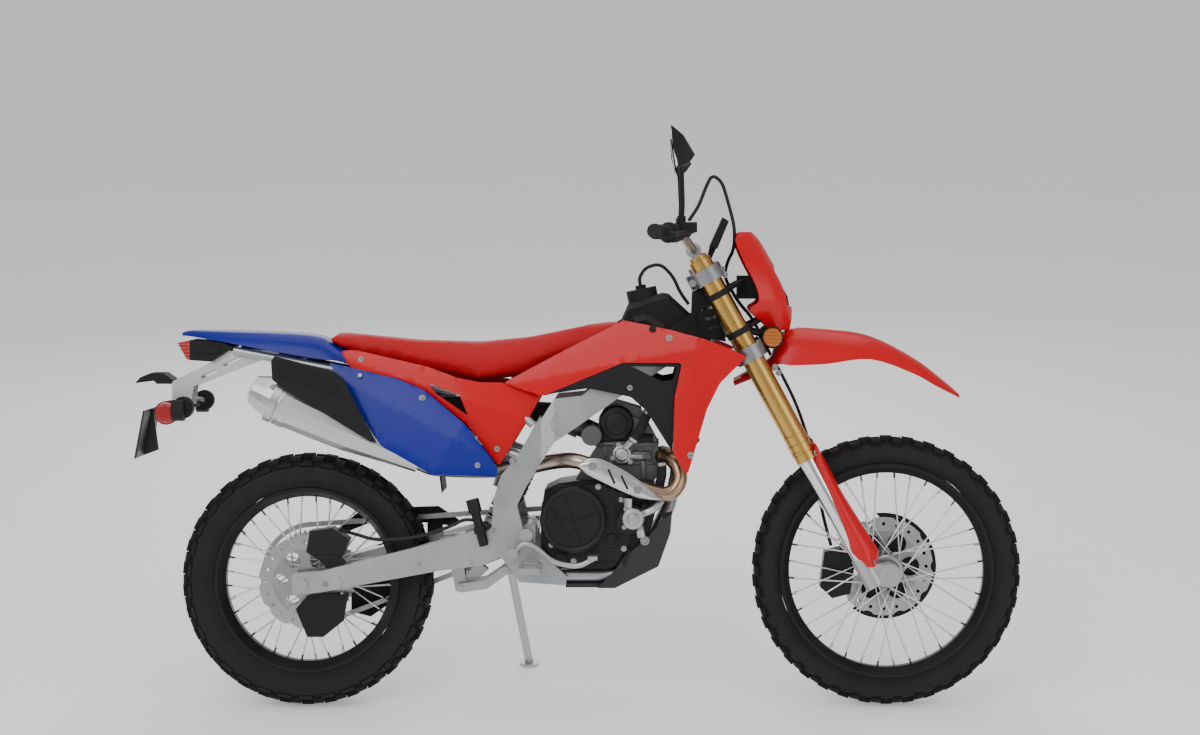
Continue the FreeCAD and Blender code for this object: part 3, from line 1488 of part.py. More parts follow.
def side_covers():
    """Blue number panels, red cowls, red tank shrouds and their black inserts, on both sides."""
    panel = outline(((0.0, 1.0), (0.317, 0.268), (0.615, 0.017), (0.998, 0.0), (1.0, 0.077), (0.809, 0.453),
                     (0.563, 0.756), (0.408, 0.854), (0.123, 0.958)), S.side_panel_start, S.side_panel_low,
                    S.side_panel_reach, S.side_panel_height)
    pair("number_panels", plate("number_panel", panel, S.side_panel_place, "panel_thick", tuck=9))
    cowl = outline(((0.0, 0.993), (0.07, 1.0), (0.436, 0.855), (0.58, 0.761), (0.704, 0.717),
                    (0.811, 0.717),
                    (1.0, 0.603), (0.963, 0.478), (0.794, 0.0), (0.63, 0.364), (0.42,
                                                                                0.657), (0.288, 0.751),
                    (0.045, 0.852)), S.cowl_start, S.cowl_low, S.cowl_reach, S.cowl_height)
    pair("side_cowls", plate("side_cowl", cowl, S.cowl_place, "panel_thick", flare=-1, tuck=4))
    shroud = outline(((0.0, 0.587), (0.228, 0.782), (0.449, 0.962), (0.494, 1.0), (0.682, 0.941),
                      (0.823, 0.882),
                      (0.936, 0.815), (1.0, 0.764), (0.891, 0.592), (0.838, 0.423), (0.762,
                                                                                     0.013), (0.751, 0.0),
                      (0.697, 0.136), (0.705, 0.5), (0.735, 0.723), (0.493, 0.723), (0.159,
                                                                                     0.5)), S.shroud_start,
                     S.shroud_low, S.shroud_reach, S.shroud_height)
    pair("tank_shrouds", plate("tank_shroud", shroud, S.shroud_place, "panel_thick", flare=S.shroud_flare,
                               tuck=2))
    insert = outline(((0.0, 0.691), (0.564, 1.0), (0.973, 1.0), (0.921, 0.691), (0.908, 0.188),
                      (0.724, 0.567), (0.618, 0.688), (0.325, 0.766), (0.087,
                                                                       0.72)), S.insert_start, S.insert_low,
                     S.insert_reach, S.insert_height)
    pair("shroud_inserts", plate("shroud_insert", insert, S.insert_place, "panel_thick",
                                 flare=S.shroud_flare, tuck=2))
    doc.recompute()


TAIL_POST_SHARES = ((0, 0), (1, 0), (1, 1), (0, 1))
REAR_POST_SHARES = ((0, 0.1818), (1, 0), (1, 1), (0, 1))


def rear_fender():
    """The long blue tail, arched across and drawn out to a thin tip."""
    stations = ((0.0, 0.93, 0.1, 0.4), (0.07, 1.0, 0.2, 0.6), (0.3, 0.99, 0.44, 0.85),
                (0.62, 0.93, 0.74, 1.0),
                (0.8, 0.8, 0.8, 1.0), (0.83, 0.55, 0.6, 1.0), (1.0, 0.17, 0.4, 0.95))
    sections = []
    for along, top, drop, wide in stations:
        centre = Vector(S.tail_start + S.tail_reach * along, 0, S.tail_low + S.tail_height * top)
        sections.append(arch(centre, UP, S.tail_half * wide, S.tail_height * drop, S.fender_gauge))
    posts = [side_prism(outline(TAIL_POST_SHARES, S.tail_post_start, S.tail_post_low, S.tail_post_reach,
                                S.tail_post_height), -S.tail_post_half, S.tail_post_half),
             side_prism(outline(REAR_POST_SHARES, S.rear_post_start, S.rear_post_low,
                                S.rear_post_reach, S.rear_post_height), -S.rear_post_half, S.rear_post_half)]
    return feature("rear_fender", fuse([loft(sections)] + posts))


LINER_SHARES = ((0, 1), (0.26, 0.9503), (0.61, 0.7764), (0.86, 0.4969), (0.975, 0.2484), (1, 0))
LINER_TAB_SHARES = ((0, 0.2471), (1, 0), (1, 1), (0, 1))


def wheel_liner():
    """The black inner fender over the rear tyre and the flap ahead of it."""
    top = outline(LINER_SHARES, S.liner_start, S.liner_low, S.liner_reach, S.liner_height)
    under = [(x - 4, z - 5) for x, z in top]
    skin = side_prism(top + under[::-1], -S.liner_half + 16, S.liner_half - 16)
    tab = side_prism(outline(LINER_TAB_SHARES, S.liner_tab_start, S.liner_tab_low, S.liner_tab_reach,
                             S.liner_tab_height), -S.liner_tab_half, S.liner_tab_half)
    return feature("wheel_liner", fuse([skin, tab]))


def fuel_tank():
    """The black tank cover between the shrouds, over the spars and under the seat's nose."""
    stations = ((0.0, 0.14, 0.02, 0.8), (0.35, 0.49, 0.1, 1.0), (0.44, 0.62, 0.28, 1.0),
                (0.46, 0.74, 0.3, 1.0),
                (0.5, 0.88, 0.35, 1.0), (0.73, 1.0, 0.5, 0.7),
                (0.77, 0.99, 0.55, 0.66), (0.92, 0.77, 0.62, 0.6), (1.0, 0.52, 0.46, 0.55))
    sections = []
    for along, top, under, wide in stations:
        x = S.tank_start + S.tank_reach * along
        high, low = S.tank_low + S.tank_height * top, S.tank_low + S.tank_height * under
        half = S.tank_half * wide
        sections.append([Vector(x, -half, low), Vector(x, half, low), Vector(x, half, high - 14),
                         Vector(x, half * 0.7, high), Vector(x, -half * 0.7,
                                                             high), Vector(x, -half, high - 14)])
    seat_for_cap = disc_between(CAP_FOOT, CAP_FOOT + CAP_TILT * S.cap_tall * 2, S.cap_radius + S.fit_gap)
    shell = loft(sections).cut(seat_for_cap)
    peg = side_disc(Vector(S.tank_peg_start, 0, S.tank_peg_low), -S.tank_peg_inner, -S.tank_peg_outer,
                    S.tank_peg_radius)
    body = fuse([shell, peg, mirror(peg)])
    return feature("fuel_tank", relieved(body, "main_frame", "seat", "tank_shrouds"))


CAP_FOOT = Vector(S.cap_ahead, 0, S.cap_height)
CAP_TILT = Vector(-0.2, 0, 0.98).normalize()


def fuel_cap():
    """The screw cap and its breather hose, which loops down ahead of the tank."""
    foot, tilt = CAP_FOOT, CAP_TILT
    lid = disc_between(foot, foot + tilt * S.cap_tall, S.cap_radius)
    neck = disc_between(foot + tilt * S.cap_tall, foot + tilt * (S.cap_tall + 10), S.cap_neck_radius)
    top = foot + tilt * (S.cap_tall + 6)
    hose = tube([top, top + Vector(-4, 0, 22), Vector(880, 0, 1140), Vector(918, 0, 1152),
                 Vector(952, 0, 1120),
                 Vector(972, -4, 1075), Vector(994, -10, 1045)], S.hose_radius)
    return feature("fuel_cap", fuse([lid, neck, hose]))


def radiators():
    """A radiator with its louvred guard behind each shroud."""
    low = Vector(S.radiator_ahead, 0, S.radiator_low)
    lean = -math.tan(math.radians(9))
    inner, outer = S.radiator_inner, S.radiator_inner + S.radiator_wide
    tall = S.radiator_height
    corners = [(low.x, low.z), (low.x + S.radiator_deep, low.z),
               (low.x + S.radiator_deep + lean * tall * -0.3, low.z + tall),
               (low.x + lean * tall * -0.3, low.z + tall)]
    shapes = [side_prism(corners, -outer, -inner)]
    for slat in range(9):
        z = low.z + 16 + slat * (tall - 30) / 9
        x = low.x + S.radiator_deep + 0.048 * (z - low.z) - 2
        shapes.append(side_prism([(x, z), (x + 16, z + 12), (x + 16, z + 16), (x, z + 4)], -outer + 6,
                                 -inner - 6))
    shapes.append(side_disc(Vector(S.radiator_peg_start + S.radiator_peg_reach, 0,
                  S.radiator_peg_low + S.radiator_peg_height), -S.radiator_peg_inner, -outer + 2,
                  S.radiator_peg_radius))
    shapes.append(side_disc(Vector(S.radiator_peg_start, 0, S.radiator_peg_low), -inner - 2,
                            -S.radiator_peg_outer, S.radiator_peg_radius_2))
    right = relieved(fuse(shapes), "main_frame", "tank_shrouds")
    return feature("radiators", both_sides(right))


def skid_plate():
    """The plastic guard under the engine, turned up in front of the crankcase."""
    corners = outline(((0.0, 0.0), (0.464, 0.0), (0.872, 0.29), (0.985, 0.741), (1.0, 1.0), (0.916, 0.98),
                      (0.9, 0.741), (0.8, 0.36), (0.44, 0.052), (0.0, 0.052)), S.skid_start, S.skid_low,
                      S.skid_reach, S.skid_height)
    floor = side_prism(corners, -S.skid_half, S.skid_half)
    cheek_corners = outline(((0.3, 0.0), (0.464, 0.0), (0.872, 0.29), (0.985, 0.741), (1.0, 1.0),
                             (0.916, 0.922),
                             (0.75, 0.642), (0.555, 0.425), (0.453,
                                                             0.22)), S.skid_start, S.skid_low, S.skid_reach,
                            S.skid_height)
    cheek = side_prism(cheek_corners, -S.skid_half - 12, -S.skid_half)
    return feature("skid_plate", relieved(fuse([floor, cheek, mirror(cheek)]), "main_frame"))


# Tail end

LAMP_CASE_SHARES = ((0, 0.0714), (0, 1), (0.7589, 0.875), (1, 0.6786), (0.8929, 0.5179), (0.5, 0))
REAR_LENS_SHARES = ((0, 0.8654), (1, 1), (1, 0), (0.7273, 0.0385))
PLATE_HOOD_SHARES = ((0, 0.0714), (0.1344, 0.6071), (0.4033, 1), (0.7653, 1), (1, 0.4286), (1, 0),
                     (0.5895, 0), (0.5067, 0.2857))


def tail_lamp():
    """The lamp housing and its red lens under the tail."""
    housing = side_prism(outline(LAMP_CASE_SHARES, S.lamp_case_start, S.lamp_case_low, S.lamp_case_reach,
                                 S.lamp_case_height),
                         -S.lamp_half, S.lamp_half)
    lens = side_prism(outline(REAR_LENS_SHARES, S.rear_lens_start, S.rear_lens_low, S.rear_lens_reach,
                              S.rear_lens_height), -S.lamp_half + 4, S.lamp_half - 4)
    hood = side_prism(outline(PLATE_HOOD_SHARES, S.plate_hood_start, S.plate_hood_low, S.plate_hood_reach,
                              S.plate_hood_height), -S.tail_hood_half, S.tail_hood_half)
    feature("lamp_housings", Part.makeCompound([housing, hood]))
    reflector = side_disc(Vector(S.tail_reflector_start, 0, S.tail_reflector_low), -S.bracket_half - 12,
                          -S.bracket_half, S.tail_reflector_radius)
    feature("rear_lenses", Part.makeCompound([lens, reflector, mirror(reflector)]))


CARRIER_BACK_SHARES = ((0, 0.0798), (0.65, 0.6693), (0.925, 1), (1, 0.9578), (0.8, 0.6842), (0.0187, 0))
CARRIER_BRIDGE_SHARES = ((0, 0), (1, 0), (1, 1), (0, 1))
BOARD_RIB_SHARES = ((0.5116, 1), (0.6512, 1), (1, 0.129), (0, 0))
BOARD_SHARES = ((0.8214, 0.992), (1, 1), (0.2143, 0.016), (0, 0))
BOARD_STRUT_SHARES = ((0, 0), (1, 0.55), (1, 1), (0, 0.2))


def plate_carrier():
    """The silver carrier arm, plate board and plate lamp behind the tail."""
    corners = outline(((1.0, 0.956), (0.577, 1.0), (0.452, 0.849), (0.185, 0.591), (0.007, 0.484),
                       (0.0, 0.138),
                       (0.043, 0.0), (0.17, 0.09), (0.2, 0.403), (0.925,
                                                                  0.906)), S.bracket_start, S.bracket_low,
                      S.bracket_reach, S.bracket_height)
    half = S.bracket_half
    cheek = side_prism(corners, -half, -half + 3)
    slots = [side_prism([(x, z), (x + 42, z + 20), (x + 46, z + 14), (x + 8, z - 4)], -half - 1, -half + 4)
             for x, z in ((-222, 888), (-280, 856))]
    cheek = cheek.cut(slots)
    back = side_prism(outline(CARRIER_BACK_SHARES, S.carrier_back_start, S.carrier_back_low,
                              S.carrier_back_reach, S.carrier_back_height), -half, half)
    bridge = side_prism(outline(CARRIER_BRIDGE_SHARES, S.carrier_bridge_start, S.carrier_bridge_low,
                                S.carrier_bridge_reach, S.carrier_bridge_height), -half, half)
    board = side_prism(outline(BOARD_RIB_SHARES, S.board_rib_start, S.board_rib_low, S.board_rib_reach,
                               S.board_rib_height), -S.bracket_board_half, S.bracket_board_half)
    wide = S.board_wide / 2
    sheet_board = side_prism(outline(BOARD_SHARES, S.board_start, S.board_low, S.board_reach,
                                     S.board_height), -wide, wide)
    strut = side_prism(outline(BOARD_STRUT_SHARES, S.board_strut_start, S.board_strut_low,
                       S.board_strut_reach, S.board_strut_height), -S.bracket_strut_half,
                       S.bracket_strut_half)
    feature("plate_carrier", fuse([cheek, mirror(cheek), back, bridge, board, sheet_board, strut]))


def signal(centre, inner, outer):
    """A round turn signal on its stalk, on the right side."""
    stalk = side_disc(centre, -outer, -inner, S.stalk_radius)
    middle = Vector(centre.x, -outer, centre.z)
    pod = disc_between(middle - Vector(S.signal_deep / 2, 0, 0), middle + Vector(S.signal_deep / 2, 0, 0),
                       S.signal_radius)
    return fuse([pod, stalk])


def rear_signals():
    """The two rear turn signals on the plate carrier."""
    right = signal(Vector(S.rear_signal_right_start, 0, S.rear_signal_right_low), S.bracket_half,
                   S.signal_side)
    return feature("rear_signals", both_sides(right))


# Foot controls, brakes and stand

def footpegs():
    """Toothed footpegs on brackets at the pivot plates."""
    outer = S.plate_inner + S.plate_thick
    peg = Part.makeBox(S.peg_wide, S.peg_long, 16, Vector(S.peg_ahead - S.peg_wide / 2,
                                                          -outer - S.peg_long - 12, S.peg_height))
    window = Part.makeBox(S.peg_wide - 16, S.peg_long - 20, 40,
                          Vector(S.peg_ahead - S.peg_wide / 2 + 8, -outer - S.peg_long - 4,
                                 S.peg_height - 10))
    bar = Part.makeBox(S.peg_wide, 6, 16, Vector(S.peg_ahead - S.peg_wide / 2,
                                                 -outer - S.peg_long / 2 - 12, S.peg_height))
    bracket = side_prism([(S.peg_ahead - 20, S.peg_height - 10), (S.peg_ahead + 20, S.peg_height - 14),
                          (S.peg_ahead + 16, S.peg_height + 20), (S.peg_ahead - 16,
                                                                  S.peg_height + 26)], -outer - 16, -outer)
    right = fuse([peg.cut(window), bar, bracket])
    return feature("footpegs", both_sides(right))


def pedals():
    """The brake pedal on the right and the gear lever on the left."""
    corners = outline(((0.0, 0.532), (0.117, 1.0), (0.288, 0.806), (0.502, 0.161), (0.81, 0.0),
                       (1.0, 0.339)),
                      S.pedal_start, S.pedal_low, S.pedal_reach, S.pedal_height)
    place = -S.pedal_place - 6
    # The pedal runs outside the clutch lid and inside the toe
    points = [Vector(x, place, z) for x, z in corners]
    arm = tube([points[0]] + [Vector(p.x, place - 4, p.z) for p in points[1:]], S.pedal_thick * 0.75)
    toe = Part.makeBox(24, 34, 10, Vector(corners[-1][0] - 14, place - 26, corners[-1][1] - 2))
    boss = side_disc(Vector(corners[0][0], 0, corners[0][1]), place - 8, -S.plate_inner - S.plate_thick,
                     S.pedal_boss_radius)
    brake = fuse([arm, toe, boss])
    shaft = Vector(S.pedal_shaft_start, 0, S.pedal_shaft_low)
    at_lever = within(S.pedal_lever_start, S.pedal_lever_low, S.pedal_lever_reach, S.pedal_lever_height)
    lever = tube([Vector(shaft.x, 88, shaft.z), at_lever(0, S.pedal_lever_side * 0.8889, 0.6667),
                  at_lever(0.6341, S.pedal_lever_side * 0.963, 0), at_lever(1, S.pedal_lever_side,
                                                                            1)], S.pedal_lever_radius)
    pin = side_disc(shaft, S.crankcase_left, S.pedal_pin_outer, S.pedal_pin_radius)
    rubber = side_disc(Vector(S.pedal_rubber_start, 0, S.pedal_rubber_low), S.pedal_rubber_inner,
                       S.pedal_rubber_outer, S.pedal_rubber_radius)
    return feature("pedals", Part.makeCompound([brake, fuse([lever, pin, rubber])]))


REAR_CALIPER_SHARES = ((0, 0.2619), (0.0893, 0.9048), (0.6071, 1), (1, 0.6429), (0.8393, 0.119),
                       (0.3036, 0))
REAR_CALIPER_EAR_SHARES = ((0, 1), (0.675, 1), (1, 0.2941), (0.375, 0))
MASTER_BRACKET_SHARES = ((0.1911, 0), (1, 0), (1, 1), (0, 1))


def rear_brake():
    """The rear caliper over its disc, with master cylinder, reservoir and hose."""
    side = S.rear_disc_place
    block = side_prism(outline(REAR_CALIPER_SHARES, S.rear_caliper_start, S.rear_caliper_low,
                               S.rear_caliper_reach, S.rear_caliper_height), -side - 24, -side + 24)
    slot = side_disc(REAR_AXLE, -side - S.disc_thick / 2 - S.moving_gap,
                     -side + S.disc_thick / 2 + S.moving_gap,
                     S.rear_disc_radius + S.moving_gap)
    ear = side_prism(outline(REAR_CALIPER_EAR_SHARES, S.rear_caliper_ear_start, S.rear_caliper_ear_low,
                     S.rear_caliper_ear_reach, S.rear_caliper_ear_height), -S.arm_rear_inner + S.fit_gap,
                     -side - 20)
    caliper = fuse([block, ear]).cut(slot)
    place = -S.plate_inner - S.plate_thick / 2
    low, high = Vector(S.rear_brake_point_start + S.rear_brake_point_reach, place,
                       S.rear_brake_point_low), Vector(S.rear_brake_point_start, place,
                                                       S.rear_brake_point_low + S.rear_brake_point_height)
    way = (high - low).normalize()
    bracket = side_prism(outline(MASTER_BRACKET_SHARES, S.master_bracket_start, S.master_bracket_low,
                                 S.master_bracket_reach, S.master_bracket_height), place - 5, place + 5)
    master = fuse([disc_between(low, low + way * 96, S.rear_brake_master_radius),
                   disc_between(low + way * 88, low + way * 122, S.rear_brake_master_radius_2),
                   disc_between(low + way * 34, low + way * 50, S.rear_brake_master_radius_3), bracket])
    top = low + way * 66
    route = place - 2
    hose = tube([top, top + Vector(-34, -1, 4), Vector(380, route, 478), Vector(300, route, 452),
                 Vector(190, route, 444), Vector(134, -112, 458), Vector(92, -side - 18,
                                                                         464)], S.hose_radius)
    return feature("rear_brake", relieved(fuse([caliper, master, hose]), "swingarm"))


CHAIN_GUARD_SHARES = ((0, 0.1429), (0.216, 0.9143), (0.8333, 1), (1, 0.4857), (0.9753, 0.2286),
                      (0.7407, 0.3714), (0.2778, 0.3714), (0.0741, 0))
CHAIN_GUARD_FOOT_SHARES = ((0, 0), (1, 0.2703), (1, 1), (0, 1))
CHAIN_GUIDE_SHARES = ((0, 0.7586), (0, 0.1121), (0.4444, 0), (0.9145, 0.3276), (1, 0.9138), (0.7863, 1))
CHAIN_GUIDE_FOOT_SHARES = ((0, 0), (1, 0.5172), (1, 1), (0, 0.6207))
DISC_SHIELD_SHARES = ((0, 0.6545), (0.2206, 0.9636), (0.5882, 1), (1, 1), (0.9118, 0.3818), (0.5294, 0),
                      (0.2206, 0))


def swingarm_guards():
    """Chain guard, chain guide and disc shield, in black plastic on the swingarm."""
    near = S.arm_front_inner + 1
    inner, outer = near + 1, near + 5
    upper = side_prism(outline(CHAIN_GUARD_SHARES, S.chain_guard_start, S.chain_guard_low,
                               S.chain_guard_reach, S.chain_guard_height),
                       inner, outer)
    upper_foot = side_prism(outline(CHAIN_GUARD_FOOT_SHARES, S.chain_guard_foot_start,
                            S.chain_guard_foot_low, S.chain_guard_foot_reach, S.chain_guard_foot_height),
                            inner, inner + 22)
    guide = side_prism(outline(CHAIN_GUIDE_SHARES, S.chain_guide_start, S.chain_guide_low,
                               S.chain_guide_reach, S.chain_guide_height), inner, outer)
    guide_foot = side_prism(outline(CHAIN_GUIDE_FOOT_SHARES, S.chain_guide_foot_start,
                            S.chain_guide_foot_low, S.chain_guide_foot_reach, S.chain_guide_foot_height),
                            inner, inner + 26)
    shield = side_prism(outline(DISC_SHIELD_SHARES, S.disc_shield_start, S.disc_shield_low,
                                S.disc_shield_reach, S.disc_shield_height),
                        -S.arm_rear_inner - 2, -S.arm_rear_inner + 2)
    return feature("swingarm_guards", Part.makeCompound([fuse([upper, upper_foot]),
                                                         fuse([guide, guide_foot]), shield]))


def stand_frame():
    """Pivot, foot and hinge axis of the side stand on the upright motorcycle."""
    pivot = Vector(S.stand_pivot_ahead, S.stand_pivot_side, S.stand_pivot_height)
    foot = Vector(S.stand_foot_ahead, S.stand_foot_side, S.stand_foot_side * math.tan(LEAN))
    hinge = Vector(0, 0.989, 0.148).normalize()
    return pivot, foot, hinge


def side_stand():
    """The side stand's leg, hinge knuckle and foot, which lies flat on the floor."""
    pivot, foot, hinge = stand_frame()
    floor_up = Vector(0, -math.sin(LEAN), math.cos(LEAN))
    sole = foot - floor_up * (S.centre_lug_half * math.sin(LEAN))
    pad = disc_between(sole, sole + floor_up * S.stand_foot_thick, S.stand_foot_radius)
    ankle = sole + floor_up * (S.stand_foot_thick / 2)
    knuckle = disc_between(pivot - hinge * 11, pivot + hinge * 11, S.stand_knuckle_radius)
    knee = pivot + (ankle - pivot) * 0.16 + Vector(4, 4, 0)
    leg = tube([pivot, knee, ankle], S.stand_radius)
    bore = disc_between(pivot - hinge * 20, pivot + hinge * 20, 5 + S.fit_gap)
    return feature("side_stand", fuse([pad, leg, knuckle]).cut(bore))


def stand_bracket():
    """The frame bracket and pin that carry the side stand."""
    pivot, foot, hinge = stand_frame()
    outer = S.plate_inner + S.plate_thick
    gap = 12
    corners = [(pivot.x - 20, pivot.z - 18), (pivot.x + 22, pivot.z - 20), (PIVOT.x - 4, pivot.z + 10),
               (PIVOT.x - 10, pivot.z + 52), (pivot.x + 10, pivot.z + 30), (pivot.x - 18, pivot.z + 16)]
    inner_plate = side_prism(corners, outer, outer + 4)
    pin = disc_between(pivot - hinge * (pivot.y - outer), pivot + hinge * (gap + 6),
                       S.stand_bracket_pin_radius)
    return fuse([inner_plate, pin])


# Fork, bars and front end, which turn with the steering

def triple_clamps():
    """Upper and lower clamps, bored for the fork tubes, on the steering stem."""
    shapes = []
    for along in (S.upper_clamp_along, S.lower_clamp_along):
        for side in (-1, 1):
            foot = on_fork(along, S.fork_offset, side * S.leg_spread)
            shapes.append(disc_between(foot, foot + ALONG * S.clamp_tall,
                                       S.outer_tube_radius + S.clamp_wall))
        foot = on_fork(along, 0)
        shapes.append(disc_between(foot, foot + ALONG * S.clamp_tall, S.head_radius))
        web = [on_fork(along, -S.head_radius * 0.7, -S.leg_spread * 0.5),
               on_fork(along, S.fork_offset * 0.2, -S.leg_spread),
               on_fork(along, S.fork_offset + 26, -S.leg_spread * 0.8), on_fork(along, S.fork_offset + 16,
                                                                                0),
               on_fork(along, S.fork_offset + 26, S.leg_spread * 0.8), on_fork(along, S.fork_offset * 0.2,
                                                                               S.leg_spread),
               on_fork(along, -S.head_radius * 0.7, S.leg_spread * 0.5)]
        shapes.append(prism(web, ALONG * S.clamp_tall))
        for side in (-1, 1):
            pinch = on_fork(along + S.clamp_tall / 2, -S.outer_tube_radius * 0.75,
                            side * (S.leg_spread + 4))
            shapes.append(disc_between(pinch - SIDE * 16, pinch + SIDE * 16, S.triple_clamps_piece_radius))
    bores = []
    for side in (-1, 1):
        foot = on_fork(S.lower_clamp_along - 20, S.fork_offset, side * S.leg_spread)
        bores.append(disc_between(foot, foot + ALONG * 400, S.outer_tube_radius + S.fit_gap))
    upper = S.upper_clamp_along + S.clamp_tall
    nut = disc_between(on_fork(upper, 0), on_fork(upper + 14, 0), S.triple_clamps_nut_radius)
    body = fuse(shapes + [nut]).cut(bores)
    return feature("triple_clamps", body)


def fork_legs():
    """Gold outer tubes with their caps, bright inner tubes and cast axle lugs."""
    def legs(build):
        return Part.makeCompound([build(-1), build(1)])

    start, long = S.outer_tube_start, S.outer_tube_long

    def outer(side):
        foot = on_fork(start, S.fork_offset, side * S.leg_spread)
        body = disc_between(foot, foot + ALONG * long, S.outer_tube_radius)
        seal = disc_between(foot - ALONG * 14, foot + ALONG * 6, S.outer_tube_radius + 1.5)
        cap = disc_between(foot + ALONG * long, foot + ALONG * (long + 10), S.outer_tube_radius - 6)
        bore = disc_between(foot - ALONG * 20, foot + ALONG * (long - 40), S.inner_tube_radius + S.fit_gap)
        return fuse([body, seal, cap]).cut(bore)

    feature("fork_outer_tubes", legs(outer))
    along, ahead = fork_place(FRONT_AXLE)

    def inner(side):
        foot = on_fork(along + 60, S.fork_offset, side * S.leg_spread)
        return disc_between(foot, foot + ALONG * (start + 120 - along - 60), S.inner_tube_radius)

    feature("fork_inner_tubes", legs(inner))

    def lug(side):
        foot = on_fork(along - 6, S.fork_offset, side * S.leg_spread)
        sleeve = disc_between(foot, foot + ALONG * 66, S.inner_tube_radius + 3)
        socket = disc_between(foot + ALONG * 50, foot + ALONG * 80, S.inner_tube_radius + 3)
        centre = side * S.leg_spread
        low, high = centre - 22, centre + 22
        eye = side_disc(FRONT_AXLE, low, high, S.lug_radius)
        back = on_fork(along - 6, S.fork_offset, 0)
        top = on_fork(along + 50, S.fork_offset + 16, 0)
        web = side_prism([(back.x, back.z), (FRONT_AXLE.x - 4, FRONT_AXLE.z - S.lug_radius + 2),
                          (FRONT_AXLE.x + 4, FRONT_AXLE.z + S.lug_radius - 2), (top.x,
                                                                                top.z)], low + 2, high - 2)
        tube_bore = disc_between(on_fork(along + 60, S.fork_offset, centre),
                                 on_fork(along + 90, S.fork_offset, centre),
                                 S.inner_tube_radius)
        bore = side_disc(FRONT_AXLE, -S.fork_legs_bore_half, S.fork_legs_bore_half, S.front_axle_radius)
        return fuse([sleeve, socket, eye, web]).cut([bore, tube_bore])

    feature("fork_lugs", legs(lug))
    end = S.leg_spread + 24
    spacers = []
    for side in (-1, 1):
        low, high = sorted((side * (S.front_hub_half + S.face_gap), side * (S.leg_spread - 22)))
        spacers.append(side_disc(FRONT_AXLE, low, high, S.fork_legs_piece_radius))
    thin = side_disc(FRONT_AXLE, -S.front_hub_half - 4, S.front_hub_half + 4, S.axle_radius)
    ends = [side_disc(FRONT_AXLE, low, high, S.front_axle_radius)
            for low, high in ((-end, -S.front_hub_half - 1), (S.front_hub_half + 1, end))]
    feature("front_axle", fuse([thin] + ends + spacers))


FORK_GUARD_SHARES = ((1, 0.8526), (0.9378, 0.9033), (0.6115, 0.8672), (0.0874, 1), (0, 0.7651),
                     (0.043, 0.2588), (0.213, 0), (0.6089, 0.3472), (0.8931, 0.5658))
FORK_GUARD_FRONT_SHARES = ((1, 0.5435), (0.6163, 0.3728), (0, 0.9988), (0.0009, 0.5663), (0.6155, -0.003),
                           (0.9919, 0.1628))


def fork_guards():
    """The red guards over the lower fork legs, widening down to the axle lugs."""
    along, ahead = fork_place(FRONT_AXLE)
    corners = fork_outline(FORK_GUARD_SHARES, S.fork_guard_along, S.fork_guard_ahead, S.fork_guard_long,
                           S.fork_guard_deep)
    place = S.guard_plate_place
    side = side_prism(corners, -place - 4, -place)
    front = side_prism(fork_outline(FORK_GUARD_FRONT_SHARES, S.fork_guard_front_along,
                       S.fork_guard_front_ahead, S.fork_guard_front_long, S.fork_guard_front_deep), -place,
                       -S.leg_spread + S.inner_tube_radius)
    tie = side_disc(on_fork(along + 130, S.fork_offset, 0), -place,
                    -S.leg_spread - S.inner_tube_radius - S.fit_gap, S.fork_guard_tie_radius)
    window = [side_prism([(x, z), (x + 10, z + 4), (x + 22, z - 22), (x + 12, z - 26)], -place - 8,
                         -place + 1)
              for x, z in ((1368, 545), (1396, 494))]
    right = fuse([side, front, tie]).cut(window)
    return feature("fork_guards", both_sides(right))


FENDER_SHARES = ((0.0, 0.249, 0.0925, 0.5), (0.082, 0.405, 0.127, 0.68), (0.16, 0.561, 0.15, 0.76),
                 (0.194, 0.832, 0.347, 0.86), (0.253, 1.0, 0.532, 0.95), (0.405, 0.988, 0.497, 1.0),
                 (0.6, 0.896, 0.335, 0.98), (0.796, 0.566, 0.231, 0.84), (0.923, 0.243, 0.139, 0.62),
                 (1.0, 0.0, 0.046, 0.34))


def front_fender():
    """The long red front fender, arched across and drawn to a tip."""
    start = FRONT_AXLE.x - S.front_fender_behind
    sections = []
    for along, top, drop, wide in FENDER_SHARES:
        crown = Vector(start + S.front_fender_reach * along, 0,
                       S.front_fender_low + S.front_fender_height * top)
        sections.append(arch(crown, UP, S.front_fender_half * wide, S.front_fender_height * drop,
                             S.fender_gauge))
    boss = disc_between(on_fork(S.lower_clamp_along - 8, 8), on_fork(S.lower_clamp_along, 8),
                        S.fender_boss_radius)
    return feature("front_fender", fuse([loft(sections), boss]))


MASK_SHARES = ((0.0, 0.952, 0.5, 0.5), (0.109, 1.0, 0.72, 0.846), (0.219, 1.0, 0.95, 1.077),
               (0.305, 0.962, 1.0, 0.808),
               (0.477, 0.808, 1.0, 0.75), (0.711, 0.481, 0.95, 0.712), (0.914, 0.192, 0.8,
                                                                        0.615), (1.0, 0.0, 0.62, 0.327))


LAMP_FACE_SHARES = ((0.2908, 0), (0, 0.9032), (0.1749, 1), (0.8901, 0.9912), (1, 0.6495))
LAMP_CARRIER_SHARES = ((0.3556, 0), (0, 0.6522), (0.6444, 1), (1, 0.3484))


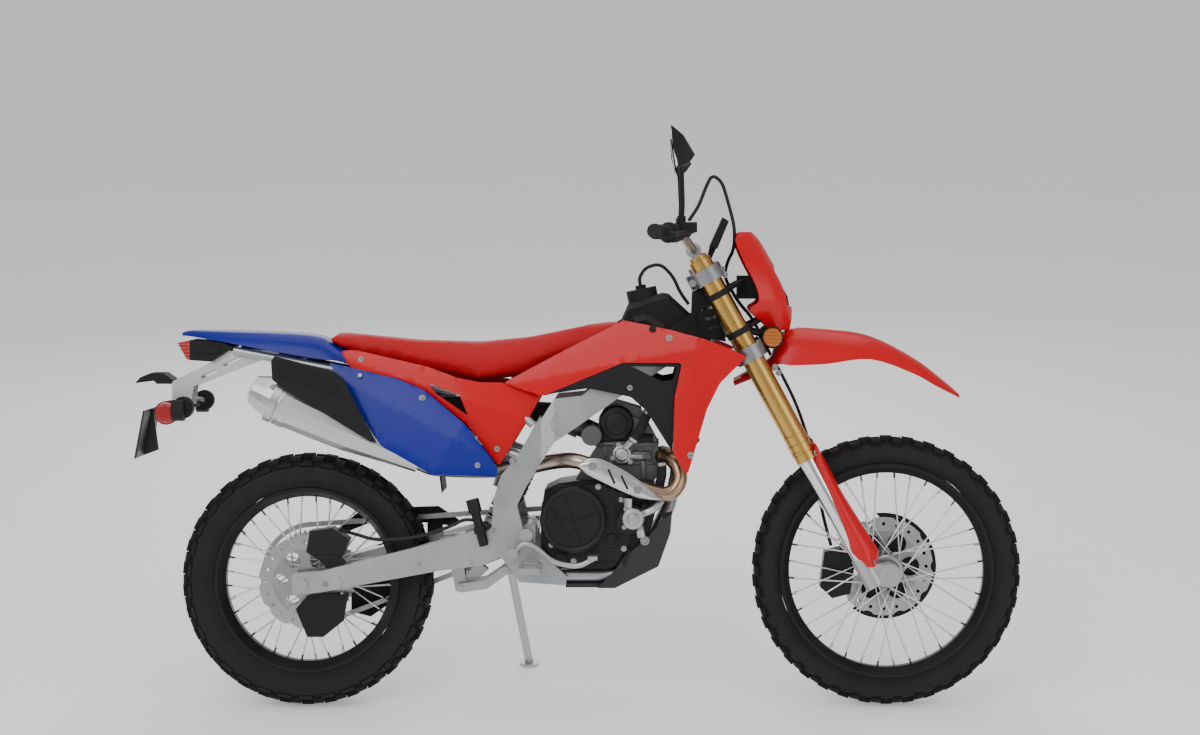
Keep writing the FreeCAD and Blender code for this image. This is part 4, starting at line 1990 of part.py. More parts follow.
def headlight_mask():
    """The red mask round the headlight, with its swept-back sides, and the headlight in it."""
    back = STEER_FOOT.x - S.mask_behind
    sections = []
    for up, front, wide, drop in MASK_SHARES:
        crown = Vector(back + S.mask_deep * front, 0, S.mask_low + S.mask_height * up)
        sections.append(arch(crown, Vector(1, 0, 0), S.mask_half * wide, S.mask_deep * drop, S.mask_gauge))
    shell = loft(sections)
    window = Part.makeBox(S.mask_behind, S.lamp_window_half * 2, S.lamp_window_tall,
                          Vector(back, -S.lamp_window_half, S.lamp_window_low))
    feature("headlight_mask", shell.cut(window))
    tilt_face = fork_outline(LAMP_FACE_SHARES, S.lamp_face_along, S.lamp_face_ahead, S.lamp_face_long,
                             S.lamp_face_deep)
    lamp = side_prism(tilt_face, -S.lamp_lamp_half, S.lamp_lamp_half)
    carrier = side_prism(fork_outline(LAMP_CARRIER_SHARES, S.lamp_carrier_along, S.lamp_carrier_ahead,
                         S.lamp_carrier_long, S.lamp_carrier_deep), -S.lamp_carrier_half,
                         S.lamp_carrier_half)
    stays = []
    for side in (-1, 1):
        for along in (1090, 1200):
            start = on_fork(along, S.fork_offset, side * S.leg_spread)
            ring = disc_between(start, start + ALONG * 16, S.outer_tube_radius + 4)
            bore = disc_between(start - ALONG, start + ALONG * 17, S.outer_tube_radius + S.fit_gap)
            arm_end = start + AHEAD * (S.outer_tube_radius + 44) - SIDE * (side * 40)
            arm = disc_between(start + AHEAD * (S.outer_tube_radius + 2) + ALONG * 8, arm_end + ALONG * 8,
                               S.lamp_arm_radius)
            stays.append(fuse([ring.cut(bore), arm]))
    bar_low = on_fork(S.head_along, S.fork_offset + S.outer_tube_radius + 44, 0)
    cross = [disc_between(bar_low + ALONG * rise - SIDE * 62, bar_low + ALONG * rise + SIDE * 62,
                          S.lamp_cross_radius) for rise in (0, 110)]
    tube_end = S.outer_tube_start + S.outer_tube_long
    legs = [disc_between(on_fork(S.outer_tube_start, S.fork_offset, side * S.leg_spread),
                         on_fork(tube_end, S.fork_offset, side * S.leg_spread),
                         S.outer_tube_radius + S.fit_gap) for side in (-1, 1)]
    feature("headlight", relieved(fuse([lamp, carrier] + stays + cross).cut(legs), "headlight_mask"))


def front_signals():
    """The front turn signals, clamped to the fork between the triple clamps."""
    centre = on_fork(S.signal_centre_along, S.signal_centre_ahead)
    arm = disc_between(on_fork(S.signal_arm_along, S.signal_arm_ahead + S.signal_arm_deep * 0.9991,
                       S.signal_arm_side * -0.7), on_fork(S.signal_arm_along + S.signal_arm_long,
                       S.signal_arm_ahead + S.signal_arm_deep * 0.001, -S.signal_arm_side),
                       S.signal_arm_radius)
    leg = disc_between(on_fork(S.outer_tube_start, S.fork_offset, -S.leg_spread),
                       on_fork(S.outer_tube_start + S.outer_tube_long, S.fork_offset, -S.leg_spread),
                       S.outer_tube_radius + S.fit_gap)
    right = relieved(fuse([signal(centre, S.lamp_window_half, S.front_signal_side), arm.cut(leg)]),
                     "headlight")
    return feature("front_signals", both_sides(right))


GRIP_INNER = on_fork(S.grip_inner_along, S.grip_inner_ahead, S.grip_long - S.bar_half - S.face_gap)
GRIP_OUTER = on_fork(S.grip_outer_along, S.grip_outer_ahead, -S.bar_half)
BAR_CENTRE = on_fork(S.bar_centre_along, S.bar_centre_ahead)
BAR_BEND_SHARES = (0.3873, 0.7218)


def bar_solid(radius):
    """The bent handlebar, or the space it takes, at a radius."""
    inner = S.grip_long - S.bar_half
    half = [BAR_CENTRE + SIDE * -58, on_fork(S.bar_half_along, S.bar_half_ahead + S.bar_half_deep * 0.9963,
            inner * BAR_BEND_SHARES[0]), on_fork(S.bar_half_along + S.bar_half_long * 1.0011,
            S.bar_half_ahead + S.bar_half_deep * 0.0048, inner * BAR_BEND_SHARES[1]), GRIP_INNER, GRIP_OUTER]
    return tube(half[::-1] + [Vector(spot.x, -spot.y, spot.z) for spot in half], radius)


def handlebar():
    """The bent bar in its risers, with grips and their flanges."""
    risers = []
    for side in (-1, 1):
        top = BAR_CENTRE + SIDE * (side * S.riser_side)
        along, ahead = fork_place(top)
        foot = on_fork(S.upper_clamp_along + S.clamp_tall, ahead, side * S.riser_side)
        risers.append(disc_between(foot, top, S.riser_radius))
        risers.append(side_disc(BAR_CENTRE, side * S.riser_side - S.grip_radius,
                                side * S.riser_side + S.grip_radius, S.bar_radius * 1.8))
    feature("handlebar", fuse([bar_solid(S.bar_radius)] + risers))
    way = (GRIP_OUTER - GRIP_INNER).normalize()
    start = GRIP_OUTER - way * (S.grip_long - 2)
    grip = disc_between(start, GRIP_OUTER + way * 3, S.grip_radius)
    flange = disc_between(start, start + way * 5, S.flange_disc_radius)
    end = disc_between(GRIP_OUTER - way * 2, GRIP_OUTER + way * 6, S.grip_radius + 2)
    right = fuse([grip, flange, end]).cut(bar_solid(S.bar_radius + S.fit_gap))
    feature("grips", both_sides(right))


METER_SHARES = ((0.2273, 0), (0.0007, 0.1952), (0.7493, 1), (1, 0.8764))
METER_FOOT_SHARES = ((0, 0), (0.0017, 0.2057), (0.7333, 1), (1, 0.7499))


def bar_controls():
    """Switch clusters, levers, the brake master cylinder and the meter."""
    inner = GRIP_INNER
    way = (GRIP_OUTER - inner).normalize()
    cluster = disc_between(inner - way * 42, inner - way * 2, S.bar_cluster_radius)
    perch = disc_between(inner - way * 68, inner - way * 42, S.bar_perch_radius)
    forward = Vector(-way.y, way.x, 0).normalize()
    pivot = inner - way * 57 + forward * 34
    arm = disc_between(inner - way * 57, pivot, S.bar_arm_radius)
    tip_spot = pivot + way * 166 + forward * 8 - UP * 8
    lever = tube([pivot + way * 2, pivot + way * 40 + forward * 6, pivot + way * 92 - UP * 4, tip_spot],
                 S.bar_lever_radius)
    tip = Part.makeSphere(8.5, tip_spot)
    block = Part.makeBox(40, 60, 26, Vector(pivot.x - 22, pivot.y - 14, pivot.z + 2))
    saddle = Part.makeBox(S.saddle_long, S.saddle_wide, S.saddle_wide,
                          Vector(inner.x + S.saddle_ahead, inner.y + S.saddle_inward, pivot.z))
    right = fuse([cluster, perch, arm, lever, tip, block, saddle]).cut(bar_solid(S.bar_radius + S.fit_gap))
    meter = side_prism(fork_outline(METER_SHARES, S.meter_along, S.meter_ahead, S.meter_long,
                                    S.meter_deep), -S.bar_meter_half, S.bar_meter_half)
    foot = side_prism(fork_outline(METER_FOOT_SHARES, S.meter_foot_along, S.meter_foot_ahead,
                                   S.meter_foot_long, S.meter_foot_deep), -S.bar_foot_half, S.bar_foot_half)
    feature("bar_controls", Part.makeCompound([right, mirror(right), fuse([meter, foot])]))


def mirrors():
    """The mirrors on their stems."""
    foot_side = GRIP_INNER.y + S.mirror_foot_inward
    side = GRIP_INNER.y - S.mirror_out
    at_stem = fork_within(S.mirror_stem_along, S.mirror_stem_ahead, S.mirror_stem_long, S.mirror_stem_deep)
    stem = [Vector(GRIP_INNER.x + S.mirror_foot_ahead, foot_side, GRIP_INNER.z + S.saddle_wide + S.fit_gap),
            at_stem(0, -0.0006, foot_side - 4), at_stem(0.5001, 0.4994,
                                                        foot_side - 26), at_stem(1, 1, side)]
    post = tube(stem, S.mirror_post_radius)
    foot = disc_between(stem[0], stem[0] + UP * 16, S.mirror_foot_radius)
    half = S.mirror_half
    at_rear = fork_within(S.mirror_rear_along, S.mirror_rear_ahead, S.mirror_rear_long, S.mirror_rear_deep)
    rear = [at_rear(0.0339, 0.0531, side - half * 0.8), at_rear(0, -0.0006, side + half * 0.7),
            at_rear(0.4558, 0.5993, side + half), at_rear(0.9479, 1.0011, side + half * 0.7), at_rear(1,
            0.9559, side - half * 0.8), at_rear(0.5106, 0.3022, side - half * 1.1)]
    front = on_fork(S.mirror_front_along, S.mirror_front_ahead, side)
    middle = [spot + (front - spot) * 0.35 + Vector(10, 0, 0) for spot in rear]
    housing = hull_faces(rear, middle, front)
    right = fuse([post, foot, housing])
    return feature("mirrors", relieved(both_sides(right), "bar_controls"))


def hull_faces(base, middle, tip):
    """A closed faceted shell: a base ring, a ring ahead of it and a point in front."""
    faces = []
    centre = base[0]
    for point in base[1:]:
        centre = centre + point
    centre = centre * (1 / len(base))
    count = len(base)
    for index in range(count):
        follow = (index + 1) % count
        a, b, c, d = base[index], base[follow], middle[follow], middle[index]
        faces.append(Part.Face(polygon([a, b, c])))
        faces.append(Part.Face(polygon([a, c, d])))
        faces.append(Part.Face(polygon([d, c, tip])))
        faces.append(Part.Face(polygon([b, a, centre])))
    solid = Part.Solid(Part.Shell(faces))
    if solid.Volume < 0:
        solid.reverse()
    return solid


CALIPER_SHARES = ((0.4184, 0), (1, 0.4654), (0.9057, 0.8367), (0.5611, 1), (0, 0.5275), (0.0959, 0.1181))
CALIPER_SLOT_SHARES = ((0.2606, 0), (0.5494, 0.0665), (0.874, 0.2688), (1, 0.4382), (0.9178, 1),
                       (0, 0.4905))
CALIPER_EAR_SHARES = ((0.7148, 0), (0.9991, 0.9825), (0.5312, 1), (0.0008, 0.3299))
GUARD_NOTCH_SHARES = ((0, 0), (0.0505, 0.5282), (0.4651, 0.7717), (0.54, 1), (0.8411, 0.9036), (1, 0.5871))


def front_brake():
    """The front caliper, its perforated disc guard and the hose from the master cylinder."""
    side = S.front_disc_place
    block = side_prism(fork_outline(CALIPER_SHARES, S.caliper_along, S.caliper_ahead, S.caliper_long,
                                    S.caliper_deep), side - 26, side + 24)
    slot = side_prism(fork_outline(CALIPER_SLOT_SHARES, S.caliper_slot_along, S.caliper_slot_ahead,
                                   S.caliper_slot_long, S.caliper_slot_deep),
                      side - S.disc_thick / 2 - S.moving_gap, side + S.disc_thick / 2 + S.moving_gap)
    along, ahead = fork_place(FRONT_AXLE)
    ear = side_prism(fork_outline(CALIPER_EAR_SHARES, S.caliper_ear_along, S.caliper_ear_ahead,
                                  S.caliper_ear_long, S.caliper_ear_deep), side + 12,
                     S.leg_spread - S.inner_tube_radius - 3 - S.fit_gap)
    caliper = fuse([block.cut(slot), ear])
    feature("front_caliper", relieved(caliper, "fork_lugs"))
    guard_place = side + S.disc_thick / 2 + S.moving_gap
    guard = side_disc(FRONT_AXLE, guard_place, guard_place + 4, S.front_disc_radius + 10)
    notch = side_prism(fork_outline(GUARD_NOTCH_SHARES, S.guard_notch_along, S.guard_notch_ahead,
                                    S.guard_notch_long, S.guard_notch_deep), 0, S.caliper_notch_outer)
    middle = side_disc(FRONT_AXLE, 0, S.caliper_middle_outer, S.caliper_middle_radius)
    inner_ring = side_disc(FRONT_AXLE, guard_place, guard_place + 4, S.caliper_inner_ring_radius)
    ear_plate = side_prism([(FRONT_AXLE.x + 20, FRONT_AXLE.z - 8), (FRONT_AXLE.x + 20, FRONT_AXLE.z + 8),
                            (FRONT_AXLE.x + 44, FRONT_AXLE.z + 8), (FRONT_AXLE.x + 44, FRONT_AXLE.z - 8)],
                           guard_place, guard_place + 4)
    hub_hole = side_disc(FRONT_AXLE, 0, S.caliper_hub_hole_outer, 16 + S.fit_gap)
    feature("front_disc_guard", fuse([guard.cut([notch, middle]), inner_ring, ear_plate]).cut(hub_hole))
    route = [Vector(992, -196, 1262), Vector(1016, -188, 1296), Vector(1036, -172, 1348), Vector(1052,
             -148, 1380), Vector(1078, -122, 1362), Vector(1096, -104, 1304), Vector(1112, -78, 1246),
             Vector(1112, -34, 1190), Vector(1096, 18, 1156), Vector(1088, 50, 1116), Vector(1126, 53,
             1048), Vector(1160, 100, 1012), Vector(1190, 113, 958), Vector(1214, 112, 906), Vector(1238,
             110, 866), Vector(1284, 134, 776), Vector(1318, 143, 676), Vector(1338, 139, 570),
             Vector(1354, 112, 478), Vector(1366, 84, 428), Vector(1372, side + 16, 404)]
    feature("front_brake_hose", tube(route, S.hose_radius))


def build_front():
    """Everything that turns with the steering."""
    triple_clamps()
    fork_legs()
    fork_guards()
    front_fender()
    headlight_mask()
    front_signals()
    handlebar()
    bar_controls()
    mirrors()
    front_brake()


def build_rear():
    """Everything carried by the frame."""
    main_frame()
    side_covers()
    subframe()
    swingarm()
    rear_axle()
    rear_shock()
    shock_linkage()
    crankcase()
    engine_covers()
    cylinder()
    airbox()
    exhaust()
    seat()
    rear_fender()
    wheel_liner()
    fuel_tank()
    fuel_cap()
    radiators()
    skid_plate()
    tail_lamp()
    plate_carrier()
    rear_signals()
    footpegs()
    pedals()
    rear_brake()
    swingarm_guards()
    side_stand()


def park():
    """Lean the motorcycle onto its stand, with the origin at the middle of its footprint."""
    lean = Placement(Vector(0, 0, 0), Rotation(Vector(1, 0, 0), -S.lean_angle))
    bounds = FreeCAD.BoundBox()
    for thing, at in nodes.values():
        thing.Placement = lean.multiply(at)
        bounds.add(thing.Shape.optimalBoundingBox(False))
    middle = Vector((bounds.XMin + bounds.XMax) / 2, (bounds.YMin + bounds.YMax) / 2, bounds.ZMin)
    for thing, at in nodes.values():
        thing.Placement = Placement(-middle, Rotation()).multiply(lean).multiply(at)
    doc.recompute()
    return middle, bounds


def check_document():
    """Stop if any object failed to recompute, or any sub-part is not a sound solid."""
    for thing in doc.Objects:
        if "Invalid" in thing.State or "Error" in thing.State:
            raise RuntimeError(f"{thing.Name} did not recompute: {thing.State}")
    faults = [label for label, (thing, at) in nodes.items()
              if thing.Shape.isNull() or not thing.Shape.isValid() or thing.Shape.Volume <= 0]
    if faults:
        raise RuntimeError(f"not valid solids: {', '.join(faults)}")


def write_parts():
    """Write every sub-part to its own file."""
    os.makedirs("parts", exist_ok=True)
    for label, (thing, at) in nodes.items():
        thing.Shape.exportStep(f"parts/{label}.step")


wheels()
build_rear()
build_front()
doc.recompute()
shift, bounds = park()
check_document()
write_parts()
print("sub-parts:", len(nodes))
print("origin on the upright, leaned motorcycle:", [round(value, 3) for value in shift])
print("size:", round(bounds.XLength, 1), round(bounds.YLength, 1), round(bounds.ZLength, 1))
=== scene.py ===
"""Dual sport motorcycle: finishes and fine parts built around the fixed frame.

Pieces are modelled on the upright motorcycle, in metres, with X forward, Y to
the rider's left and Z up from the floor, and then leaned onto the side stand.
"""

from __future__ import annotations

import logging
import math
from dataclasses import dataclass, field
from enum import Enum
from functools import partial
from typing import Callable, Iterator, Sequence

import bmesh
import bpy
from bmesh.types import BMEdge, BMFace, BMesh
from mathutils import Matrix, Vector
from mathutils.bvhtree import BVHTree


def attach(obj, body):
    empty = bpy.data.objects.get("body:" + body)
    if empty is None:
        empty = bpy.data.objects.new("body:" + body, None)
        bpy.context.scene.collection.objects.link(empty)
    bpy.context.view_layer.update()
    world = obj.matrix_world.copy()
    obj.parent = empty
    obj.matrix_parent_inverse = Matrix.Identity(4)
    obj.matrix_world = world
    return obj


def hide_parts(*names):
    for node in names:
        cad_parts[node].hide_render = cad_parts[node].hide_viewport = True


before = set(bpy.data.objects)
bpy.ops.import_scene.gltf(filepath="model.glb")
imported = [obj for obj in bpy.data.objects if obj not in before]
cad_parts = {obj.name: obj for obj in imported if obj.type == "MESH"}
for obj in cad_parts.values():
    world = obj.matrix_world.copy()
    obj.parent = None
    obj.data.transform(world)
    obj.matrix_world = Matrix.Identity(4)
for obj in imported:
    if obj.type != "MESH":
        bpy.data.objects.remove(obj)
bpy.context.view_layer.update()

LOG = logging.getLogger("motorcycle")
MM = 0.001
MERGE = 1e-6
FORWARD = Vector((1, 0, 0))
ACROSS = Vector((0, 1, 0))
RIGHTWARD = Vector((0, -1, 0))
UPWARD = Vector((0, 0, 1))
LEAN = math.radians(10.0)
SHIFT = Vector((0.706, 0.219285, -0.002431))
PARK = Matrix.Translation(-SHIFT) @ Matrix.Rotation(-LEAN, 4, "X")
REAR_AXLE = Vector((0.0, 0.0, 0.328))
FRONT_AXLE = Vector((1.510, 0.0, 0.351))
RAKE = math.radians(28.5)
ALONG = Vector((-math.sin(RAKE), 0.0, math.cos(RAKE)))
AHEAD = Vector((math.cos(RAKE), 0.0, math.sin(RAKE)))
STEER_FOOT = Vector((1.626, 0.0, 0.0))


def on_fork(along: float, ahead: float, side: float = 0.0) -> Vector:
    """A point given along the steering axis, ahead of it and to the left, in metres."""
    return STEER_FOOT + ALONG * along + AHEAD * ahead + ACROSS * side


# Shader graph helpers


class Value:
    """A number socket that Python's arithmetic operators can work on."""

    def __init__(self, graph: "Graph", socket: bpy.types.NodeSocket) -> None:
        """Keep the graph that owns the socket."""
        self.graph = graph
        self.socket = socket

    def math(self, operation: str, *others: "Value | float", swap: bool = False) -> "Value":
        """Add one Math node.

        Args:
            operation: the Math node's operation.
            others: further operands.
            swap: put this value second.

        Returns:
            The node's result.
        """
        operands = [self, *others]
        if swap:
            operands.reverse()
        node = self.graph.node("ShaderNodeMath", {"operation": operation}, dict(enumerate(operands)))
        return Value(self.graph, node.outputs[0])

    def __add__(self, other: "Value | float") -> "Value":
        """Sum."""
        return self.math("ADD", other)

    def __sub__(self, other: "Value | float") -> "Value":
        """Difference."""
        return self.math("SUBTRACT", other)

    def __rsub__(self, other: float) -> "Value":
        """Difference, reflected."""
        return self.math("SUBTRACT", other, swap=True)

    def __mul__(self, other: "Value | float") -> "Value":
        """Product."""
        return self.math("MULTIPLY", other)

    def __gt__(self, other: "Value | float") -> "Value":
        """One where this value is larger, else zero."""
        return self.math("GREATER_THAN", other)

    def __lt__(self, other: "Value | float") -> "Value":
        """One where this value is smaller, else zero."""
        return self.math("LESS_THAN", other)

    def __pow__(self, other: float) -> "Value":
        """Power."""
        return self.math("POWER", other)

    def ramp(self, low: float, high: float) -> "Value":
        """Zero below low, one above high, straight between."""
        settings = {"clamp": True}
        links = {"Value": self, "From Min": low, "From Max": high}
        node = self.graph.node("ShaderNodeMapRange", settings, links)
        return Value(self.graph, node.outputs[0])


class Graph:
    """One material's node tree, built by code."""

    def __init__(self, name: str) -> None:
        """Start an empty material with its shader and output."""
        self.material = bpy.data.materials.new(name)
        self.material.use_nodes = True
        self.tree = self.material.node_tree
        self.tree.nodes.clear()
        self.shader = self.tree.nodes.new("ShaderNodeBsdfPrincipled")
        output = self.tree.nodes.new("ShaderNodeOutputMaterial")
        self.tree.links.new(self.shader.outputs[0], output.inputs[0])
        self.coordinates = self.node("ShaderNodeTexCoord").outputs["Object"]

    def node(self, kind: str, settings: dict | None = None, links: dict | None = None) -> bpy.types.Node:
        """Add a node.

        Args:
            kind: the node's type name.
            settings: attributes, set first.
            links: socket name or index to a value, socket or Value.

        Returns:
            The new node.
        """
        node = self.tree.nodes.new(kind)
        for key, value in (settings or {}).items():
            setattr(node, key, value)
        for key, value in (links or {}).items():
            self.feed(node.inputs[key], value)
        return node

    def feed(self, socket: bpy.types.NodeSocket, value: object) -> None:
        """Link a socket, or set its constant."""
        if isinstance(value, Value):
            value = value.socket
        if isinstance(value, bpy.types.NodeSocket):
            self.tree.links.new(value, socket)
        else:
            socket.default_value = value

    def set(self, **inputs: object) -> None:
        """Feed the main shader's sockets, written with underscores for spaces."""
        for key, value in inputs.items():
            self.feed(self.shader.inputs[key.replace("_", " ")], value)

    def upright(self, centre: Vector = Vector(),
                scale: tuple[float, float, float] = (1.0, 1.0, 1.0)) -> bpy.types.NodeSocket:
        """Object coordinates turned upright, about a point of the upright motorcycle."""
        turned = self.node("ShaderNodeMapping", {"vector_type": "POINT"}, {
            "Vector": self.coordinates,
            "Rotation": (LEAN, 0.0, 0.0),
            "Location": Matrix.Rotation(LEAN, 4, "X") @ SHIFT - centre,
        })
        if scale == (1.0, 1.0, 1.0):
            return turned.outputs[0]
        links = {"Vector": turned.outputs[0], "Scale": scale}
        return self.node("ShaderNodeMapping", {"vector_type": "POINT"}, links).outputs[0]

    def axes(self, vector: bpy.types.NodeSocket) -> tuple[Value, Value, Value]:
        """A vector's three numbers."""
        parts = self.node("ShaderNodeSeparateXYZ", None, {0: vector})
        return tuple(Value(self, socket) for socket in parts.outputs)

    def from_axle(self, centre: Vector) -> Value:
        """Distance from a wheel's axis."""
        x, _, z = self.axes(self.upright(centre))
        return (x * x + z * z) ** 0.5

    def noise(self, scale: float, detail: float = 3.0, vector: object = None, rough: float = 0.5) -> Value:
        """Cloudy noise from zero to one."""
        links = {"Vector": vector or self.coordinates, "Scale": scale, "Detail": detail, "Roughness": rough}
        return Value(self, self.node("ShaderNodeTexNoise", None, links).outputs["Fac"])

    def cells(self, scale: float) -> Value:
        """Distance to the nearest cell centre."""
        links = {"Vector": self.coordinates, "Scale": scale}
        return Value(self, self.node("ShaderNodeTexVoronoi", None, links).outputs["Distance"])

    def mix(self, factor: Value | float, first: object, second: object) -> bpy.types.NodeSocket:
        """Mix two colours."""
        links = {0: factor, 6: colour(first), 7: colour(second)}
        return self.node("ShaderNodeMix", {"data_type": "RGBA"}, links).outputs[2]

    def bump(self, height: Value, strength: float, distance: float = 0.001) -> None:
        """Relief on the surface, laid over any relief already there."""
        links = {"Height": height, "Strength": strength, "Distance": distance}
        old = self.shader.inputs["Normal"]
        if old.is_linked:
            links["Normal"] = old.links[0].from_socket
        self.feed(old, self.node("ShaderNodeBump", None, links).outputs[0])


def colour(value: object) -> object:
    """A colour with its alpha, or the socket as it is."""
    if isinstance(value, tuple) and len(value) == 3:
        return (*value, 1.0)
    return value


def shade(value: tuple[float, float, float], factor: float) -> tuple[float, float, float]:
    """A colour made lighter or darker."""
    return tuple(min(1.0, part * factor) for part in value)


# Finishes


class Paint:
    """A procedural material that keeps its colours and sizes as fields."""

    name: str

    def build(self) -> bpy.types.Material:
        """Make the material."""
        graph = Graph(self.name)
        self.paint(graph)
        return graph.material

    def paint(self, graph: Graph) -> None:
        """Feed the shader; every finish has its own way."""
        raise NotImplementedError


@dataclass(frozen=True)
class GlossPlastic(Paint):
    """Injection-moulded bodywork, pigmented through, with hairline scuffs."""

    name: str
    tint: tuple[float, float, float]
    gloss: float = 0.26
    coat: float = 0.35

    def paint(self, graph: Graph) -> None:
        """Feed the shader."""
        cloud = graph.noise(5.0)
        scuff = graph.noise(90.0, 6.0, graph.upright(scale=(0.25, 1.0, 3.0)), 0.7).ramp(0.6, 0.78)
        graph.set(Base_Color=graph.mix(cloud, shade(self.tint, 0.9), shade(self.tint, 1.06)))
        graph.set(Roughness=cloud * 0.06 + scuff * 0.14 + self.gloss, Specular_IOR_Level=0.3)
        graph.set(Coat_Weight=self.coat, Coat_Roughness=0.12)
        graph.bump(graph.noise(260.0, 2.0), 0.06)


@dataclass(frozen=True)
class MattPlastic(Paint):
    """Grained black or grey plastic."""

    name: str
    tint: tuple[float, float, float] = (0.010, 0.010, 0.011)
    rough: float = 0.52
    grain: float = 0.35

    def paint(self, graph: Graph) -> None:
        """Feed the shader."""
        cloud = graph.noise(9.0)
        graph.set(Base_Color=graph.mix(cloud, shade(self.tint, 0.82), shade(self.tint, 1.3)))
        graph.set(Roughness=cloud * 0.16 + self.rough, Specular_IOR_Level=0.25)
        graph.bump(graph.cells(900.0), self.grain, 0.0004)


@dataclass(frozen=True)
class CastMetal(Paint):
    """Cast or painted alloy with a fine sandy grain."""

    name: str
    tint: tuple[float, float, float]
    rough: float = 0.42
    metal: float = 1.0
    grain: float = 0.3

    def paint(self, graph: Graph) -> None:
        """Feed the shader."""
        cloud = graph.noise(14.0, 4.0)
        graph.set(Base_Color=graph.mix(cloud, shade(self.tint, 0.84), shade(self.tint, 1.1)))
        graph.set(Roughness=cloud * 0.2 + (self.rough - 0.08), Metallic=self.metal)
        graph.bump(graph.noise(650.0, 2.0), self.grain, 0.0006)


@dataclass(frozen=True)
class BrushedMetal(Paint):
    """Metal with fine lines along the motorcycle."""

    name: str
    tint: tuple[float, float, float]
    rough: float = 0.3
    lines: tuple[float, float, float] = (0.03, 1.0, 1.0)

    def paint(self, graph: Graph) -> None:
        """Feed the shader."""
        streak = graph.noise(700.0, 3.0, graph.upright(scale=self.lines))
        cloud = graph.noise(11.0)
        graph.set(Base_Color=graph.mix(cloud, shade(self.tint, 0.88), shade(self.tint, 1.05)))
        graph.set(Roughness=streak * 0.22 + cloud * 0.1 + (self.rough - 0.12), Metallic=1.0)
        graph.bump(streak, 0.12, 0.0004)


@dataclass(frozen=True)
class HeatedPipe(Paint):
    """Stainless header, straw and brown near the head and paler to the rear."""

    name: str = "heated_pipe"

    def paint(self, graph: Graph) -> None:
        """Feed the shader."""
        x = graph.axes(graph.upright())[0]
        heat = (x + graph.noise(6.0) * 0.12).ramp(0.62, 1.02)
        warm = graph.mix(heat, (0.50, 0.44, 0.37), (0.40, 0.27, 0.17))
        graph.set(Base_Color=graph.mix(graph.noise(18.0).ramp(0.45, 0.75), warm, (0.33, 0.26, 0.24)))
        graph.set(Roughness=graph.noise(30.0) * 0.2 + 0.2, Metallic=1.0)
        graph.bump(graph.noise(500.0), 0.1, 0.0004)


@dataclass(frozen=True)
class Chrome(Paint):
    """Hard-chromed tube with faint rubbed lines."""

    name: str = "hard_chrome"

    def paint(self, graph: Graph) -> None:
        """Feed the shader."""
        cloud = graph.noise(20.0)
        graph.set(Base_Color=graph.mix(cloud, (0.72, 0.73, 0.75), (0.86, 0.87, 0.88)))
        graph.set(Roughness=cloud * 0.08 + 0.05, Metallic=1.0)


@dataclass(frozen=True)
class Rubber(Paint):
    """Soft black rubber."""

    name: str
    tint: tuple[float, float, float] = (0.018, 0.018, 0.019)
    rough: float = 0.66

    def paint(self, graph: Graph) -> None:
        """Feed the shader."""
        cloud = graph.noise(22.0, 5.0)
        graph.set(Base_Color=graph.mix(cloud, shade(self.tint, 0.8), shade(self.tint, 1.6)))
        graph.set(Roughness=cloud * 0.2 + self.rough, Specular_IOR_Level=0.25)
        graph.bump(graph.noise(420.0), 0.2, 0.0004)


@dataclass(frozen=True)
class TyreRubber(Paint):
    """Tyre rubber with moulded rings on the side walls and dust between the lugs."""

    name: str
    centre: Vector
    tread_radius: float

    def paint(self, graph: Graph) -> None:
        """Feed the shader."""
        radius = graph.from_axle(self.centre)
        tread = self.tread_radius
        dust = (1.0 - radius.ramp(tread - 0.014, tread - 0.008)) * graph.noise(26.0)
        cloud = graph.noise(16.0, 5.0)
        base = graph.mix(cloud, (0.008, 0.008, 0.009), (0.018, 0.018, 0.019))
        graph.set(Base_Color=graph.mix(dust * 0.35, base, (0.035, 0.033, 0.031)))
        graph.set(Roughness=cloud * 0.15 + 0.62, Specular_IOR_Level=0.2)
        rings = (radius * 1400.0).math("SINE") * (1.0 - radius.ramp(tread - 0.05, tread - 0.03))
        graph.bump(rings, 0.25, 0.0006)
        graph.bump(graph.noise(380.0), 0.12, 0.0004)


@dataclass(frozen=True)
class WheelMetal(Paint):
    """Black anodised rim, bright spokes and a machined hub, told apart by radius."""

    name: str
    centre: Vector
    rim_inner: float
    hub_outer: float

    def paint(self, graph: Graph) -> None:
        """Feed the shader."""
        radius = graph.from_axle(self.centre)
        rim = radius > self.rim_inner
        hub = radius < self.hub_outer
        cloud = graph.noise(12.0)
        bright = graph.mix(hub, (0.74, 0.75, 0.76), (0.55, 0.56, 0.58))
        black = graph.mix(cloud, (0.012, 0.012, 0.013), (0.022, 0.022, 0.024))
        graph.set(Base_Color=graph.mix(rim, bright, black))
        graph.set(Roughness=rim * 0.1 + cloud * 0.12 + 0.18, Metallic=1.0 - rim * 0.45)
        graph.bump((radius * 2600.0).math("SINE"), 0.04, 0.0003)


@dataclass(frozen=True)
class DiscSteel(Paint):
    """Ground steel with rings swept by the pads."""

    name: str
    centre: Vector
    band: float

    def paint(self, graph: Graph) -> None:
        """Feed the shader."""
        radius = graph.from_axle(self.centre)
        swept = radius > self.band
        steps = graph.node("ShaderNodeCombineXYZ", None, {0: radius * 900.0})
        ring = graph.noise(1.0, 4.0, steps.outputs[0])
        ground = graph.mix(ring, (0.46, 0.46, 0.47), (0.66, 0.66, 0.67))
        graph.set(Base_Color=graph.mix(swept, (0.42, 0.41, 0.40), ground))
        graph.set(Roughness=ring * 0.2 + 0.22 - swept * 0.06, Metallic=1.0)
        graph.bump(ring, 0.12, 0.0003)


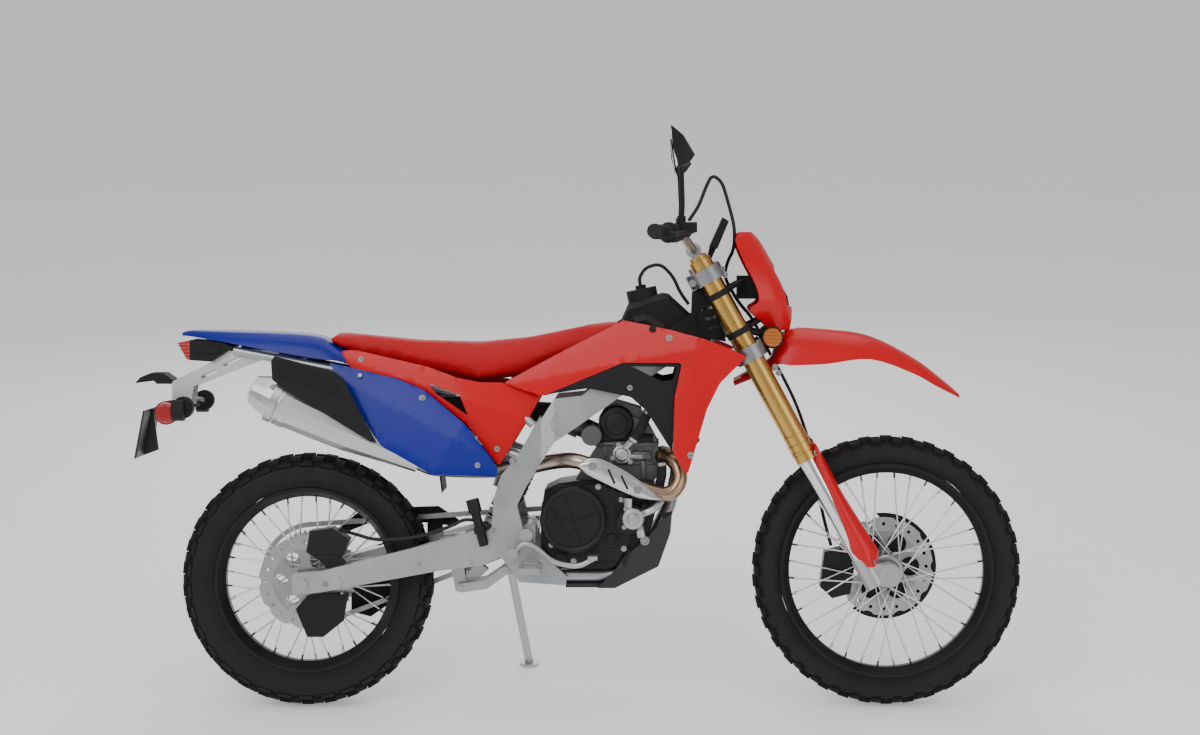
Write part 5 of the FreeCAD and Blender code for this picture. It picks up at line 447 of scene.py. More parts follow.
@dataclass(frozen=True)
class FinnedCore(Paint):
    """Radiator core with close bright fins and painted shade in the dark gaps between them."""

    name: str = "radiator_core"

    def paint(self, graph: Graph) -> None:
        """Feed the shader."""
        z = graph.axes(graph.upright())[2]
        fins = (z * 2400.0).math("SINE")
        # The dark stripes are painted shade in the gaps between the fins.
        graph.set(Base_Color=graph.mix(fins.ramp(-0.4, 0.4), (0.05, 0.05, 0.052), (0.32, 0.33, 0.34)))
        graph.set(Roughness=fins * 0.05 + 0.42, Metallic=0.8)
        graph.bump(fins, 0.5, 0.001)


@dataclass(frozen=True)
class Lens(Paint):
    """Coloured lamp plastic with moulded prisms."""

    name: str
    tint: tuple[float, float, float]
    prisms: float = 700.0

    def paint(self, graph: Graph) -> None:
        """Feed the shader."""
        _, y, z = graph.axes(graph.upright())
        cross = (y * self.prisms).math("SINE") * (z * self.prisms).math("SINE")
        deep, bright = shade(self.tint, 0.75), shade(self.tint, 1.1)
        graph.set(Base_Color=graph.mix(cross.ramp(-1.0, 1.0), deep, bright))
        graph.set(Roughness=graph.noise(50.0) * 0.05 + 0.1, Coat_Weight=0.8)
        graph.set(Transmission_Weight=0.35, IOR=1.49)
        graph.bump(cross, 0.35, 0.0008)


@dataclass(frozen=True)
class MirrorGlass(Paint):
    """Silvered glass."""

    name: str = "mirror_glass"

    def paint(self, graph: Graph) -> None:
        """Feed the shader."""
        smear = graph.noise(30.0, 4.0).ramp(0.55, 0.8)
        graph.set(Base_Color=graph.mix(smear, (0.83, 0.85, 0.87), (0.74, 0.76, 0.78)))
        graph.set(Roughness=smear * 0.05 + 0.02, Metallic=1.0)


@dataclass(frozen=True)
class CarrierMetal(Paint):
    """Bright carrier arms with a black board at the rear."""

    name: str = "plate_carrier_metal"

    def paint(self, graph: Graph) -> None:
        """Feed the shader."""
        x, _, z = graph.axes(graph.upright())
        board = (x < -0.352) * (z < 0.792)
        cloud = graph.noise(14.0, 4.0)
        bright = graph.mix(cloud, (0.55, 0.56, 0.57), (0.7, 0.71, 0.72))
        graph.set(Base_Color=graph.mix(board, bright, (0.012, 0.012, 0.013)))
        graph.set(Roughness=cloud * 0.15 + 0.34, Metallic=1.0 - board)
        graph.bump(graph.noise(600.0, 2.0), 0.15, 0.0005)


@dataclass(frozen=True)
class SeatVinyl(Paint):
    """Matt seat cover with a pebbled grain."""

    name: str
    tint: tuple[float, float, float]

    def paint(self, graph: Graph) -> None:
        """Feed the shader."""
        cloud = graph.noise(7.0, 4.0)
        pebble = graph.cells(620.0)
        worn = cloud * 0.6 + pebble * 0.25
        graph.set(Base_Color=graph.mix(worn, shade(self.tint, 0.82), shade(self.tint, 1.12)))
        graph.set(Roughness=cloud * 0.12 + 0.52, Specular_IOR_Level=0.25)
        graph.bump(pebble, 0.4, 0.0006)
        graph.bump(graph.noise(24.0, 3.0), 0.25, 0.002)


class Finish(Enum):
    """The finishes that the motorcycle's parts are given."""

    RED = GlossPlastic("red_plastic", (0.62, 0.0, 0.006), 0.28, 0.12)
    BLUE = GlossPlastic("blue_plastic", (0.0, 0.006, 0.26), 0.3, 0.1)
    BLACK = MattPlastic("black_plastic")
    GREY = MattPlastic("grey_plastic", (0.032, 0.032, 0.034), 0.5, 0.25)
    SATIN_BLACK = CastMetal("satin_black_alloy", (0.012, 0.012, 0.013), 0.4, 0.4)
    FRAME = CastMetal("silver_frame_paint", (0.44, 0.45, 0.47), 0.36, 0.85, 0.12)
    ALLOY = CastMetal("bare_alloy", (0.50, 0.51, 0.52), 0.4)
    CLAMP = CastMetal("grey_clamp_alloy", (0.33, 0.34, 0.35), 0.38, 1.0, 0.12)
    GOLD = BrushedMetal("gold_fork_tube", (0.62, 0.37, 0.10), 0.26, (1.0, 1.0, 0.03))
    STEEL = BrushedMetal("brushed_steel", (0.56, 0.56, 0.57))
    POLISHED = BrushedMetal("polished_shield", (0.66, 0.66, 0.66), 0.22)
    MUFFLER = BrushedMetal("muffler_skin", (0.62, 0.62, 0.62), 0.3)
    HEADER = HeatedPipe()
    CHROME = Chrome()
    RUBBER = Rubber("soft_rubber")
    REAR_TYRE = TyreRubber("rear_tyre_rubber", REAR_AXLE, 0.328)
    FRONT_TYRE = TyreRubber("front_tyre_rubber", FRONT_AXLE, 0.351)
    REAR_WHEEL = WheelMetal("rear_wheel_metal", REAR_AXLE, 0.2, 0.075)
    FRONT_WHEEL = WheelMetal("front_wheel_metal", FRONT_AXLE, 0.24, 0.075)
    REAR_DISC = DiscSteel("rear_disc_steel", REAR_AXLE, 0.084)
    FRONT_DISC = DiscSteel("front_disc_steel", FRONT_AXLE, 0.094)
    CORE = FinnedCore()
    RED_LENS = Lens("red_lens", (0.62, 0.01, 0.012))
    AMBER_LENS = Lens("amber_lens", (0.75, 0.19, 0.003))
    MIRROR = MirrorGlass()
    SEAT = SeatVinyl("seat_vinyl", (0.5, 0.002, 0.008))
    BOLT = BrushedMetal("bolt_steel", (0.45, 0.45, 0.46), 0.34)
    CARRIER = CarrierMetal()
    DARK_CAST = CastMetal("dark_cast_alloy", (0.13, 0.13, 0.135), 0.45, 0.9)

    def material(self) -> bpy.types.Material:
        """The finish's material, made once."""
        if self.name not in MADE_MATERIALS:
            MADE_MATERIALS[self.name] = self.value.build()
        return MADE_MATERIALS[self.name]


# The frame brings materials of its own, some with the same names, so the finishes' are kept here
MADE_MATERIALS: dict[str, bpy.types.Material] = {}

NODES_BY_FINISH: dict[Finish, str] = {
    Finish.REAR_TYRE: "rear_tyre",
    Finish.FRONT_TYRE: "front_tyre",
    Finish.REAR_WHEEL: "rear_wheel_rim",
    Finish.FRONT_WHEEL: "front_wheel_rim",
    Finish.REAR_DISC: "rear_disc",
    Finish.FRONT_DISC: "front_disc",
    Finish.STEEL: "rear_sprocket chain rear_axle footpegs front_axle",
    Finish.FRAME: "main_frame subframe",
    Finish.ALLOY: "swingarm rear_shock shock_linkage pedals side_stand fork_lugs handlebar",
    Finish.SATIN_BLACK: "crankcase engine_covers rear_brake front_caliper",
    Finish.DARK_CAST: "cylinder",
    Finish.BLACK: (
        "airbox muffler_guard shroud_inserts wheel_liner fuel_tank fuel_cap lamp_housings "
        "rear_signals swingarm_guards headlight front_signals bar_controls mirrors "
        "front_disc_guard"),
    Finish.HEADER: "exhaust_pipe",
    Finish.POLISHED: "pipe_shield",
    Finish.MUFFLER: "muffler",
    Finish.SEAT: "seat",
    Finish.BLUE: "number_panels rear_fender",
    Finish.RED: "side_cowls tank_shrouds fork_guards front_fender headlight_mask",
    Finish.CORE: "radiators",
    Finish.GREY: "skid_plate",
    Finish.RED_LENS: "rear_lenses",
    Finish.CARRIER: "plate_carrier",
    Finish.CLAMP: "triple_clamps",
    Finish.GOLD: "fork_outer_tubes",
    Finish.CHROME: "fork_inner_tubes",
    Finish.RUBBER: "grips front_brake_hose",
}
NODE_FINISHES = {node: finish for finish, nodes in NODES_BY_FINISH.items() for node in nodes.split()}


# Modelling helpers


def joined(whole: BMesh, *parts: BMesh) -> BMesh:
    """Move parts' geometry into one bmesh."""
    for part in parts:
        mesh = bpy.data.meshes.new("scrap")
        part.to_mesh(mesh)
        part.free()
        whole.from_mesh(mesh)
        bpy.data.meshes.remove(mesh)
    return whole


def mirrored(bm: BMesh) -> BMesh:
    """A copy on the motorcycle's other side."""
    other = bm.copy()
    bmesh.ops.scale(other, vec=(1, -1, 1), verts=other.verts)
    bmesh.ops.reverse_faces(other, faces=other.faces)
    return other


def shown(name: str, data: bpy.types.ID) -> bpy.types.Object:
    """A new object of the scene."""
    thing = bpy.data.objects.new(name, data)
    bpy.context.scene.collection.objects.link(thing)
    return thing


def placed(bm: BMesh, spot: Vector, rest: Vector, way: Vector) -> None:
    """Turn a part from its own direction to another and move it to its place."""
    turn = rest.rotation_difference(way).to_matrix().to_4x4()
    bmesh.ops.transform(bm, matrix=Matrix.Translation(spot) @ turn, verts=bm.verts)


def softened(bm: BMesh, edges: list[BMEdge], width: float) -> None:
    """Round edges off."""
    bmesh.ops.bevel(bm, geom=edges, offset=width, offset_type="OFFSET", affect="EDGES", segments=2,
                    profile=0.5, material=-1)


def right(x: float, out: float, z: float) -> Vector:
    """A point on the motorcycle's right, given in millimetres."""
    return Vector((x, -out, z)) * MM


@dataclass
class Piece:
    """One piece of the visual model, drawn upright and then leaned."""

    name: str
    body: str
    finish: Finish
    bm: BMesh = field(default_factory=bmesh.new)
    smooth: float = 35.0

    def add(self, *parts: BMesh) -> None:
        """Join parts to the piece."""
        joined(self.bm, *parts)

    def both(self, *parts: BMesh) -> None:
        """Join parts to the piece, each with its copy on the motorcycle's other side."""
        for part in parts:
            self.add(mirrored(part), part)

    def finished(self, *replaced: str, outward: bool = True) -> bpy.types.Object:
        """Make the object.

        Args:
            replaced: the CAD nodes that the piece stands for.
            outward: work out again which way the faces point.

        Returns:
            The object, at the origin, riding on its body.
        """
        if outward:
            bmesh.ops.recalc_face_normals(self.bm, faces=self.bm.faces)
        mesh = bpy.data.meshes.new(self.name)
        self.bm.to_mesh(mesh)
        self.bm.free()
        mesh.transform(PARK)
        mesh.shade_smooth()
        mesh.set_sharp_from_angle(angle=math.radians(self.smooth))
        mesh.materials.append(self.finish.material())
        thing = shown(self.name, mesh)
        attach(thing, self.body)
        if replaced:
            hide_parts(*replaced)
        LOG.info("%s: %d faces", self.name, len(mesh.polygons))
        return thing


def turned(profile: Sequence[tuple[float, float]], steps: int, centre: Vector,
           axis: Vector = ACROSS) -> BMesh:
    """Spin a closed profile about an axis.

    Args:
        profile: radius and place along the axis, in order.
        steps: how many steps make the full turn.
        centre: a point on the axis.
        axis: the axis' direction.

    Returns:
        The closed ring.
    """
    bm = bmesh.new()
    verts = [bm.verts.new((radius, place, 0.0)) for radius, place in profile]
    edges = [bm.edges.new(pair) for pair in sides(verts)]
    bmesh.ops.spin(bm, geom=verts + edges, cent=(0, 0, 0), axis=ACROSS, dvec=(0, 0, 0), angle=math.tau,
                   steps=steps, use_merge=True)
    bmesh.ops.remove_doubles(bm, verts=bm.verts, dist=MERGE)
    placed(bm, centre, ACROSS, axis)
    bmesh.ops.recalc_face_normals(bm, faces=bm.faces)
    return bm


def rod(first: Vector, second: Vector, radius: float, segments: int = 20, tip: float | None = None,
        bevel: float = 0.0) -> BMesh:
    """A round or many-sided rod between two points.

    Args:
        first: centre of the first end.
        second: centre of the second end.
        radius: radius at the first end.
        segments: number of sides.
        tip: radius at the second end, if different.
        bevel: width of the rounding at both ends.

    Returns:
        The closed rod.
    """
    bm = bmesh.new()
    way = second - first
    bmesh.ops.create_cone(bm, cap_ends=True, segments=segments, radius1=radius,
                          radius2=radius if tip is None else tip, depth=way.length)
    if bevel:
        caps = [edge for edge in bm.edges if abs(edge.verts[0].co.z - edge.verts[1].co.z) < MERGE]
        softened(bm, caps, bevel)
    placed(bm, (first + second) / 2, UPWARD, way)
    return bm


def block(centre: Vector, size: Sequence[float], turn: Matrix | None = None, bevel: float = 0.0,
          taper: float = 1.0) -> BMesh:
    """A box with rounded edges.

    Args:
        centre: middle of the box.
        size: lengths along its own axes.
        turn: rotation of the box.
        bevel: width of the rounding.
        taper: size of the top as a share of the bottom.

    Returns:
        The closed box.
    """
    bm = bmesh.new()
    bmesh.ops.create_cube(bm, size=1.0)
    top = [vert for vert in bm.verts if vert.co.z > 0]
    bmesh.ops.scale(bm, vec=(taper, taper, 1.0), verts=top)
    bmesh.ops.scale(bm, vec=tuple(size), verts=bm.verts)
    if bevel:
        softened(bm, bm.edges[:], bevel)
    place = Matrix.Translation(centre) @ (turn.to_4x4() if turn else Matrix.Identity(4))
    bmesh.ops.transform(bm, matrix=place, verts=bm.verts)
    return bm


def bolt(spot: Vector, way: Vector, radius: float, tall: float, socket: bool = True) -> BMesh:
    """A bolt head with a washer, and a hexagon socket or a hexagon head.

    Args:
        spot: centre of the washer's seat.
        way: direction out of the surface.
        radius: radius of the head.
        tall: height of the head.
        socket: sunken hexagon rather than a hexagon head.

    Returns:
        The closed head and washer.
    """
    way = way.normalized()
    bm = rod(spot - way * 0.001, spot + way * 0.0012, radius * 1.45, 20)
    head = rod(spot, spot + way * tall, radius, 18 if socket else 6, radius * 0.94)
    if socket:
        caps = [face for face in head.faces if face.normal.dot(way) > 0.9 and len(face.verts) > 4]
        bmesh.ops.inset_region(head, faces=caps, thickness=radius * 0.42, depth=0.0)
        sunk = list({vert for face in caps for vert in face.verts})
        bmesh.ops.translate(head, vec=-way * tall * 0.6, verts=sunk)
    return joined(bm, head)


def pipe(points: Sequence[Vector], radius: float, sides: int = 12, cuts: int = 6) -> BMesh:
    """A smooth round tube along a few points.

    Args:
        points: control points of its middle line.
        radius: the tube's radius.
        sides: number of sides.
        cuts: steps between points.

    Returns:
        The closed tube.
    """
    data = bpy.data.curves.new("route", "CURVE")
    data.dimensions = "3D"
    spline = data.splines.new("NURBS")
    spline.points.add(len(points) - 1)
    for point, place in zip(spline.points, points):
        point.co = (*place, 1.0)
    spline.order_u = 3
    spline.use_endpoint_u = True
    data.resolution_u = cuts
    data.bevel_depth = radius
    data.bevel_resolution = max(1, sides // 4 - 1)
    data.use_fill_caps = True
    thing = bpy.data.objects.new("route", data)
    mesh = bpy.data.meshes.new_from_object(thing)
    bm = bmesh.new()
    bm.from_mesh(mesh)
    bmesh.ops.remove_doubles(bm, verts=bm.verts, dist=MERGE)
    bpy.data.objects.remove(thing)
    bpy.data.curves.remove(data)
    bpy.data.meshes.remove(mesh)
    return bm


def ringed(make: Callable[[], BMesh], count: int, centre: Vector,
           start: float) -> BMesh:
    """Copies of a small part turned round a wheel's axis.

    Args:
        make: returns the part as it is at the top of the wheel.
        count: number of copies.
        centre: a point on the wheel's axis.
        start: angle of the first copy.

    Returns:
        All the copies.
    """
    whole = bmesh.new()
    for number in range(count):
        angle = start + math.tau * number / count
        part = make()
        spin = Matrix.Translation(centre) @ Matrix.Rotation(angle, 4, "Y")
        bmesh.ops.transform(part, matrix=spin, verts=part.verts)
        joined(whole, part)
    return whole


def sides(corners: Sequence) -> Iterator[tuple]:
    """Each corner of a closed outline with the next one."""
    return zip(corners, [*corners[1:], corners[0]])


def split(bm: BMesh, point: Sequence[float], normal: Sequence[float], near: float) -> None:
    """Cut a whole sheet where a plane crosses it.

    Args:
        bm: the sheet.
        point: a point of the plane.
        normal: the plane's direction.
        near: vertices this near to the plane count as on it.
    """
    bmesh.ops.bisect_plane(bm, geom=bm.verts[:] + bm.edges[:] + bm.faces[:], dist=near, plane_co=point,
                           plane_no=normal)


def skin(rows: Sequence[Sequence[Vector]]) -> BMesh:
    """An open sheet drawn through rows of points."""
    bm = bmesh.new()
    grid = [[bm.verts.new(point) for point in row] for row in rows]
    for low, high in zip(grid, grid[1:]):
        for corners in zip(low, low[1:], high[1:], high):
            bm.faces.new(corners)
    return bm


def faced(bm: BMesh, outer: Vector) -> BMesh:
    """Turn an open sheet's faces to the side that is seen."""
    bmesh.ops.recalc_face_normals(bm, faces=bm.faces)
    if sum(face.normal.dot(outer) for face in bm.faces) < 0:
        bmesh.ops.reverse_faces(bm, faces=bm.faces)
    return bm


def bulged(rows: Sequence[tuple[float, float, float, float]], out: float, bulge: float, power: float,
           steps: int) -> BMesh:
    """A sheet on the right side that swells between its two edges, in millimetres.

    Args:
        rows: x and z of one edge, then of the other, from end to end.
        out: how far out the edges lie.
        bulge: how much further out the middle lies.
        power: below one for a fuller middle.
        steps: faces from edge to edge.

    Returns:
        The open sheet, facing right.
    """
    points = []
    for x, z, far_x, far_z in eased(rows, 4):
        row = []
        for step in range(steps + 1):
            share = step / steps
            away = out + bulge * math.sin(math.pi * share) ** power
            row.append(right(x + (far_x - x) * share, away, z + (far_z - z) * share))
        points.append(row)
    return faced(skin(points), RIGHTWARD)


def rounded(corners: Sequence[Sequence[float]], radius: float, steps: int = 4) -> list[tuple[float, float]]:
    """Turn each corner of a flat outline into a short arc.

    Args:
        corners: points of the outline, in order.
        radius: how far from a corner its arc starts.
        steps: pieces in each arc.

    Returns:
        The outline's new points.
    """
    points = []
    count = len(corners)
    for index, corner in enumerate(corners):
        here, before = Vector(corner), Vector(corners[index - 1])
        after = Vector(corners[(index + 1) % count])
        back, ahead = before - here, after - here
        reach = min(radius, back.length * 0.45, ahead.length * 0.45)
        first, last = here + back.normalized() * reach, here + ahead.normalized() * reach
        for step in range(steps + 1):
            share = step / steps
            points.append(tuple(first.lerp(here, share).lerp(here.lerp(last, share), share)))
    return points


def within(point: Vector, corners: Sequence[Sequence[float]]) -> bool:
    """Whether a flat point lies inside an outline."""
    inside = False
    for first, last in sides(corners):
        if (first[1] > point[1]) != (last[1] > point[1]):
            cross = first[0] + (point[1] - first[1]) * (last[0] - first[0]) / (last[1] - first[1])
            inside ^= point[0] < cross
    return inside


def eased(stations: Sequence[Sequence[float]], steps: int) -> list[list[float]]:
    """Rows of numbers drawn smoothly through given rows.

    Args:
        stations: the rows to pass through.
        steps: new rows between each pair.

    Returns:
        The finer rows.
    """
    rows = []
    last = len(stations) - 1
    for index in range(last):
        a, b, c, d = (stations[min(max(index + shift, 0), last)] for shift in (-1, 0, 1, 2))
        for step in range(steps + (index == last - 1)):
            t = step / steps
            rows.append([0.5 * (2 * q + (r - p) * t + (2 * p - 5 * q + 4 * r - s) * t * t
                                + (3 * q - p - 3 * r + s) * t ** 3) for p, q, r, s in zip(a, b, c, d)])
    return rows


def thickened(bm: BMesh, thick: float, way: Vector | None = None) -> BMesh:
    """Give an open sheet a back and a rim.

    Args:
        bm: the sheet, its faces pointing outward.
        thick: distance from the sheet to its back.
        way: direction to the back, or against each point's normal when left out.

    Returns:
        The closed sheet.
    """
    bm.normal_update()
    rim = [edge.link_loops[0] for edge in bm.edges if edge.is_boundary]
    rim = [(loop.link_loop_next.vert, loop.vert) for loop in rim]
    moves = {vert: (way or -vert.normal) * thick for vert in bm.verts}
    made = bmesh.ops.duplicate(bm, geom=bm.verts[:] + bm.edges[:] + bm.faces[:])
    twin = made["vert_map"]
    for vert, move in moves.items():
        twin[vert].co = vert.co + move
    back = [part for part in made["geom"] if isinstance(part, BMFace)]
    bmesh.ops.reverse_faces(bm, faces=back)
    for first, last in rim:
        bm.faces.new((first, last, twin[last], twin[first]))
    return bm


def strip(first: Vector, second: Vector, wide: float, deep: float) -> BMesh:
    """A flat bar between two points of a side, in metres, its depth across the motorcycle."""
    way = second - first
    turn = FORWARD.rotation_difference(way).to_matrix()
    return block((first + second) / 2, (way.length, deep, wide), turn)


def ring(centre: Vector, inner: float, outer: float, out: float, steps: int = 48) -> BMesh:
    """A rounded ring standing out to the right of its centre, in metres."""
    edge = (outer - inner) * 0.25
    return turned([(inner, 0.001), (inner, -out + edge), (inner + edge, -out), (outer - edge, -out),
                   (outer, -out + edge), (outer, 0.001)], steps, centre)


def clamp(spot: Vector, way: Vector, radius: float) -> BMesh:
    """A worm-drive hose clamp."""
    way = way.normalized() * 0.004
    return rod(spot - way, spot + way, radius, 20)


# Sub-assemblies


@dataclass
class Tyre:
    """A knobby off-road tyre."""

    name: str
    body: str
    finish: Finish
    centre: Vector
    radius: float
    half: float
    bead: float
    bead_half: float
    lug: float = 0.0105
    count: int = 34

    def carcass(self) -> BMesh:
        """The round casing under the lugs, down to the beads."""
        top = self.radius - self.lug
        half, bead = self.half, self.bead
        crown = [(0.0, 0.0), (0.3, 0.0015), (0.58, 0.007), (0.8, 0.0165), (0.93, 0.03)]
        side = [(0.99, 0.28), (1.0, 0.45), (0.97, 0.62), (0.88, 0.8)]
        outer = [(top - drop, half * share) for share, drop in crown]
        outer += [(top - (top - bead) * share, half * wide) for wide, share in side]
        outer += [(bead + 0.007, self.bead_half), (bead, self.bead_half - 0.003)]
        inner = [(bead, self.bead_half - 0.012), (bead + 0.02, half * 0.8), (top - 0.03, half * 0.75),
                 (top - 0.016, 0.0)]
        other = [(radius, -place) for radius, place in outer[1:] + inner[:-1]]
        return turned(outer + inner + other[::-1], 96, self.centre)

    def knob(self, side: float, wide: float, long: float, drop: float, tilt: float) -> BMesh:
        """A lug at the top of the wheel.

        Args:
            side: place across the tread, as a share of half the width.
            wide: width across.
            long: length round the tyre.
            drop: how far its top is under the crown.
            tilt: lean towards the side wall, in radians.

        Returns:
            The lug.
        """
        tall = self.lug + 0.004
        turn = Matrix.Rotation(-math.copysign(tilt, side), 3, "X")
        spot = Vector((0.0, side * self.half, self.radius - drop)) - turn @ Vector((0, 0, tall / 2))
        return block(spot, (long, wide, tall), turn, 0.0012, 0.9)

    def build(self) -> None:
        """Make the tyre in place of its CAD node."""
        piece = Piece(self.name + "_knobby", self.body, self.finish, smooth=50.0)
        piece.add(self.carcass())
        step = math.tau / self.count
        wide = self.half * 0.34
        pitch = self.radius * step
        rows = [(0.2, wide, pitch * 0.56, 0.0006, 0.06, 0.0),
                (0.60, wide * 0.95, pitch * 0.5, 0.0068, 0.36, 0.5),
                (0.925, wide * 0.62, pitch * 0.62, 0.0235, 0.95, 0.0)]
        for place, across, long, drop, tilt, offset in rows:
            for side in (place, -place):
                maker = partial(self.knob, side, across, long, drop, tilt)
                piece.add(ringed(maker, self.count, self.centre, step * offset))
        piece.finished(self.name)


@dataclass
class DriveChain:
    """The roller chain round the two sprockets, link by link."""

    pitch: float = 0.015875
    place: float = 0.072
    rear_teeth: int = 52
    front_teeth: int = 14
    drive: Vector = field(default_factory=lambda: Vector((0.640, 0.0, 0.468)))

    def line(self) -> tuple[list[Vector], list[float]]:
        """Roller centres round the loop, in the chain's plane, with each link's angle."""
        big = self.pitch / (2 * math.sin(math.pi / self.rear_teeth))
        small = self.pitch / (2 * math.sin(math.pi / self.front_teeth))
        span = self.drive - REAR_AXLE
        length = span.length
        base = math.atan2(span.z, span.x)
        lean = math.acos((big - small) / length)
        straight = math.sqrt(length ** 2 - (big - small) ** 2)
        runs = [straight, small * 2 * lean, straight, big * (math.tau - 2 * lean)]
        total = sum(runs)
        count = round(total / self.pitch)
        spots = [self.at(total * number / count, runs, big, small, base, lean) for number in range(count)]
        return spots, [math.atan2(after.z - here.z, after.x - here.x) for here, after in sides(spots)]

    def at(self, run: float, runs: list[float], big: float, small: float, base: float,
           lean: float) -> Vector:
        """A point of the loop at a distance along it.

        Args:
            run: distance from the top of the rear sprocket.
            runs: lengths of the loop's four parts.
            big: the rear sprocket's pitch radius.
            small: the front one's.
            base: angle of the line between the sprockets.
            lean: angle from that line to where the chain leaves.

        Returns:
            The point, in the chain's plane.
        """
        def polar(centre: Vector, radius: float, angle: float) -> Vector:
            return centre + Vector((math.cos(angle), 0.0, math.sin(angle))) * radius
        if run < runs[0]:
            share = run / runs[0]
            return polar(REAR_AXLE, big, base + lean).lerp(polar(self.drive, small, base + lean), share)
        run -= runs[0]
        if run < runs[1]:
            return polar(self.drive, small, base + lean - run / small)
        run -= runs[1]
        if run < runs[2]:
            share = run / runs[2]
            return polar(self.drive, small, base - lean).lerp(polar(REAR_AXLE, big, base - lean), share)
        return polar(REAR_AXLE, big, base - lean - (run - runs[2]) / big)

    def build(self) -> None:
        """Make the chain in place of its CAD node."""
        piece = Piece("roller_chain", "chassis", Finish.BOLT)
        spots, angles = self.line()
        for number, (spot, angle) in enumerate(zip(spots, angles)):
            turn = Matrix.Rotation(-angle, 3, "Y")
            middle = spot + turn @ Vector((self.pitch / 2, 0, 0))
            gap = 0.0062 if number % 2 else 0.0044
            for side in (-1, 1):
                where = middle + ACROSS * (self.place + side * gap)
                piece.add(block(where, (self.pitch * 1.42, 0.0015, 0.0125), turn))
            for half, radius in ((0.0078, 0.0026), (0.0036, 0.0048)):
                first, last = (spot + ACROSS * (self.place + way * half) for way in (-1, 1))
                piece.add(rod(first, last, radius, 8))
        piece.finished("chain")


@dataclass
class ShockSpring:
    """The rear shock's wound spring over its CAD damper."""

    foot: Vector = field(default_factory=lambda: Vector((0.456, 0.0, 0.380)))
    head: Vector = field(default_factory=lambda: Vector((0.582, 0.0, 0.675)))
    start: float = 0.045
    length: float = 0.195
    turns: float = 7.0
    radius: float = 0.0335
    wire: float = 0.0052

    def build(self) -> None:
        """Wind the spring."""
        way = (self.head - self.foot).normalized()
        bm = bmesh.new()
        bmesh.ops.create_circle(bm, segments=10, radius=self.wire, cap_ends=False)
        bmesh.ops.rotate(bm, cent=(0, 0, 0), matrix=Matrix.Rotation(math.pi / 2, 3, "X"), verts=bm.verts)
        bmesh.ops.translate(bm, vec=(self.radius, 0, 0), verts=bm.verts)
        steps = int(self.turns * 20)
        bmesh.ops.spin(bm, geom=bm.verts[:] + bm.edges[:], cent=(0, 0, 0), axis=UPWARD, steps=steps,
                       angle=math.tau * self.turns, dvec=(0, 0, self.length / steps))
        bmesh.ops.holes_fill(bm, edges=[edge for edge in bm.edges if edge.is_boundary], sides=12)
        placed(bm, self.foot + way * self.start, UPWARD, way)
        Piece("shock_spring", "chassis", Finish.SATIN_BLACK, bm).finished()


@dataclass
class Seat:
    """The long padded seat with its seams."""

    voxel: float = 0.006
    pressure: float = 3.0
    cap: float = 0.007
    shrink: float = 0.004
    frames: int = 14

    def pad(self) -> bpy.types.Object:
        """The padded cushion, grown from the CAD seat by a cloth simulation."""
        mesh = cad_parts["seat"].data.copy()
        bm = bmesh.new()
        bm.from_mesh(mesh)
        bmesh.ops.remove_doubles(bm, verts=bm.verts, dist=1e-5)
        bmesh.ops.recalc_face_normals(bm, faces=bm.faces)
        for vert in bm.verts:
            vert.normal_update()
        for vert, move in [(vert, vert.normal * self.shrink) for vert in bm.verts]:
            vert.co -= move
        bm.to_mesh(mesh)
        bm.free()
        mesh.materials.clear()
        thing = shown("seat_cushion", mesh)
        self.applied(thing, "REMESH", mode="VOXEL", voxel_size=self.voxel)
        self.applied(thing, "SMOOTH", factor=0.5, iterations=8)
        self.inflate(thing)
        self.applied(thing, "SMOOTH", factor=0.4, iterations=3)
        return thing

    def applied(self, thing: bpy.types.Object, kind: str, **settings: object) -> None:
        """Run one modifier on an object and keep its result."""
        modifier = thing.modifiers.new(kind.lower(), kind)
        for key, value in settings.items():
            setattr(modifier, key, value)
        self.baked(thing)

    def baked(self, thing: bpy.types.Object) -> None:
        """Keep the shape that an object's modifiers give it now."""
        whole = thing.evaluated_get(bpy.context.evaluated_depsgraph_get())
        shaped = bpy.data.meshes.new_from_object(whole)
        thing.modifiers.clear()
        thing.data = shaped

    def inflate(self, thing: bpy.types.Object) -> None:
        """Swell the cushion under pressure, each point moving no further than the cap."""
        before = [vert.co.copy() for vert in thing.data.vertices]
        cloth = thing.modifiers.new("cloth", "CLOTH")
        cloth.settings.use_pressure = True
        cloth.settings.uniform_pressure_force = self.pressure
        cloth.settings.effector_weights.gravity = 0.0
        cloth.settings.quality = 5
        cloth.collision_settings.use_collision = False
        cloth.point_cache.frame_end = self.frames
        for number in range(self.frames):
            bpy.context.scene.frame_set(number + 1)
        self.baked(thing)
        bpy.context.scene.frame_set(1)
        for vert, old in zip(thing.data.vertices, before):
            move = vert.co - old
            if move.length > self.cap:
                vert.co = old + move * (self.cap / move.length)

    def build(self) -> None:
        """Make the seat in place of its CAD node."""
        thing = self.pad()
        thing.data.materials.append(Finish.SEAT.material())
        thing.data.shade_smooth()
        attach(thing, "chassis")
        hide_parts("seat")
        LOG.info("seat_cushion: %d faces", len(thing.data.polygons))


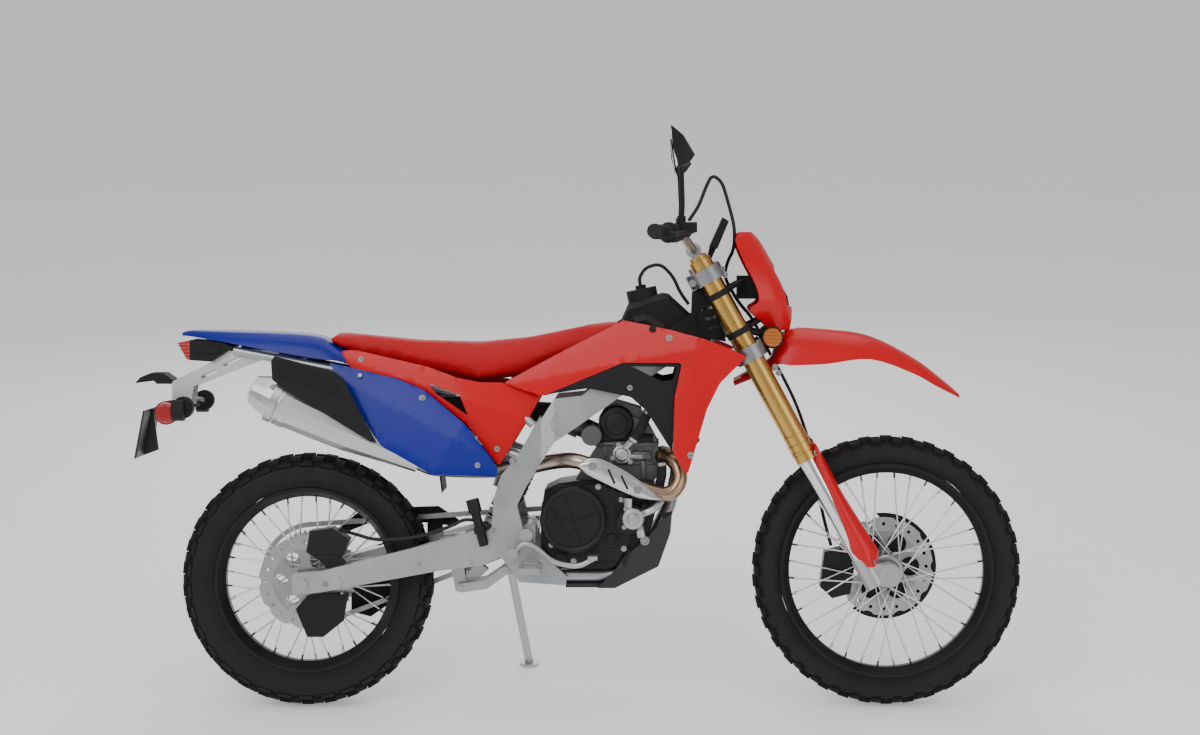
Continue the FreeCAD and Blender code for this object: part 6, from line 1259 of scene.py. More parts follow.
@dataclass(frozen=True)
class Fold:
    """A crest line across a panel, from which the surface falls away on both sides."""

    first: tuple[float, float]
    last: tuple[float, float]
    left: float
    right: float
    fade: float = 0.0

    def fall(self, x: float, z: float) -> float:
        """How far a point lies inward of the unfolded panel, in millimetres."""
        along = Vector((self.last[0] - self.first[0], self.last[1] - self.first[1]))
        reach = Vector((x - self.first[0], z - self.first[1]))
        side = along.x * reach.y - along.y * reach.x
        away = side / along.length
        fall = away * self.left if away > 0 else -away * self.right
        if not self.fade:
            return fall
        share = reach.dot(along) / along.length_squared
        enter, leave = (share + self.fade) / self.fade, (1 + self.fade - share) / self.fade
        strength = min(1.0, max(0.0, enter)) * min(1.0, max(0.0, leave))
        return fall * strength * strength * (3 - 2 * strength)


@dataclass
class Panel:
    """A moulded side panel with crisp folds, windows and rounded rims, sizes in millimetres."""

    name: str
    node: str
    finish: Finish
    outline: Sequence[tuple[float, float]]
    place: float
    start: float
    low: float
    flare: float = 0.0
    tuck: float = 0.0
    thick: float = 4.0
    body: str = "chassis"
    folds: Sequence[Fold] = ()
    windows: Sequence[Sequence[tuple[float, float]]] = ()
    corner: float = 9.0
    cell: float = 16.0

    def face(self, x: float, z: float) -> float:
        """Distance of the outer face from the motorcycle's middle plane, in millimetres."""
        flat = self.place + self.thick + (x - self.start) * math.tan(math.radians(self.flare))
        flat -= (z - self.low) * math.tan(math.radians(self.tuck))
        return flat - sum(fold.fall(x, z) for fold in self.folds)

    def spot(self, x: float, z: float, out: float = 0.0) -> Vector:
        """A point on the right panel's outer face, in metres."""
        return right(x, self.face(x, z) + out, z)

    def cut(self, bm: BMesh, first: Sequence[float], last: Sequence[float]) -> None:
        """Split the flat sheet along the line through two points."""
        split(bm, (first[0], 0, first[1]), (first[1] - last[1], 0, last[0] - first[0]), 1e-4)

    def sheet(self) -> BMesh:
        """The right panel."""
        bm = bmesh.new()
        edge = rounded(self.outline, self.corner)
        whole = bm.faces.new([bm.verts.new((x, 0.0, z)) for x, z in edge])
        bmesh.ops.inset_region(bm, faces=[whole], thickness=1.6, use_even_offset=True)
        bmesh.ops.triangulate(bm, faces=[face for face in bm.faces if len(face.verts) > 4])
        xs, zs = [point[0] for point in edge], [point[1] for point in edge]
        for fold in self.folds:
            self.cut(bm, fold.first, fold.last)
        for window in self.windows:
            for first, last in sides(window):
                self.cut(bm, first, last)
        for number in range(1, int((max(xs) - min(xs)) / self.cell)):
            place = min(xs) + number * self.cell
            self.cut(bm, (place, 0), (place, 1))
        for number in range(1, int((max(zs) - min(zs)) / self.cell)):
            place = min(zs) + number * self.cell
            self.cut(bm, (0, place), (1, place))
        holes = [face for face in bm.faces
                 if any(within(face.calc_center_median().xz, window) for window in self.windows)]
        bmesh.ops.delete(bm, geom=holes, context="FACES")
        bmesh.ops.remove_doubles(bm, verts=bm.verts, dist=0.05)
        rim = {vert for vert in bm.verts if vert.is_boundary and self.gap(vert.co.xz, edge) < 0.2}
        for vert in bm.verts:
            vert.co = self.spot(vert.co.x, vert.co.z, -1.3 if vert in rim else 0.0)
        return thickened(faced(bm, RIGHTWARD), self.thick * MM, ACROSS)

    def gap(self, point: Vector, edge: Sequence[tuple[float, float]]) -> float:
        """Distance from a flat point to the outline."""
        nearest = math.inf
        for first, last in sides(edge):
            start, way = Vector(first), Vector(last) - Vector(first)
            share = min(1.0, max(0.0, (point - start).dot(way) / max(way.length_squared, 1e-9)))
            nearest = min(nearest, (start + way * share - point).length)
        return nearest

    def build(self) -> bpy.types.Object:
        """Make the panel on both sides, in place of its CAD node."""
        piece = Piece(self.name, self.body, self.finish, smooth=24.0)
        piece.both(self.sheet())
        return piece.finished(self.node, outward=False)


def spread(start: float, low: float, reach: float, height: float,
           shares: Sequence[tuple[float, float]]) -> list[tuple[float, float]]:
    """Place an outline given in shares of its reach and height, in millimetres."""
    return [(start + x * reach, low + z * height) for x, z in shares]


@dataclass
class Bodywork:
    """The painted side panels, mirrored on both sides."""

    def panels(self) -> list[Panel]:
        """The panels with their folds and windows."""
        number = Panel(
            "number_panel_skins", "number_panels", Finish.BLUE,
            spread(67, 611, 439, 287, (
                (0.0, 1.0), (0.317, 0.268), (0.615, 0.017), (0.998, 0.0), (1.0, 0.077), (0.809, 0.453),
                (0.563, 0.756), (0.408, 0.854), (0.123, 0.958))),
            171, 67, 611, tuck=9,
            folds=(Fold((89, 861), (356, 729), 0.12, 0.05), Fold((338, 615), (420, 750), 0.05, 0.0)))
        cowl = Panel(
            "side_cowl_skins", "side_cowls", Finish.RED,
            spread(98, 633, 514, 297, (
                (0.0, 0.993), (0.07, 1.0), (0.436, 0.855), (0.58, 0.761), (0.704, 0.717), (0.811, 0.717),
                (1.0, 0.603), (0.963, 0.478), (0.794, 0.0), (0.63, 0.364), (0.42, 0.657), (0.288, 0.751),
                (0.045, 0.852))),
            131, 98, 633, flare=-1, tuck=4,
            folds=(Fold((98, 908), (430, 800), 0.10, 0.06), Fold((430, 800), (520, 660), 0.07, 0.03)),
            windows=(((324, 845), (404, 815), (426, 762), (343, 819)),))
        shroud = Panel(
            "tank_shroud_skins", "tank_shrouds", Finish.RED,
            spread(517, 617, 623, 390, (
                (0.0, 0.587), (0.228, 0.782), (0.449, 0.962), (0.494, 1.0), (0.682, 0.941), (0.823, 0.882),
                (0.936, 0.815), (1.0, 0.764), (0.891, 0.592), (0.838, 0.423), (0.762, 0.013), (0.751, 0.0),
                (0.697, 0.136), (0.705, 0.5), (0.735, 0.723), (0.493, 0.723), (0.159, 0.5))),
            125, 517, 617, flare=4.5, tuck=2,
            folds=(Fold((560, 845), (1010, 935), 0.10, 0.0), Fold((1010, 935), (985, 640), 0.07, 0.02)))
        insert = Panel(
            "shroud_insert_skins", "shroud_inserts", Finish.BLACK,
            spread(616, 617, 369, 282, (
                (0.0, 0.691), (0.564, 1.0), (0.973, 1.0), (0.921, 0.691), (0.908, 0.188), (0.724, 0.567),
                (0.618, 0.688), (0.325, 0.766), (0.087, 0.72))),
            124.5, 616, 670, flare=4.5, tuck=2, corner=5,
            windows=(((845, 890), (962, 888), (952, 856), (925, 851)),),
            folds=(Fold((640, 830), (930, 850), 0.04, 0.05),))
        return [number, cowl, shroud, insert]

    def build(self) -> None:
        """Make the panels and their screws."""
        panels = self.panels()
        number, cowl, shroud, insert = panels
        screws = Piece("panel_screws", "chassis", Finish.BOLT)
        for panel, x, z, radius in (
                (number, 310, 808, 6), (number, 455, 640, 5), (cowl, 150, 907, 5), (cowl, 501, 677, 5),
                (shroud, 942, 963, 6), (shroud, 997, 665, 6), (insert, 842, 835, 5)):
            screws.both(bolt(panel.spot(x, z, 0.3), RIGHTWARD, radius * MM, 0.003))
        for panel in panels:
            panel.build()
        screws.finished()


@dataclass
class Arch:
    """A fender or mask drawn through arch-shaped cross-sections, sizes in millimetres.

    Each station gives the place along, the crown, the drop of the edges and the half width.
    """

    name: str
    node: str
    body: str
    finish: Finish
    stations: Sequence[tuple[float, float, float, float]]
    section: Sequence[tuple[float, float]]
    thick: float = 3.2
    forward: bool = False
    steps: int = 4
    window: Sequence[tuple[float, float]] = ()

    def row(self, along: float, crown: float, drop: float, wide: float) -> list[Vector]:
        """One cross-section, from the right edge to the left."""
        whole = [*((-side, fall) for side, fall in self.section[:0:-1]), *self.section]
        points = [(along, side * wide, crown - fall * drop) for side, fall in whole]
        return [Vector(point[::-1] if self.forward else point) * MM for point in points]

    def build(self) -> bpy.types.Object:
        """Make the skin in place of its CAD node."""
        bm = skin([self.row(*station) for station in eased(self.stations, self.steps)])
        if self.window:
            self.open(bm)
        shell = thickened(faced(bm, FORWARD if self.forward else UPWARD), self.thick * MM)
        piece = Piece(self.name, self.body, self.finish, shell, smooth=26.0)
        return piece.finished(self.node, outward=False)

    def open(self, bm: BMesh) -> None:
        """Cut the window, drawn from the front, out of the sheet."""
        for first, last in sides(self.window):
            point = (0, first[0] * MM, first[1] * MM)
            split(bm, point, (0, last[1] - first[1], first[0] - last[0]), MERGE)
        holes = [face for face in bm.faces if within(face.calc_center_median().yz / MM, self.window)]
        bmesh.ops.delete(bm, geom=holes, context="FACES")


@dataclass
class Fenders:
    """Both fenders and the headlight's mask, as shares of their lengths and heights."""

    ridged: Sequence[tuple[float, float]] = (
        (0, 0.03), (0.16, 0.035), (0.36, 0.0), (0.43, 0.03), (0.6, 0.13), (0.76, 0.28), (0.9, 0.58), (1, 1))
    round: Sequence[tuple[float, float]] = (
        (0, 0), (0.2, 0.01), (0.42, 0.05), (0.6, 0.13), (0.76, 0.3), (0.9, 0.6), (1, 1))
    front: Sequence[tuple[float, float, float, float]] = (
        (0, 0.249, 0.0925, 0.5), (0.082, 0.405, 0.127, 0.68), (0.16, 0.561, 0.15, 0.76),
        (0.194, 0.832, 0.347, 0.86), (0.253, 1, 0.532, 0.95), (0.405, 0.988, 0.497, 1),
        (0.6, 0.896, 0.335, 0.98), (0.796, 0.566, 0.231, 0.84), (0.923, 0.243, 0.139, 0.62),
        (1, 0.02, 0.046, 0.34))
    rear: Sequence[tuple[float, float, float, float]] = (
        (0, 0.93, 0.1, 0.4), (0.07, 1, 0.2, 0.6), (0.3, 0.99, 0.44, 0.85), (0.62, 0.93, 0.74, 1),
        (0.8, 0.8, 0.8, 1), (0.9, 0.45, 0.5, 1), (1, 0.17, 0.4, 0.95))
    mask: Sequence[tuple[float, float, float, float]] = (
        (0, 0.952, 0.5, 0.5), (0.109, 1, 0.846, 0.72), (0.219, 1, 1.077, 0.95), (0.305, 0.962, 0.808, 1),
        (0.477, 0.808, 0.75, 1), (0.711, 0.481, 0.712, 0.95), (0.914, 0.192, 0.615, 0.8),
        (1, 0, 0.327, 0.62))
    window: Sequence[tuple[float, float]] = (
        (-52, 1040), (52, 1040), (62, 1066), (58, 1130), (46, 1144), (-46, 1144), (-58, 1130), (-62, 1066))

    def stations(self, rows: Sequence[tuple[float, float, float, float]], start: float, reach: float,
                 low: float, tall: float, half: float) -> list[tuple[float, float, float, float]]:
        """An arch's stations in millimetres, from rows of shares.

        Args:
            rows: place along, crown, drop and half width, as shares.
            start: where the arch starts.
            reach: its length.
            low: where its crown is lowest.
            tall: the measure of its crown and drop.
            half: its half width.

        Returns:
            The stations.
        """
        return [(start + reach * along, low + tall * top, tall * drop, half * wide)
                for along, top, drop, wide in rows]

    def build(self) -> None:
        """Make the three skins."""
        front = self.stations(self.front, 1112, 588, 808, 173, 82)
        Arch("front_fender_skin", "front_fender", "steering", Finish.RED, front, self.ridged).build()
        rear = self.stations(self.rear, -327, 455, 905, 73, 74)
        Arch("rear_fender_skin", "rear_fender", "chassis", Finish.BLUE, rear, self.round).build()
        mask = self.stations(self.mask, 978, 256, 1158, 104, 104)
        Arch("headlight_mask_skin", "headlight_mask", "steering", Finish.RED, mask, self.ridged,
             forward=True, window=self.window).build()


@dataclass
class ForkGuards:
    """The red guards round the lower fork legs, in millimetres."""

    rows: Sequence[tuple[float, float, float, float]] = (
        (1311, 694, 1324, 684), (1313, 655, 1345, 645), (1330, 606, 1366, 604), (1348, 555, 1390, 560),
        (1371, 487, 1436, 486), (1392, 424, 1478, 420), (1410, 398, 1481, 396), (1438, 373, 1479, 376))
    out: float = 101.0
    bulge: float = 31.0

    def build(self) -> None:
        """Make both guards and their bolts."""
        piece = Piece("fork_guard_skins", "steering", Finish.RED, smooth=30.0)
        piece.both(thickened(bulged(self.rows, self.out, self.bulge, 0.7, 12), 0.003))
        piece.finished("fork_guards", outward=False)
        screws = Piece("fork_guard_screws", "steering", Finish.BOLT)
        for x, z, out in ((1462, 386, 122), (1322, 668, 126)):
            screws.both(bolt(right(x, out, z), RIGHTWARD, 0.006, 0.006))
        screws.finished()


class Surface:
    """The CAD nodes' surfaces, on which small parts are set down."""

    def __init__(self) -> None:
        """Start with no trees."""
        self.trees: dict[str, BVHTree] = {}

    def tree(self, node: str) -> BVHTree:
        """The node's tree, in upright metres."""
        if node not in self.trees:
            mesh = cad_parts[node].data
            back = PARK.inverted()
            verts = [back @ vert.co for vert in mesh.vertices]
            self.trees[node] = BVHTree.FromPolygons(verts, [tuple(face.vertices) for face in mesh.polygons])
        return self.trees[node]

    def spot(self, node: str, x: float, z: float, out: float = 0.0) -> Vector | None:
        """Where a line from the right side first meets a node.

        Args:
            node: the CAD node.
            x: place along the motorcycle, in millimetres.
            z: height, in millimetres.
            out: how far to stay off the surface, in millimetres.

        Returns:
            The point, or None where the line misses.
        """
        hit = self.tree(node).ray_cast(right(x, 600, z), ACROSS)[0]
        if hit is None:
            LOG.debug("nothing of %s at %s, %s", node, x, z)
            return None
        return hit + RIGHTWARD * out * MM


SURFACE = Surface()


@dataclass
class Engine:
    """Covers, pump, thermostat, hoses and bolts on the engine's two sides, in millimetres."""

    clutch: tuple[float, float] = (696, 496)
    lid_out: float = 133.0
    cover_out: float = 113.0
    generator: tuple[float, float] = (782, 470)
    generator_out: float = 94.0

    def lid(self) -> None:
        """The clutch lid's bevelled ring and its raised lines."""
        x, z = self.clutch
        piece = Piece("clutch_lid_ring", "chassis", Finish.SATIN_BLACK, smooth=40.0)
        piece.add(turned([(0.0695, -0.1295), (0.0715, -0.1335), (0.0765, -0.1365), (0.081, -0.1365),
                          (0.0845, -0.133), (0.0845, -0.1295)], 72, right(x, 0, z)))
        lines = (((-61.5, 27.4), (1.2, -7.8), 2.2), ((1.2, -7.8), (62, 21.6), 2.2),
                 ((1.2, -7.8), (-20.4, 62), 1.2), ((1.2, -7.8), (22.7, -64), 1.2),
                 ((-66, 14), (-14.5, -66), 1.2), ((-58, 31), (-4.7, -67), 1.2), ((-44, 19.6), (11, -66), 1.2))
        for *ends, wide in lines:
            first, second = (right(x + ahead, self.lid_out - 2.2, z + up) for ahead, up in ends)
            piece.add(strip(first, second, wide * MM, 0.0026))
        piece.finished()

    def bolts(self) -> None:
        """Cover bolts on both sides."""
        piece = Piece("engine_bolts", "chassis", Finish.BOLT)
        for x, z in ((760, 579), (818, 545), (826, 420), (697, 388), (632, 560), (640, 430)):
            spot = SURFACE.spot("engine_covers", x, z)
            if spot:
                piece.add(bolt(spot, RIGHTWARD, 0.0052, 0.007, socket=False))
        for number in range(6):
            angle = math.tau * number / 6
            x, z = self.generator[0] + 74 * math.cos(angle), self.generator[1] + 74 * math.sin(angle)
            piece.add(bolt(right(x, -58, z), ACROSS, 0.005, 0.008, socket=False))
        piece.finished()

    def cases(self) -> None:
        """Filler cap, case ribs and the generator lid's ring."""
        piece = Piece("case_trim", "chassis", Finish.SATIN_BLACK)
        out = self.cover_out
        piece.add(rod(right(797, out - 4, 441), right(797, out + 9, 441), 0.0165, 28, bevel=0.002))
        piece.add(ring(right(797, out + 9, 441), 0.0085, 0.0135, 0.002, 28))
        for first, second in (((775, 585), (826, 470)), ((790, 590), (836, 500)), ((628, 470), (628, 560)),
                              ((640, 400), (690, 376)), ((700, 374), (800, 386)), ((840, 420), (826, 380))):
            ends = (right(x, out + 0.5, z) for x, z in (first, second))
            piece.add(strip(*ends, 0.005, 0.006))
        x, z = self.generator
        lid = right(x, -self.generator_out, z)
        piece.add(turned([(0.040, -0.001), (0.042, 0.003), (0.052, 0.003), (0.055, -0.001)], 48, lid))
        piece.add(rod(lid, lid + ACROSS * 0.004, 0.014, 6))
        piece.finished()

    def pump(self) -> None:
        """The bright water pump with its pipes and screws."""
        piece = Piece("water_pump", "chassis", Finish.ALLOY)
        piece.add(rod(right(850, 112, 500), right(850, 147, 500), 0.031, 32, 0.027, 0.003))
        piece.add(rod(right(850, 146, 500), right(850, 155, 500), 0.016, 24, 0.013, 0.002))
        piece.add(pipe([right(838, 128, 512), right(836, 128, 530), right(838, 126, 550)], 0.0125))
        piece.add(pipe([right(860, 128, 490), right(868, 128, 474), right(871, 126, 452)], 0.0125))
        piece.add(pipe([right(862, 132, 508), right(888, 132, 516), right(910, 126, 528),
                        right(924, 112, 546)], 0.010))
        screws = Piece("water_pump_screws", "chassis", Finish.BOLT)
        for angle in (0.5, 2.2, 3.9, 5.4):
            x, z = 850 + 31 * math.cos(angle), 500 + 31 * math.sin(angle)
            piece.add(rod(right(x, 132, z), right(x, 142, z), 0.006, 16))
            screws.add(bolt(right(x, 142, z), RIGHTWARD, 0.0042, 0.005, socket=False))
        piece.finished()
        screws.finished()

    def head(self) -> None:
        """Valve cover, thermostat and the joints between the castings."""
        cover = Piece("valve_cover_cap", "chassis", Finish.SATIN_BLACK)
        for side in (-1, 1):
            caps = ((0.040, 0.070, 0.047, 40, 0.043, 0.004), (0.069, 0.073, 0.030, 32, 0.028, 0.0015))
            for near, far, *shape in caps:
                first, last = (Vector((0.806, side * out, 0.738)) for out in (near, far))
                cover.add(rod(first, last, *shape))
            cover.add(block(Vector((0.826, side * 0.050, 0.700)), (0.150, 0.026, 0.022), None, 0.004))
        cover.finished()
        casting = Piece("cylinder_casting", "chassis", Finish.DARK_CAST)
        casting.add(block(Vector((0.832, 0, 0.684)), (0.168, 0.128, 0.010), None, 0.002))
        casting.add(block(Vector((0.836, 0, 0.634)), (0.180, 0.124, 0.008), None, 0.002))
        for number in range(6):
            casting.add(block(Vector((0.776 + 0.024 * number, 0, 0.658)), (0.006, 0.122, 0.042), None, 0.001))
        casting.add(block(right(872, 58, 655), (0.050, 0.026, 0.020), None, 0.003))
        casting.add(block(right(876, 60, 612), (0.012, 0.018, 0.060), None, 0.003))
        casting.finished()
        house = Piece("thermostat_housing", "chassis", Finish.ALLOY)
        house.add(rod(right(820, 56, 659), right(820, 84, 659), 0.026, 36, 0.024, 0.003))
        house.add(rod(right(820, 84, 659), right(820, 93, 659), 0.019, 32, 0.016, 0.003))
        house.add(pipe([right(822, 76, 668), right(836, 80, 684), right(850, 84, 697)], 0.0105))
        house.add(pipe([right(826, 70, 655), right(852, 72, 652), right(872, 66, 652)], 0.008))
        screws = Piece("thermostat_screws", "chassis", Finish.BOLT)
        for x, z in ((796, 649), (842, 640), (812, 684)):
            house.add(rod(right(x, 58, z), right(x, 82, z), 0.0065, 16, bevel=0.001))
            screws.add(bolt(right(x, 82, z), RIGHTWARD, 0.0044, 0.005, socket=False))
        house.finished()
        screws.finished()

    def hoses(self) -> None:
        """Coolant hoses with clamps, held at both ends."""
        upper = [right(846, 84, 692), right(862, 86, 714), right(878, 84, 742), right(890, 76, 772)]
        lower = [right(922, 84, 640), right(926, 88, 612), right(918, 88, 584), right(914, 84, 556)]
        piece = Piece("coolant_hoses", "chassis", Finish.RUBBER)
        bands = Piece("hose_clamps", "chassis", Finish.STEEL)
        for route in (upper, lower):
            piece.add(pipe(route, 0.0125, 16))
            bands.add(clamp(route[0].lerp(route[1], 0.25), route[1] - route[0], 0.0142))
            bands.add(clamp(route[-1].lerp(route[-2], 0.25), route[-1] - route[-2], 0.0142))
        piece.finished()
        bands.finished()

    def build(self) -> None:
        """Make all the engine's small parts."""
        self.lid()
        self.bolts()
        self.cases()
        self.pump()
        self.head()
        self.hoses()


@dataclass
class Exhaust:
    """The header's slotted shield and the muffler guard's ribs, in millimetres."""

    rows: Sequence[tuple[float, float, float, float]] = (
        (714, 643, 711, 630), (736, 653, 727, 616), (772, 650, 763, 598), (831, 621, 815, 573),
        (885, 583, 862, 553), (914, 560, 893, 547), (926, 551, 919, 547))
    out: float = 136.0
    bulge: float = 8.0

    def build(self) -> None:
        """Make the shield, black strips of painted shade in its slots, its screws, and the guard's ribs."""
        shield = thickened(bulged(self.rows, self.out, self.bulge, 0.6, 8), 0.0015)
        Piece("pipe_shield_skin", "chassis", Finish.POLISHED, shield).finished("pipe_shield", outward=False)
        crest = self.out + self.bulge
        # Black strips stand for the shade seen through the shield's slots: painted shade.
        slots = Piece("shield_slot_shade", "chassis", Finish.BLACK)
        for line in (((787, 627), (803, 590)), ((820, 611), (836, 576))):
            slots.add(strip(*(right(x, crest - 0.6, z) for x, z in line), 0.0052, 0.0026))
        slots.finished()
        screws = Piece("shield_screws", "chassis", Finish.BOLT)
        for x, z in ((747, 635), (862, 575)):
            screws.add(ring(right(x, crest - 1, z), 0.0075, 0.0115, 0.002, 28))
            screws.add(bolt(right(x, crest - 0.5, z), RIGHTWARD, 0.0052, 0.004))
        screws.finished()
        ribs = Piece("muffler_guard_ribs", "chassis", Finish.BLACK)
        for line in (((-52, 902), (92, 858)), ((-50, 884), (100, 836)), ((-46, 866), (112, 812)),
                     ((108, 866), (186, 720))):
            ends = [SURFACE.spot("muffler_guard", *point, 0.6) for point in line]
            if all(ends):
                ribs.add(strip(*ends, 0.005, 0.003))
        ribs.finished()


@dataclass
class FrameTrim:
    """Weld beads and bolts on the frame, the swingarm and the skid plate, in millimetres."""

    beads: Sequence[tuple[str, Sequence[tuple[float, float]]]] = (
        ("main_frame", ((652, 768), (641, 748), (641, 730), (652, 716), (676, 707))),
        ("main_frame", ((700, 720), (731, 735), (794, 790))),
        ("swingarm", ((430, 400), (436, 372), (432, 350))),
        ("swingarm", ((96, 352), (104, 330), (98, 306))))
    screws: Sequence[tuple[str, float, float, float]] = (
        ("main_frame", 629, 780, 6), ("main_frame", 544, 648, 7), ("main_frame", 492, 471, 6),
        ("main_frame", 577, 461, 14), ("main_frame", 567, 533, 8), ("main_frame", 715, 712, 6),
        ("main_frame", 687, 690, 6), ("skid_plate", 880, 440, 8), ("swingarm", 60, 330, 6),
        ("swingarm", 18, 300, 5), ("swingarm", 300, 380, 4))
    gap: float = 4.5

    def bead(self, spot: Vector) -> BMesh:
        """One drop of a weld."""
        drop = bmesh.new()
        bmesh.ops.create_icosphere(drop, subdivisions=1, radius=0.0034)
        bmesh.ops.scale(drop, vec=(1.0, 0.5, 1.0), verts=drop.verts)
        bmesh.ops.translate(drop, vec=spot, verts=drop.verts)
        return drop

    def build(self) -> None:
        """Make beads and bolts on both sides."""
        welds = Piece("frame_welds", "chassis", Finish.FRAME, smooth=80.0)
        for node, line in self.beads:
            for first, last in zip(line, line[1:]):
                count = max(1, round(math.dist(first, last) / self.gap))
                for step in range(count):
                    x, z = (a + (b - a) * step / count for a, b in zip(first, last))
                    spot = SURFACE.spot(node, x, z)
                    if spot:
                        welds.both(self.bead(spot))
        welds.finished()
        bolts = Piece("frame_bolts", "chassis", Finish.BOLT)
        for node, x, z, radius in self.screws:
            spot = SURFACE.spot(node, x, z)
            if spot:
                bolts.both(bolt(spot, RIGHTWARD, radius * MM, 0.005, socket=radius > 5))
        bolts.finished()


@dataclass
class WheelTrim:
    """Spoke nipples, rim edges and hub flanges of one wheel, in metres."""

    name: str
    body: str
    centre: Vector
    bead: float
    rim_half: float
    spokes: int = 36

    def nipple(self) -> BMesh:
        """One nipple at the top of the wheel."""
        return rod(UPWARD * (self.bead - 0.040), UPWARD * (self.bead - 0.022), 0.0028, 6)

    def build(self) -> None:
        """Make the wheel's bright and black trim."""
        bright = Piece(self.name + "_nipples", self.body, Finish.STEEL)
        bright.add(ringed(self.nipple, self.spokes, self.centre, math.pi / self.spokes))
        lips = Piece(self.name + "_lips", self.body, Finish.SATIN_BLACK)
        flange = ((0.030, 0.044), (0.033, 0.047), (0.040, 0.047), (0.043, 0.044), (0.043, 0.041),
                  (0.030, 0.041))
        lip = ((0.010, -0.001), (0.009, 0.0012), (0.005, 0.0012), (0.004, -0.001))
        for side in (-1, 1):
            bright.add(turned([(radius, side * out) for radius, out in flange], 48, self.centre))
            lips.add(turned([(self.bead - inward, side * (self.rim_half + out)) for inward, out in lip], 72,
                            self.centre))
        bright.finished()
        lips.finished()


@dataclass
class ForkTrim:
    """Seals and rings on the fork legs, clamp bolts and the round lamps beside them."""

    spread: float = 0.100
    ahead: float = 0.022
    lamp: tuple[float, float] = (1209, 962)

    def ring(self, along: float, tall: float, inner: float, outer: float, side: float) -> BMesh:
        """A ring round one leg."""
        edge = (outer - inner) * 0.4
        top = tall / 2
        return turned([(inner, -top), (outer - edge, -top), (outer, -top + edge), (outer, top - edge),
                       (outer - edge, top), (inner, top)], 32, on_fork(along, self.ahead, side), ALONG)

    def build(self) -> None:
        """Make the fork's small parts."""
        seals = Piece("fork_seals", "steering", Finish.RUBBER)
        rings = Piece("fork_rings", "steering", Finish.GOLD)
        bolts = Piece("clamp_bolts", "steering", Finish.BOLT)
        for side in (-self.spread, self.spread):
            seals.add(self.ring(0.735, 0.012, 0.0245, 0.030, side))
            rings.add(self.ring(0.752, 0.010, 0.027, 0.0315, side))
            for along in (0.775, 0.800):
                rings.add(self.ring(along, 0.004, 0.027, 0.0305, side))
            cap = on_fork(1.309, self.ahead, side)
            bolts.add(rod(cap, cap + ALONG * 0.006, 0.022, 28, 0.020, 0.0015))
            bolts.add(rod(cap + ALONG * 0.006, cap + ALONG * 0.014, 0.010, 6))
            way = ACROSS * math.copysign(1, side)
            for along in (1.262, 1.245, 0.975, 0.958):
                spot = on_fork(along, self.ahead + 0.040, side) + way * 0.012
                bolts.add(bolt(spot, way, 0.0055, 0.006))
        for piece in (seals, rings, bolts):
            piece.finished()
        self.lamps()

    def lamps(self) -> None:
        """Round amber lamps that face outward."""
        x, z = self.lamp
        rim = ((0.0, -0.086), (0.024, -0.086), (0.0285, -0.093), (0.0285, -0.103), (0.0265, -0.105),
               (0.0245, -0.1035), (0.0, -0.1035))
        lens = ((0.0, -0.1030), (0.0247, -0.1030), (0.0235, -0.1050), (0.012, -0.1062), (0.0, -0.1066))
        for name, finish, profile in (("front_lamp_rims", Finish.BLACK, rim),
                                      ("front_lamp_lenses", Finish.AMBER_LENS, lens)):
            piece = Piece(name, "steering", finish)
            piece.both(turned(profile, 40, right(x, 0, z)))
            piece.finished()


@dataclass
class Cockpit:
    """Ribbed grips, mirror glasses and the tank's pale trim."""

    inner: Vector = field(default_factory=lambda: on_fork(1.4072, -0.012, -0.284))
    outer: Vector = field(default_factory=lambda: on_fork(1.4280, -0.0439, -0.400))
    glass_side: float = -0.317
    glass_half: float = 0.062

    def grips(self) -> None:
        """Rings round the grips, with a flange inside and a cap outside."""
        way = (self.outer - self.inner).normalized()
        piece = Piece("grip_ribs", "steering", Finish.RUBBER)
        ribs = [(0.006, 0.004, 0.0245), (1 - 0.03, 0.006, 0.0185)]
        ribs += [(0.12 + 0.085 * number, 0.003, 0.0178) for number in range(10)]
        half = bmesh.new()
        for share, long, radius in ribs:
            spot = self.inner.lerp(self.outer, share)
            joined(half, rod(spot - way * long, spot + way * long, radius, 24, bevel=0.001))
        piece.both(half)
        piece.finished()

    def glasses(self) -> None:
        """Mirror glass just behind each mirror's shell."""
        piece = Piece("mirror_glasses", "steering", Finish.MIRROR, smooth=30.0)
        corners = ((0.0339, 0.0531, -0.8), (0, 0, 0.7), (0.4558, 0.5993, 1.0), (0.9479, 1.0, 0.7),
                   (1, 0.9559, -0.8), (0.5106, 0.3022, -1.1))
        points = [on_fork(1.5347 + 0.1045 * up, 0.0823 + 0.0355 * ahead,
                          self.glass_side + self.glass_half * side) for up, ahead, side in corners]
        middle = sum(points, Vector()) / len(points)
        normal = (points[1] - points[0]).cross(points[3] - points[0]).normalized()
        normal *= -1 if normal.x > 0 else 1
        bm = bmesh.new()
        flat = [middle.lerp(point, 0.93) for point in points]
        flat = [point - normal * (point - middle).dot(normal) + normal * 0.0045 for point in flat]
        face = bm.faces.new([bm.verts.new(point) for point in flat])
        bm.normal_update()
        if face.normal.dot(normal) < 0:
            bmesh.ops.reverse_faces(bm, faces=[face])
        piece.both(thickened(bm, 0.003))
        piece.finished(outward=False)

    def tank(self) -> None:
        """Pale wings on the tank's shoulders."""
        piece = Piece("tank_wings", "chassis", Finish.GREY)
        line = ((850, 1006), (884, 1014), (926, 984))
        for pair in zip(line, line[1:]):
            ends = [SURFACE.spot("fuel_tank", *point, 0.5) for point in pair]
            if all(ends):
                piece.both(strip(*ends, 0.016, 0.003))
        piece.finished()

    def build(self) -> None:
        """Make the parts that the rider holds and looks at."""
        self.grips()
        self.glasses()
        self.tank()


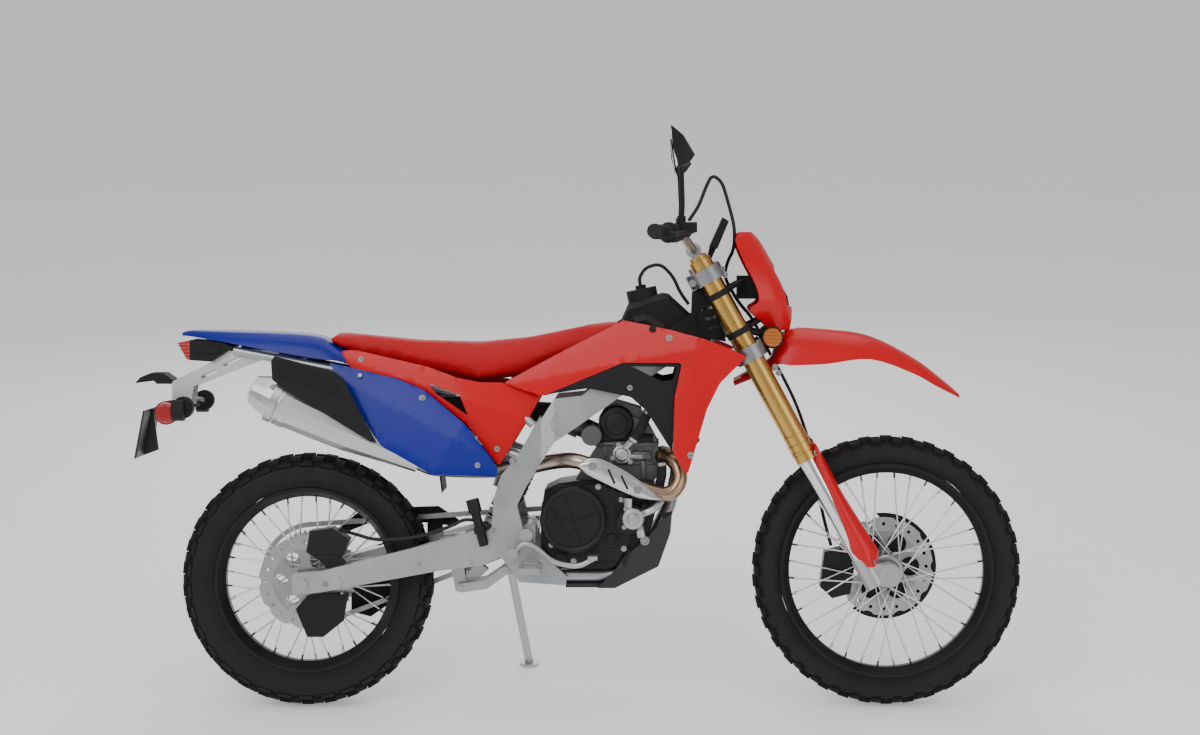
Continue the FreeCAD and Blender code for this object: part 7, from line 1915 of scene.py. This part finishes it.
@dataclass
class Tail:
    """Round side lamps, the lamp case's relief and the muffler's strap, in millimetres."""

    reflector: tuple[float, float] = (-352, 768)
    signal: tuple[float, float] = (-302, 785)
    muffler_tail: tuple[float, float, float] = (-92, 128, 818)
    muffler_front: tuple[float, float, float] = (300, 104, 640)

    def disc(self, spot: tuple[float, float], out: float, radius: float, thick: float,
             dome: float) -> BMesh:
        """A round pod with a domed outer face, looking right."""
        edge = out + thick
        profile = ((0, out), (radius * 0.85, out), (radius, out + 2), (radius, edge),
                   (radius * 0.9, edge + dome * 0.6), (radius * 0.5, edge + dome * 0.9), (0, edge + dome))
        return turned([(away * MM, -place * MM) for away, place in profile], 40, right(spot[0], 0, spot[1]))

    def pair(self, name: str, finish: Finish, *parts: BMesh) -> None:
        """One piece from parts and their mirror images."""
        piece = Piece(name, "chassis", finish)
        piece.both(*parts)
        piece.finished()

    def build(self) -> None:
        """Make the tail's small parts."""
        link = rod(right(-352, 60, 768), right(-352, 98, 768), 0.007)
        self.pair("rear_side_rims", Finish.BLACK, self.disc(self.reflector, 96, 30.5, 9, 0.5),
                  self.disc(self.signal, 120, 27, 20, 5), link)
        self.pair("rear_stalks", Finish.ALLOY, rod(right(-330, 96, 790), right(-304, 124, 786), 0.008))
        self.pair("rear_side_reflectors", Finish.RED_LENS, self.disc(self.reflector, 104, 28, 2, 1.5))
        oval = turned([(0.0, -0.001), (0.0175, -0.001), (0.017, 0.003), (0.0135, 0.004), (0.012, 0.002),
                       (0.0, 0.002)], 32, Vector(), RIGHTWARD)
        bmesh.ops.scale(oval, vec=(1.9, 1.0, 0.75), verts=oval.verts)
        spot = SURFACE.spot("lamp_housings", -252, 928)
        if spot:
            bmesh.ops.translate(oval, vec=spot, verts=oval.verts)
            self.pair("lamp_case_relief", Finish.BLACK, oval)
        self.strap()

    def strap(self) -> None:
        """A band and its screw round the muffler's rear."""
        tail = right(*self.muffler_tail)
        way = (right(*self.muffler_front) - tail).normalized()
        piece = Piece("muffler_strap", "chassis", Finish.STEEL)
        for along, half, radius in ((0.028, 0.010, 0.0636), (0.047, 0.0016, 0.0632)):
            inner = radius - 0.003
            band = turned([(inner, -half), (radius, -half), (radius, half), (inner, half)], 48, Vector(), way)
            bmesh.ops.scale(band, vec=(1.0, 0.76, 1.0), verts=band.verts)
            bmesh.ops.translate(band, vec=tail + way * along, verts=band.verts)
            piece.add(band)
        screw = SURFACE.spot("muffler", -66, 838, 1.0)
        if screw:
            piece.add(bolt(screw, RIGHTWARD, 0.0055, 0.006))
        piece.finished()


@dataclass
class Draped(Panel):
    """A panel that lies on a CAD node's right side instead of on a plane."""

    carrier: str = "main_frame"
    drops: Sequence[float] = (0, 12, 24, 36)

    def face(self, x: float, z: float) -> float:
        """Distance of the outer face from the motorcycle's middle plane, in millimetres."""
        spots = (SURFACE.spot(self.carrier, x, z - drop) for drop in self.drops)
        spot = next((spot for spot in spots if spot), Vector())
        return max(self.place, -spot.y / MM) + self.thick


@dataclass(frozen=True)
class Louvre:
    """The black slotted guide behind the fork, in two sheets, in millimetres."""

    line: Sequence[tuple[float, float]] = (
        (1003, 1078), (1030, 1088), (1066, 1022), (1092, 948), (1040, 958), (1000, 1000))
    rear: Sequence[tuple[float, float]] = (
        (944, 986), (1000, 1022), (1022, 1022), (1050, 968), (1050, 940), (960, 940))
    slot: Sequence[tuple[float, float]] = ((1030, 1026), (1056, 1034), (1053, 1042), (1027, 1034))
    out: float = 45.0

    def build(self) -> None:
        """Make the guide on both sides, with three slots cut in its front sheet."""
        slots = [[(x + 9 * number, z - 24 * number) for x, z in self.slot] for number in range(3)]
        front = Panel("neck_guides", "", Finish.BLACK, self.line, self.out - 3, 1003, 948, thick=3.0,
                      corner=5, cell=30, windows=slots)
        rear = Draped("neck_guides", "", Finish.BLACK, self.rear, self.out - 6, 944, 940, thick=2.5,
                      corner=4, cell=10)
        piece = Piece("neck_guides", "chassis", Finish.BLACK, smooth=24.0)
        piece.both(front.sheet(), rear.sheet())
        piece.finished(outward=False)


@dataclass
class Studio:
    """Pale floor, soft light and the camera of the photograph's view."""

    distance: float = 5.8
    ahead: float = 0.9215
    height: float = 1.2
    focal_share: float = 2214 / 1200
    across: float = -61 / 1200
    up: float = -122.5 / 1200
    sensor: float = 36.0
    sight: float = 200.0
    floor_half: float = 70.0
    white: tuple[float, float, float, float] = (1.0, 1.0, 1.0, 1.0)

    def camera(self) -> None:
        """Place the camera square to the motorcycle's right side."""
        data = bpy.data.cameras.new("camera")
        data.sensor_width = self.sensor
        data.lens = self.sensor * self.focal_share
        data.shift_x = self.across
        data.shift_y = self.up
        data.clip_end = self.sight
        thing = shown("camera", data)
        spot = Matrix.Translation((self.ahead, -self.distance, self.height))
        thing.matrix_world = PARK @ spot @ Matrix.Rotation(math.pi / 2, 4, "X")
        bpy.context.scene.camera = thing

    def floor(self) -> None:
        """A wide pale floor, just under the tyres."""
        bm = bmesh.new()
        bmesh.ops.create_grid(bm, x_segments=2, y_segments=2, size=self.floor_half)
        bmesh.ops.translate(bm, vec=(0, 0, -0.0005), verts=bm.verts)
        mesh = bpy.data.meshes.new("floor")
        bm.to_mesh(mesh)
        bm.free()
        graph = Graph("pale_floor")
        graph.set(Base_Color=graph.mix(graph.noise(2.0), (0.86, 0.86, 0.86), (0.9, 0.9, 0.9)))
        graph.set(Roughness=0.9, Emission_Color=self.white, Emission_Strength=0.3)
        mesh.materials.append(graph.material)
        shown("floor", mesh)

    def light(self, name: str, spot: Vector, size: float, power: float) -> None:
        """A square soft light aimed at the motorcycle."""
        data = bpy.data.lights.new(name, "AREA")
        data.shape = "SQUARE"
        data.size = size
        data.energy = power
        thing = shown(name, data)
        thing.location = spot
        thing.rotation_euler = (Vector((0.1, 0, 0.6)) - spot).to_track_quat("-Z", "Y").to_euler()

    def build(self) -> None:
        """Set the stage."""
        self.camera()
        self.floor()
        self.light("key", Vector((-1.6, -3.4, 3.6)), 3.0, 85.0)
        self.light("fill", Vector((3.2, -3.0, 2.0)), 2.5, 35.0)
        self.light("top", Vector((0.2, 0.6, 4.2)), 3.5, 55.0)
        self.light("rim", Vector((-0.5, 3.5, 2.4)), 2.5, 40.0)
        world = bpy.data.worlds.new("studio")
        world.use_nodes = True
        inputs = world.node_tree.nodes["Background"].inputs
        inputs["Color"].default_value = self.white
        inputs["Strength"].default_value = 0.45
        bpy.context.scene.world = world


def dress_nodes(sharp: float = 32.0) -> None:
    """Give every CAD node that stays in view its finish."""
    for name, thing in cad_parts.items():
        thing.data.materials.clear()
        thing.data.materials.append(NODE_FINISHES[name].material())
        thing.data.shade_smooth()
        thing.data.set_sharp_from_angle(angle=math.radians(sharp))


def main() -> None:
    """Build the stage, the finishes and the fine pieces."""
    logging.basicConfig(level=logging.INFO, format="%(name)s %(message)s")
    Studio().build()
    dress_nodes()
    assemblies = (
        Tyre("rear_tyre", "rear_wheel", Finish.REAR_TYRE, REAR_AXLE, 0.328, 0.057, 0.242, 0.042),
        Tyre("front_tyre", "front_wheel", Finish.FRONT_TYRE, FRONT_AXLE, 0.351, 0.045, 0.281, 0.030, count=38),
        DriveChain(), ShockSpring(), Seat(), Bodywork(), Fenders(), ForkGuards(), Engine(), Exhaust(),
        FrameTrim(),
        WheelTrim("rear_wheel", "rear_wheel", REAR_AXLE, 0.242, 0.042),
        WheelTrim("front_wheel", "front_wheel", FRONT_AXLE, 0.281, 0.030),
        ForkTrim(), Cockpit(), Tail(), Louvre())
    for assembly in assemblies:
        assembly.build()


if __name__ == "__main__":
    main()
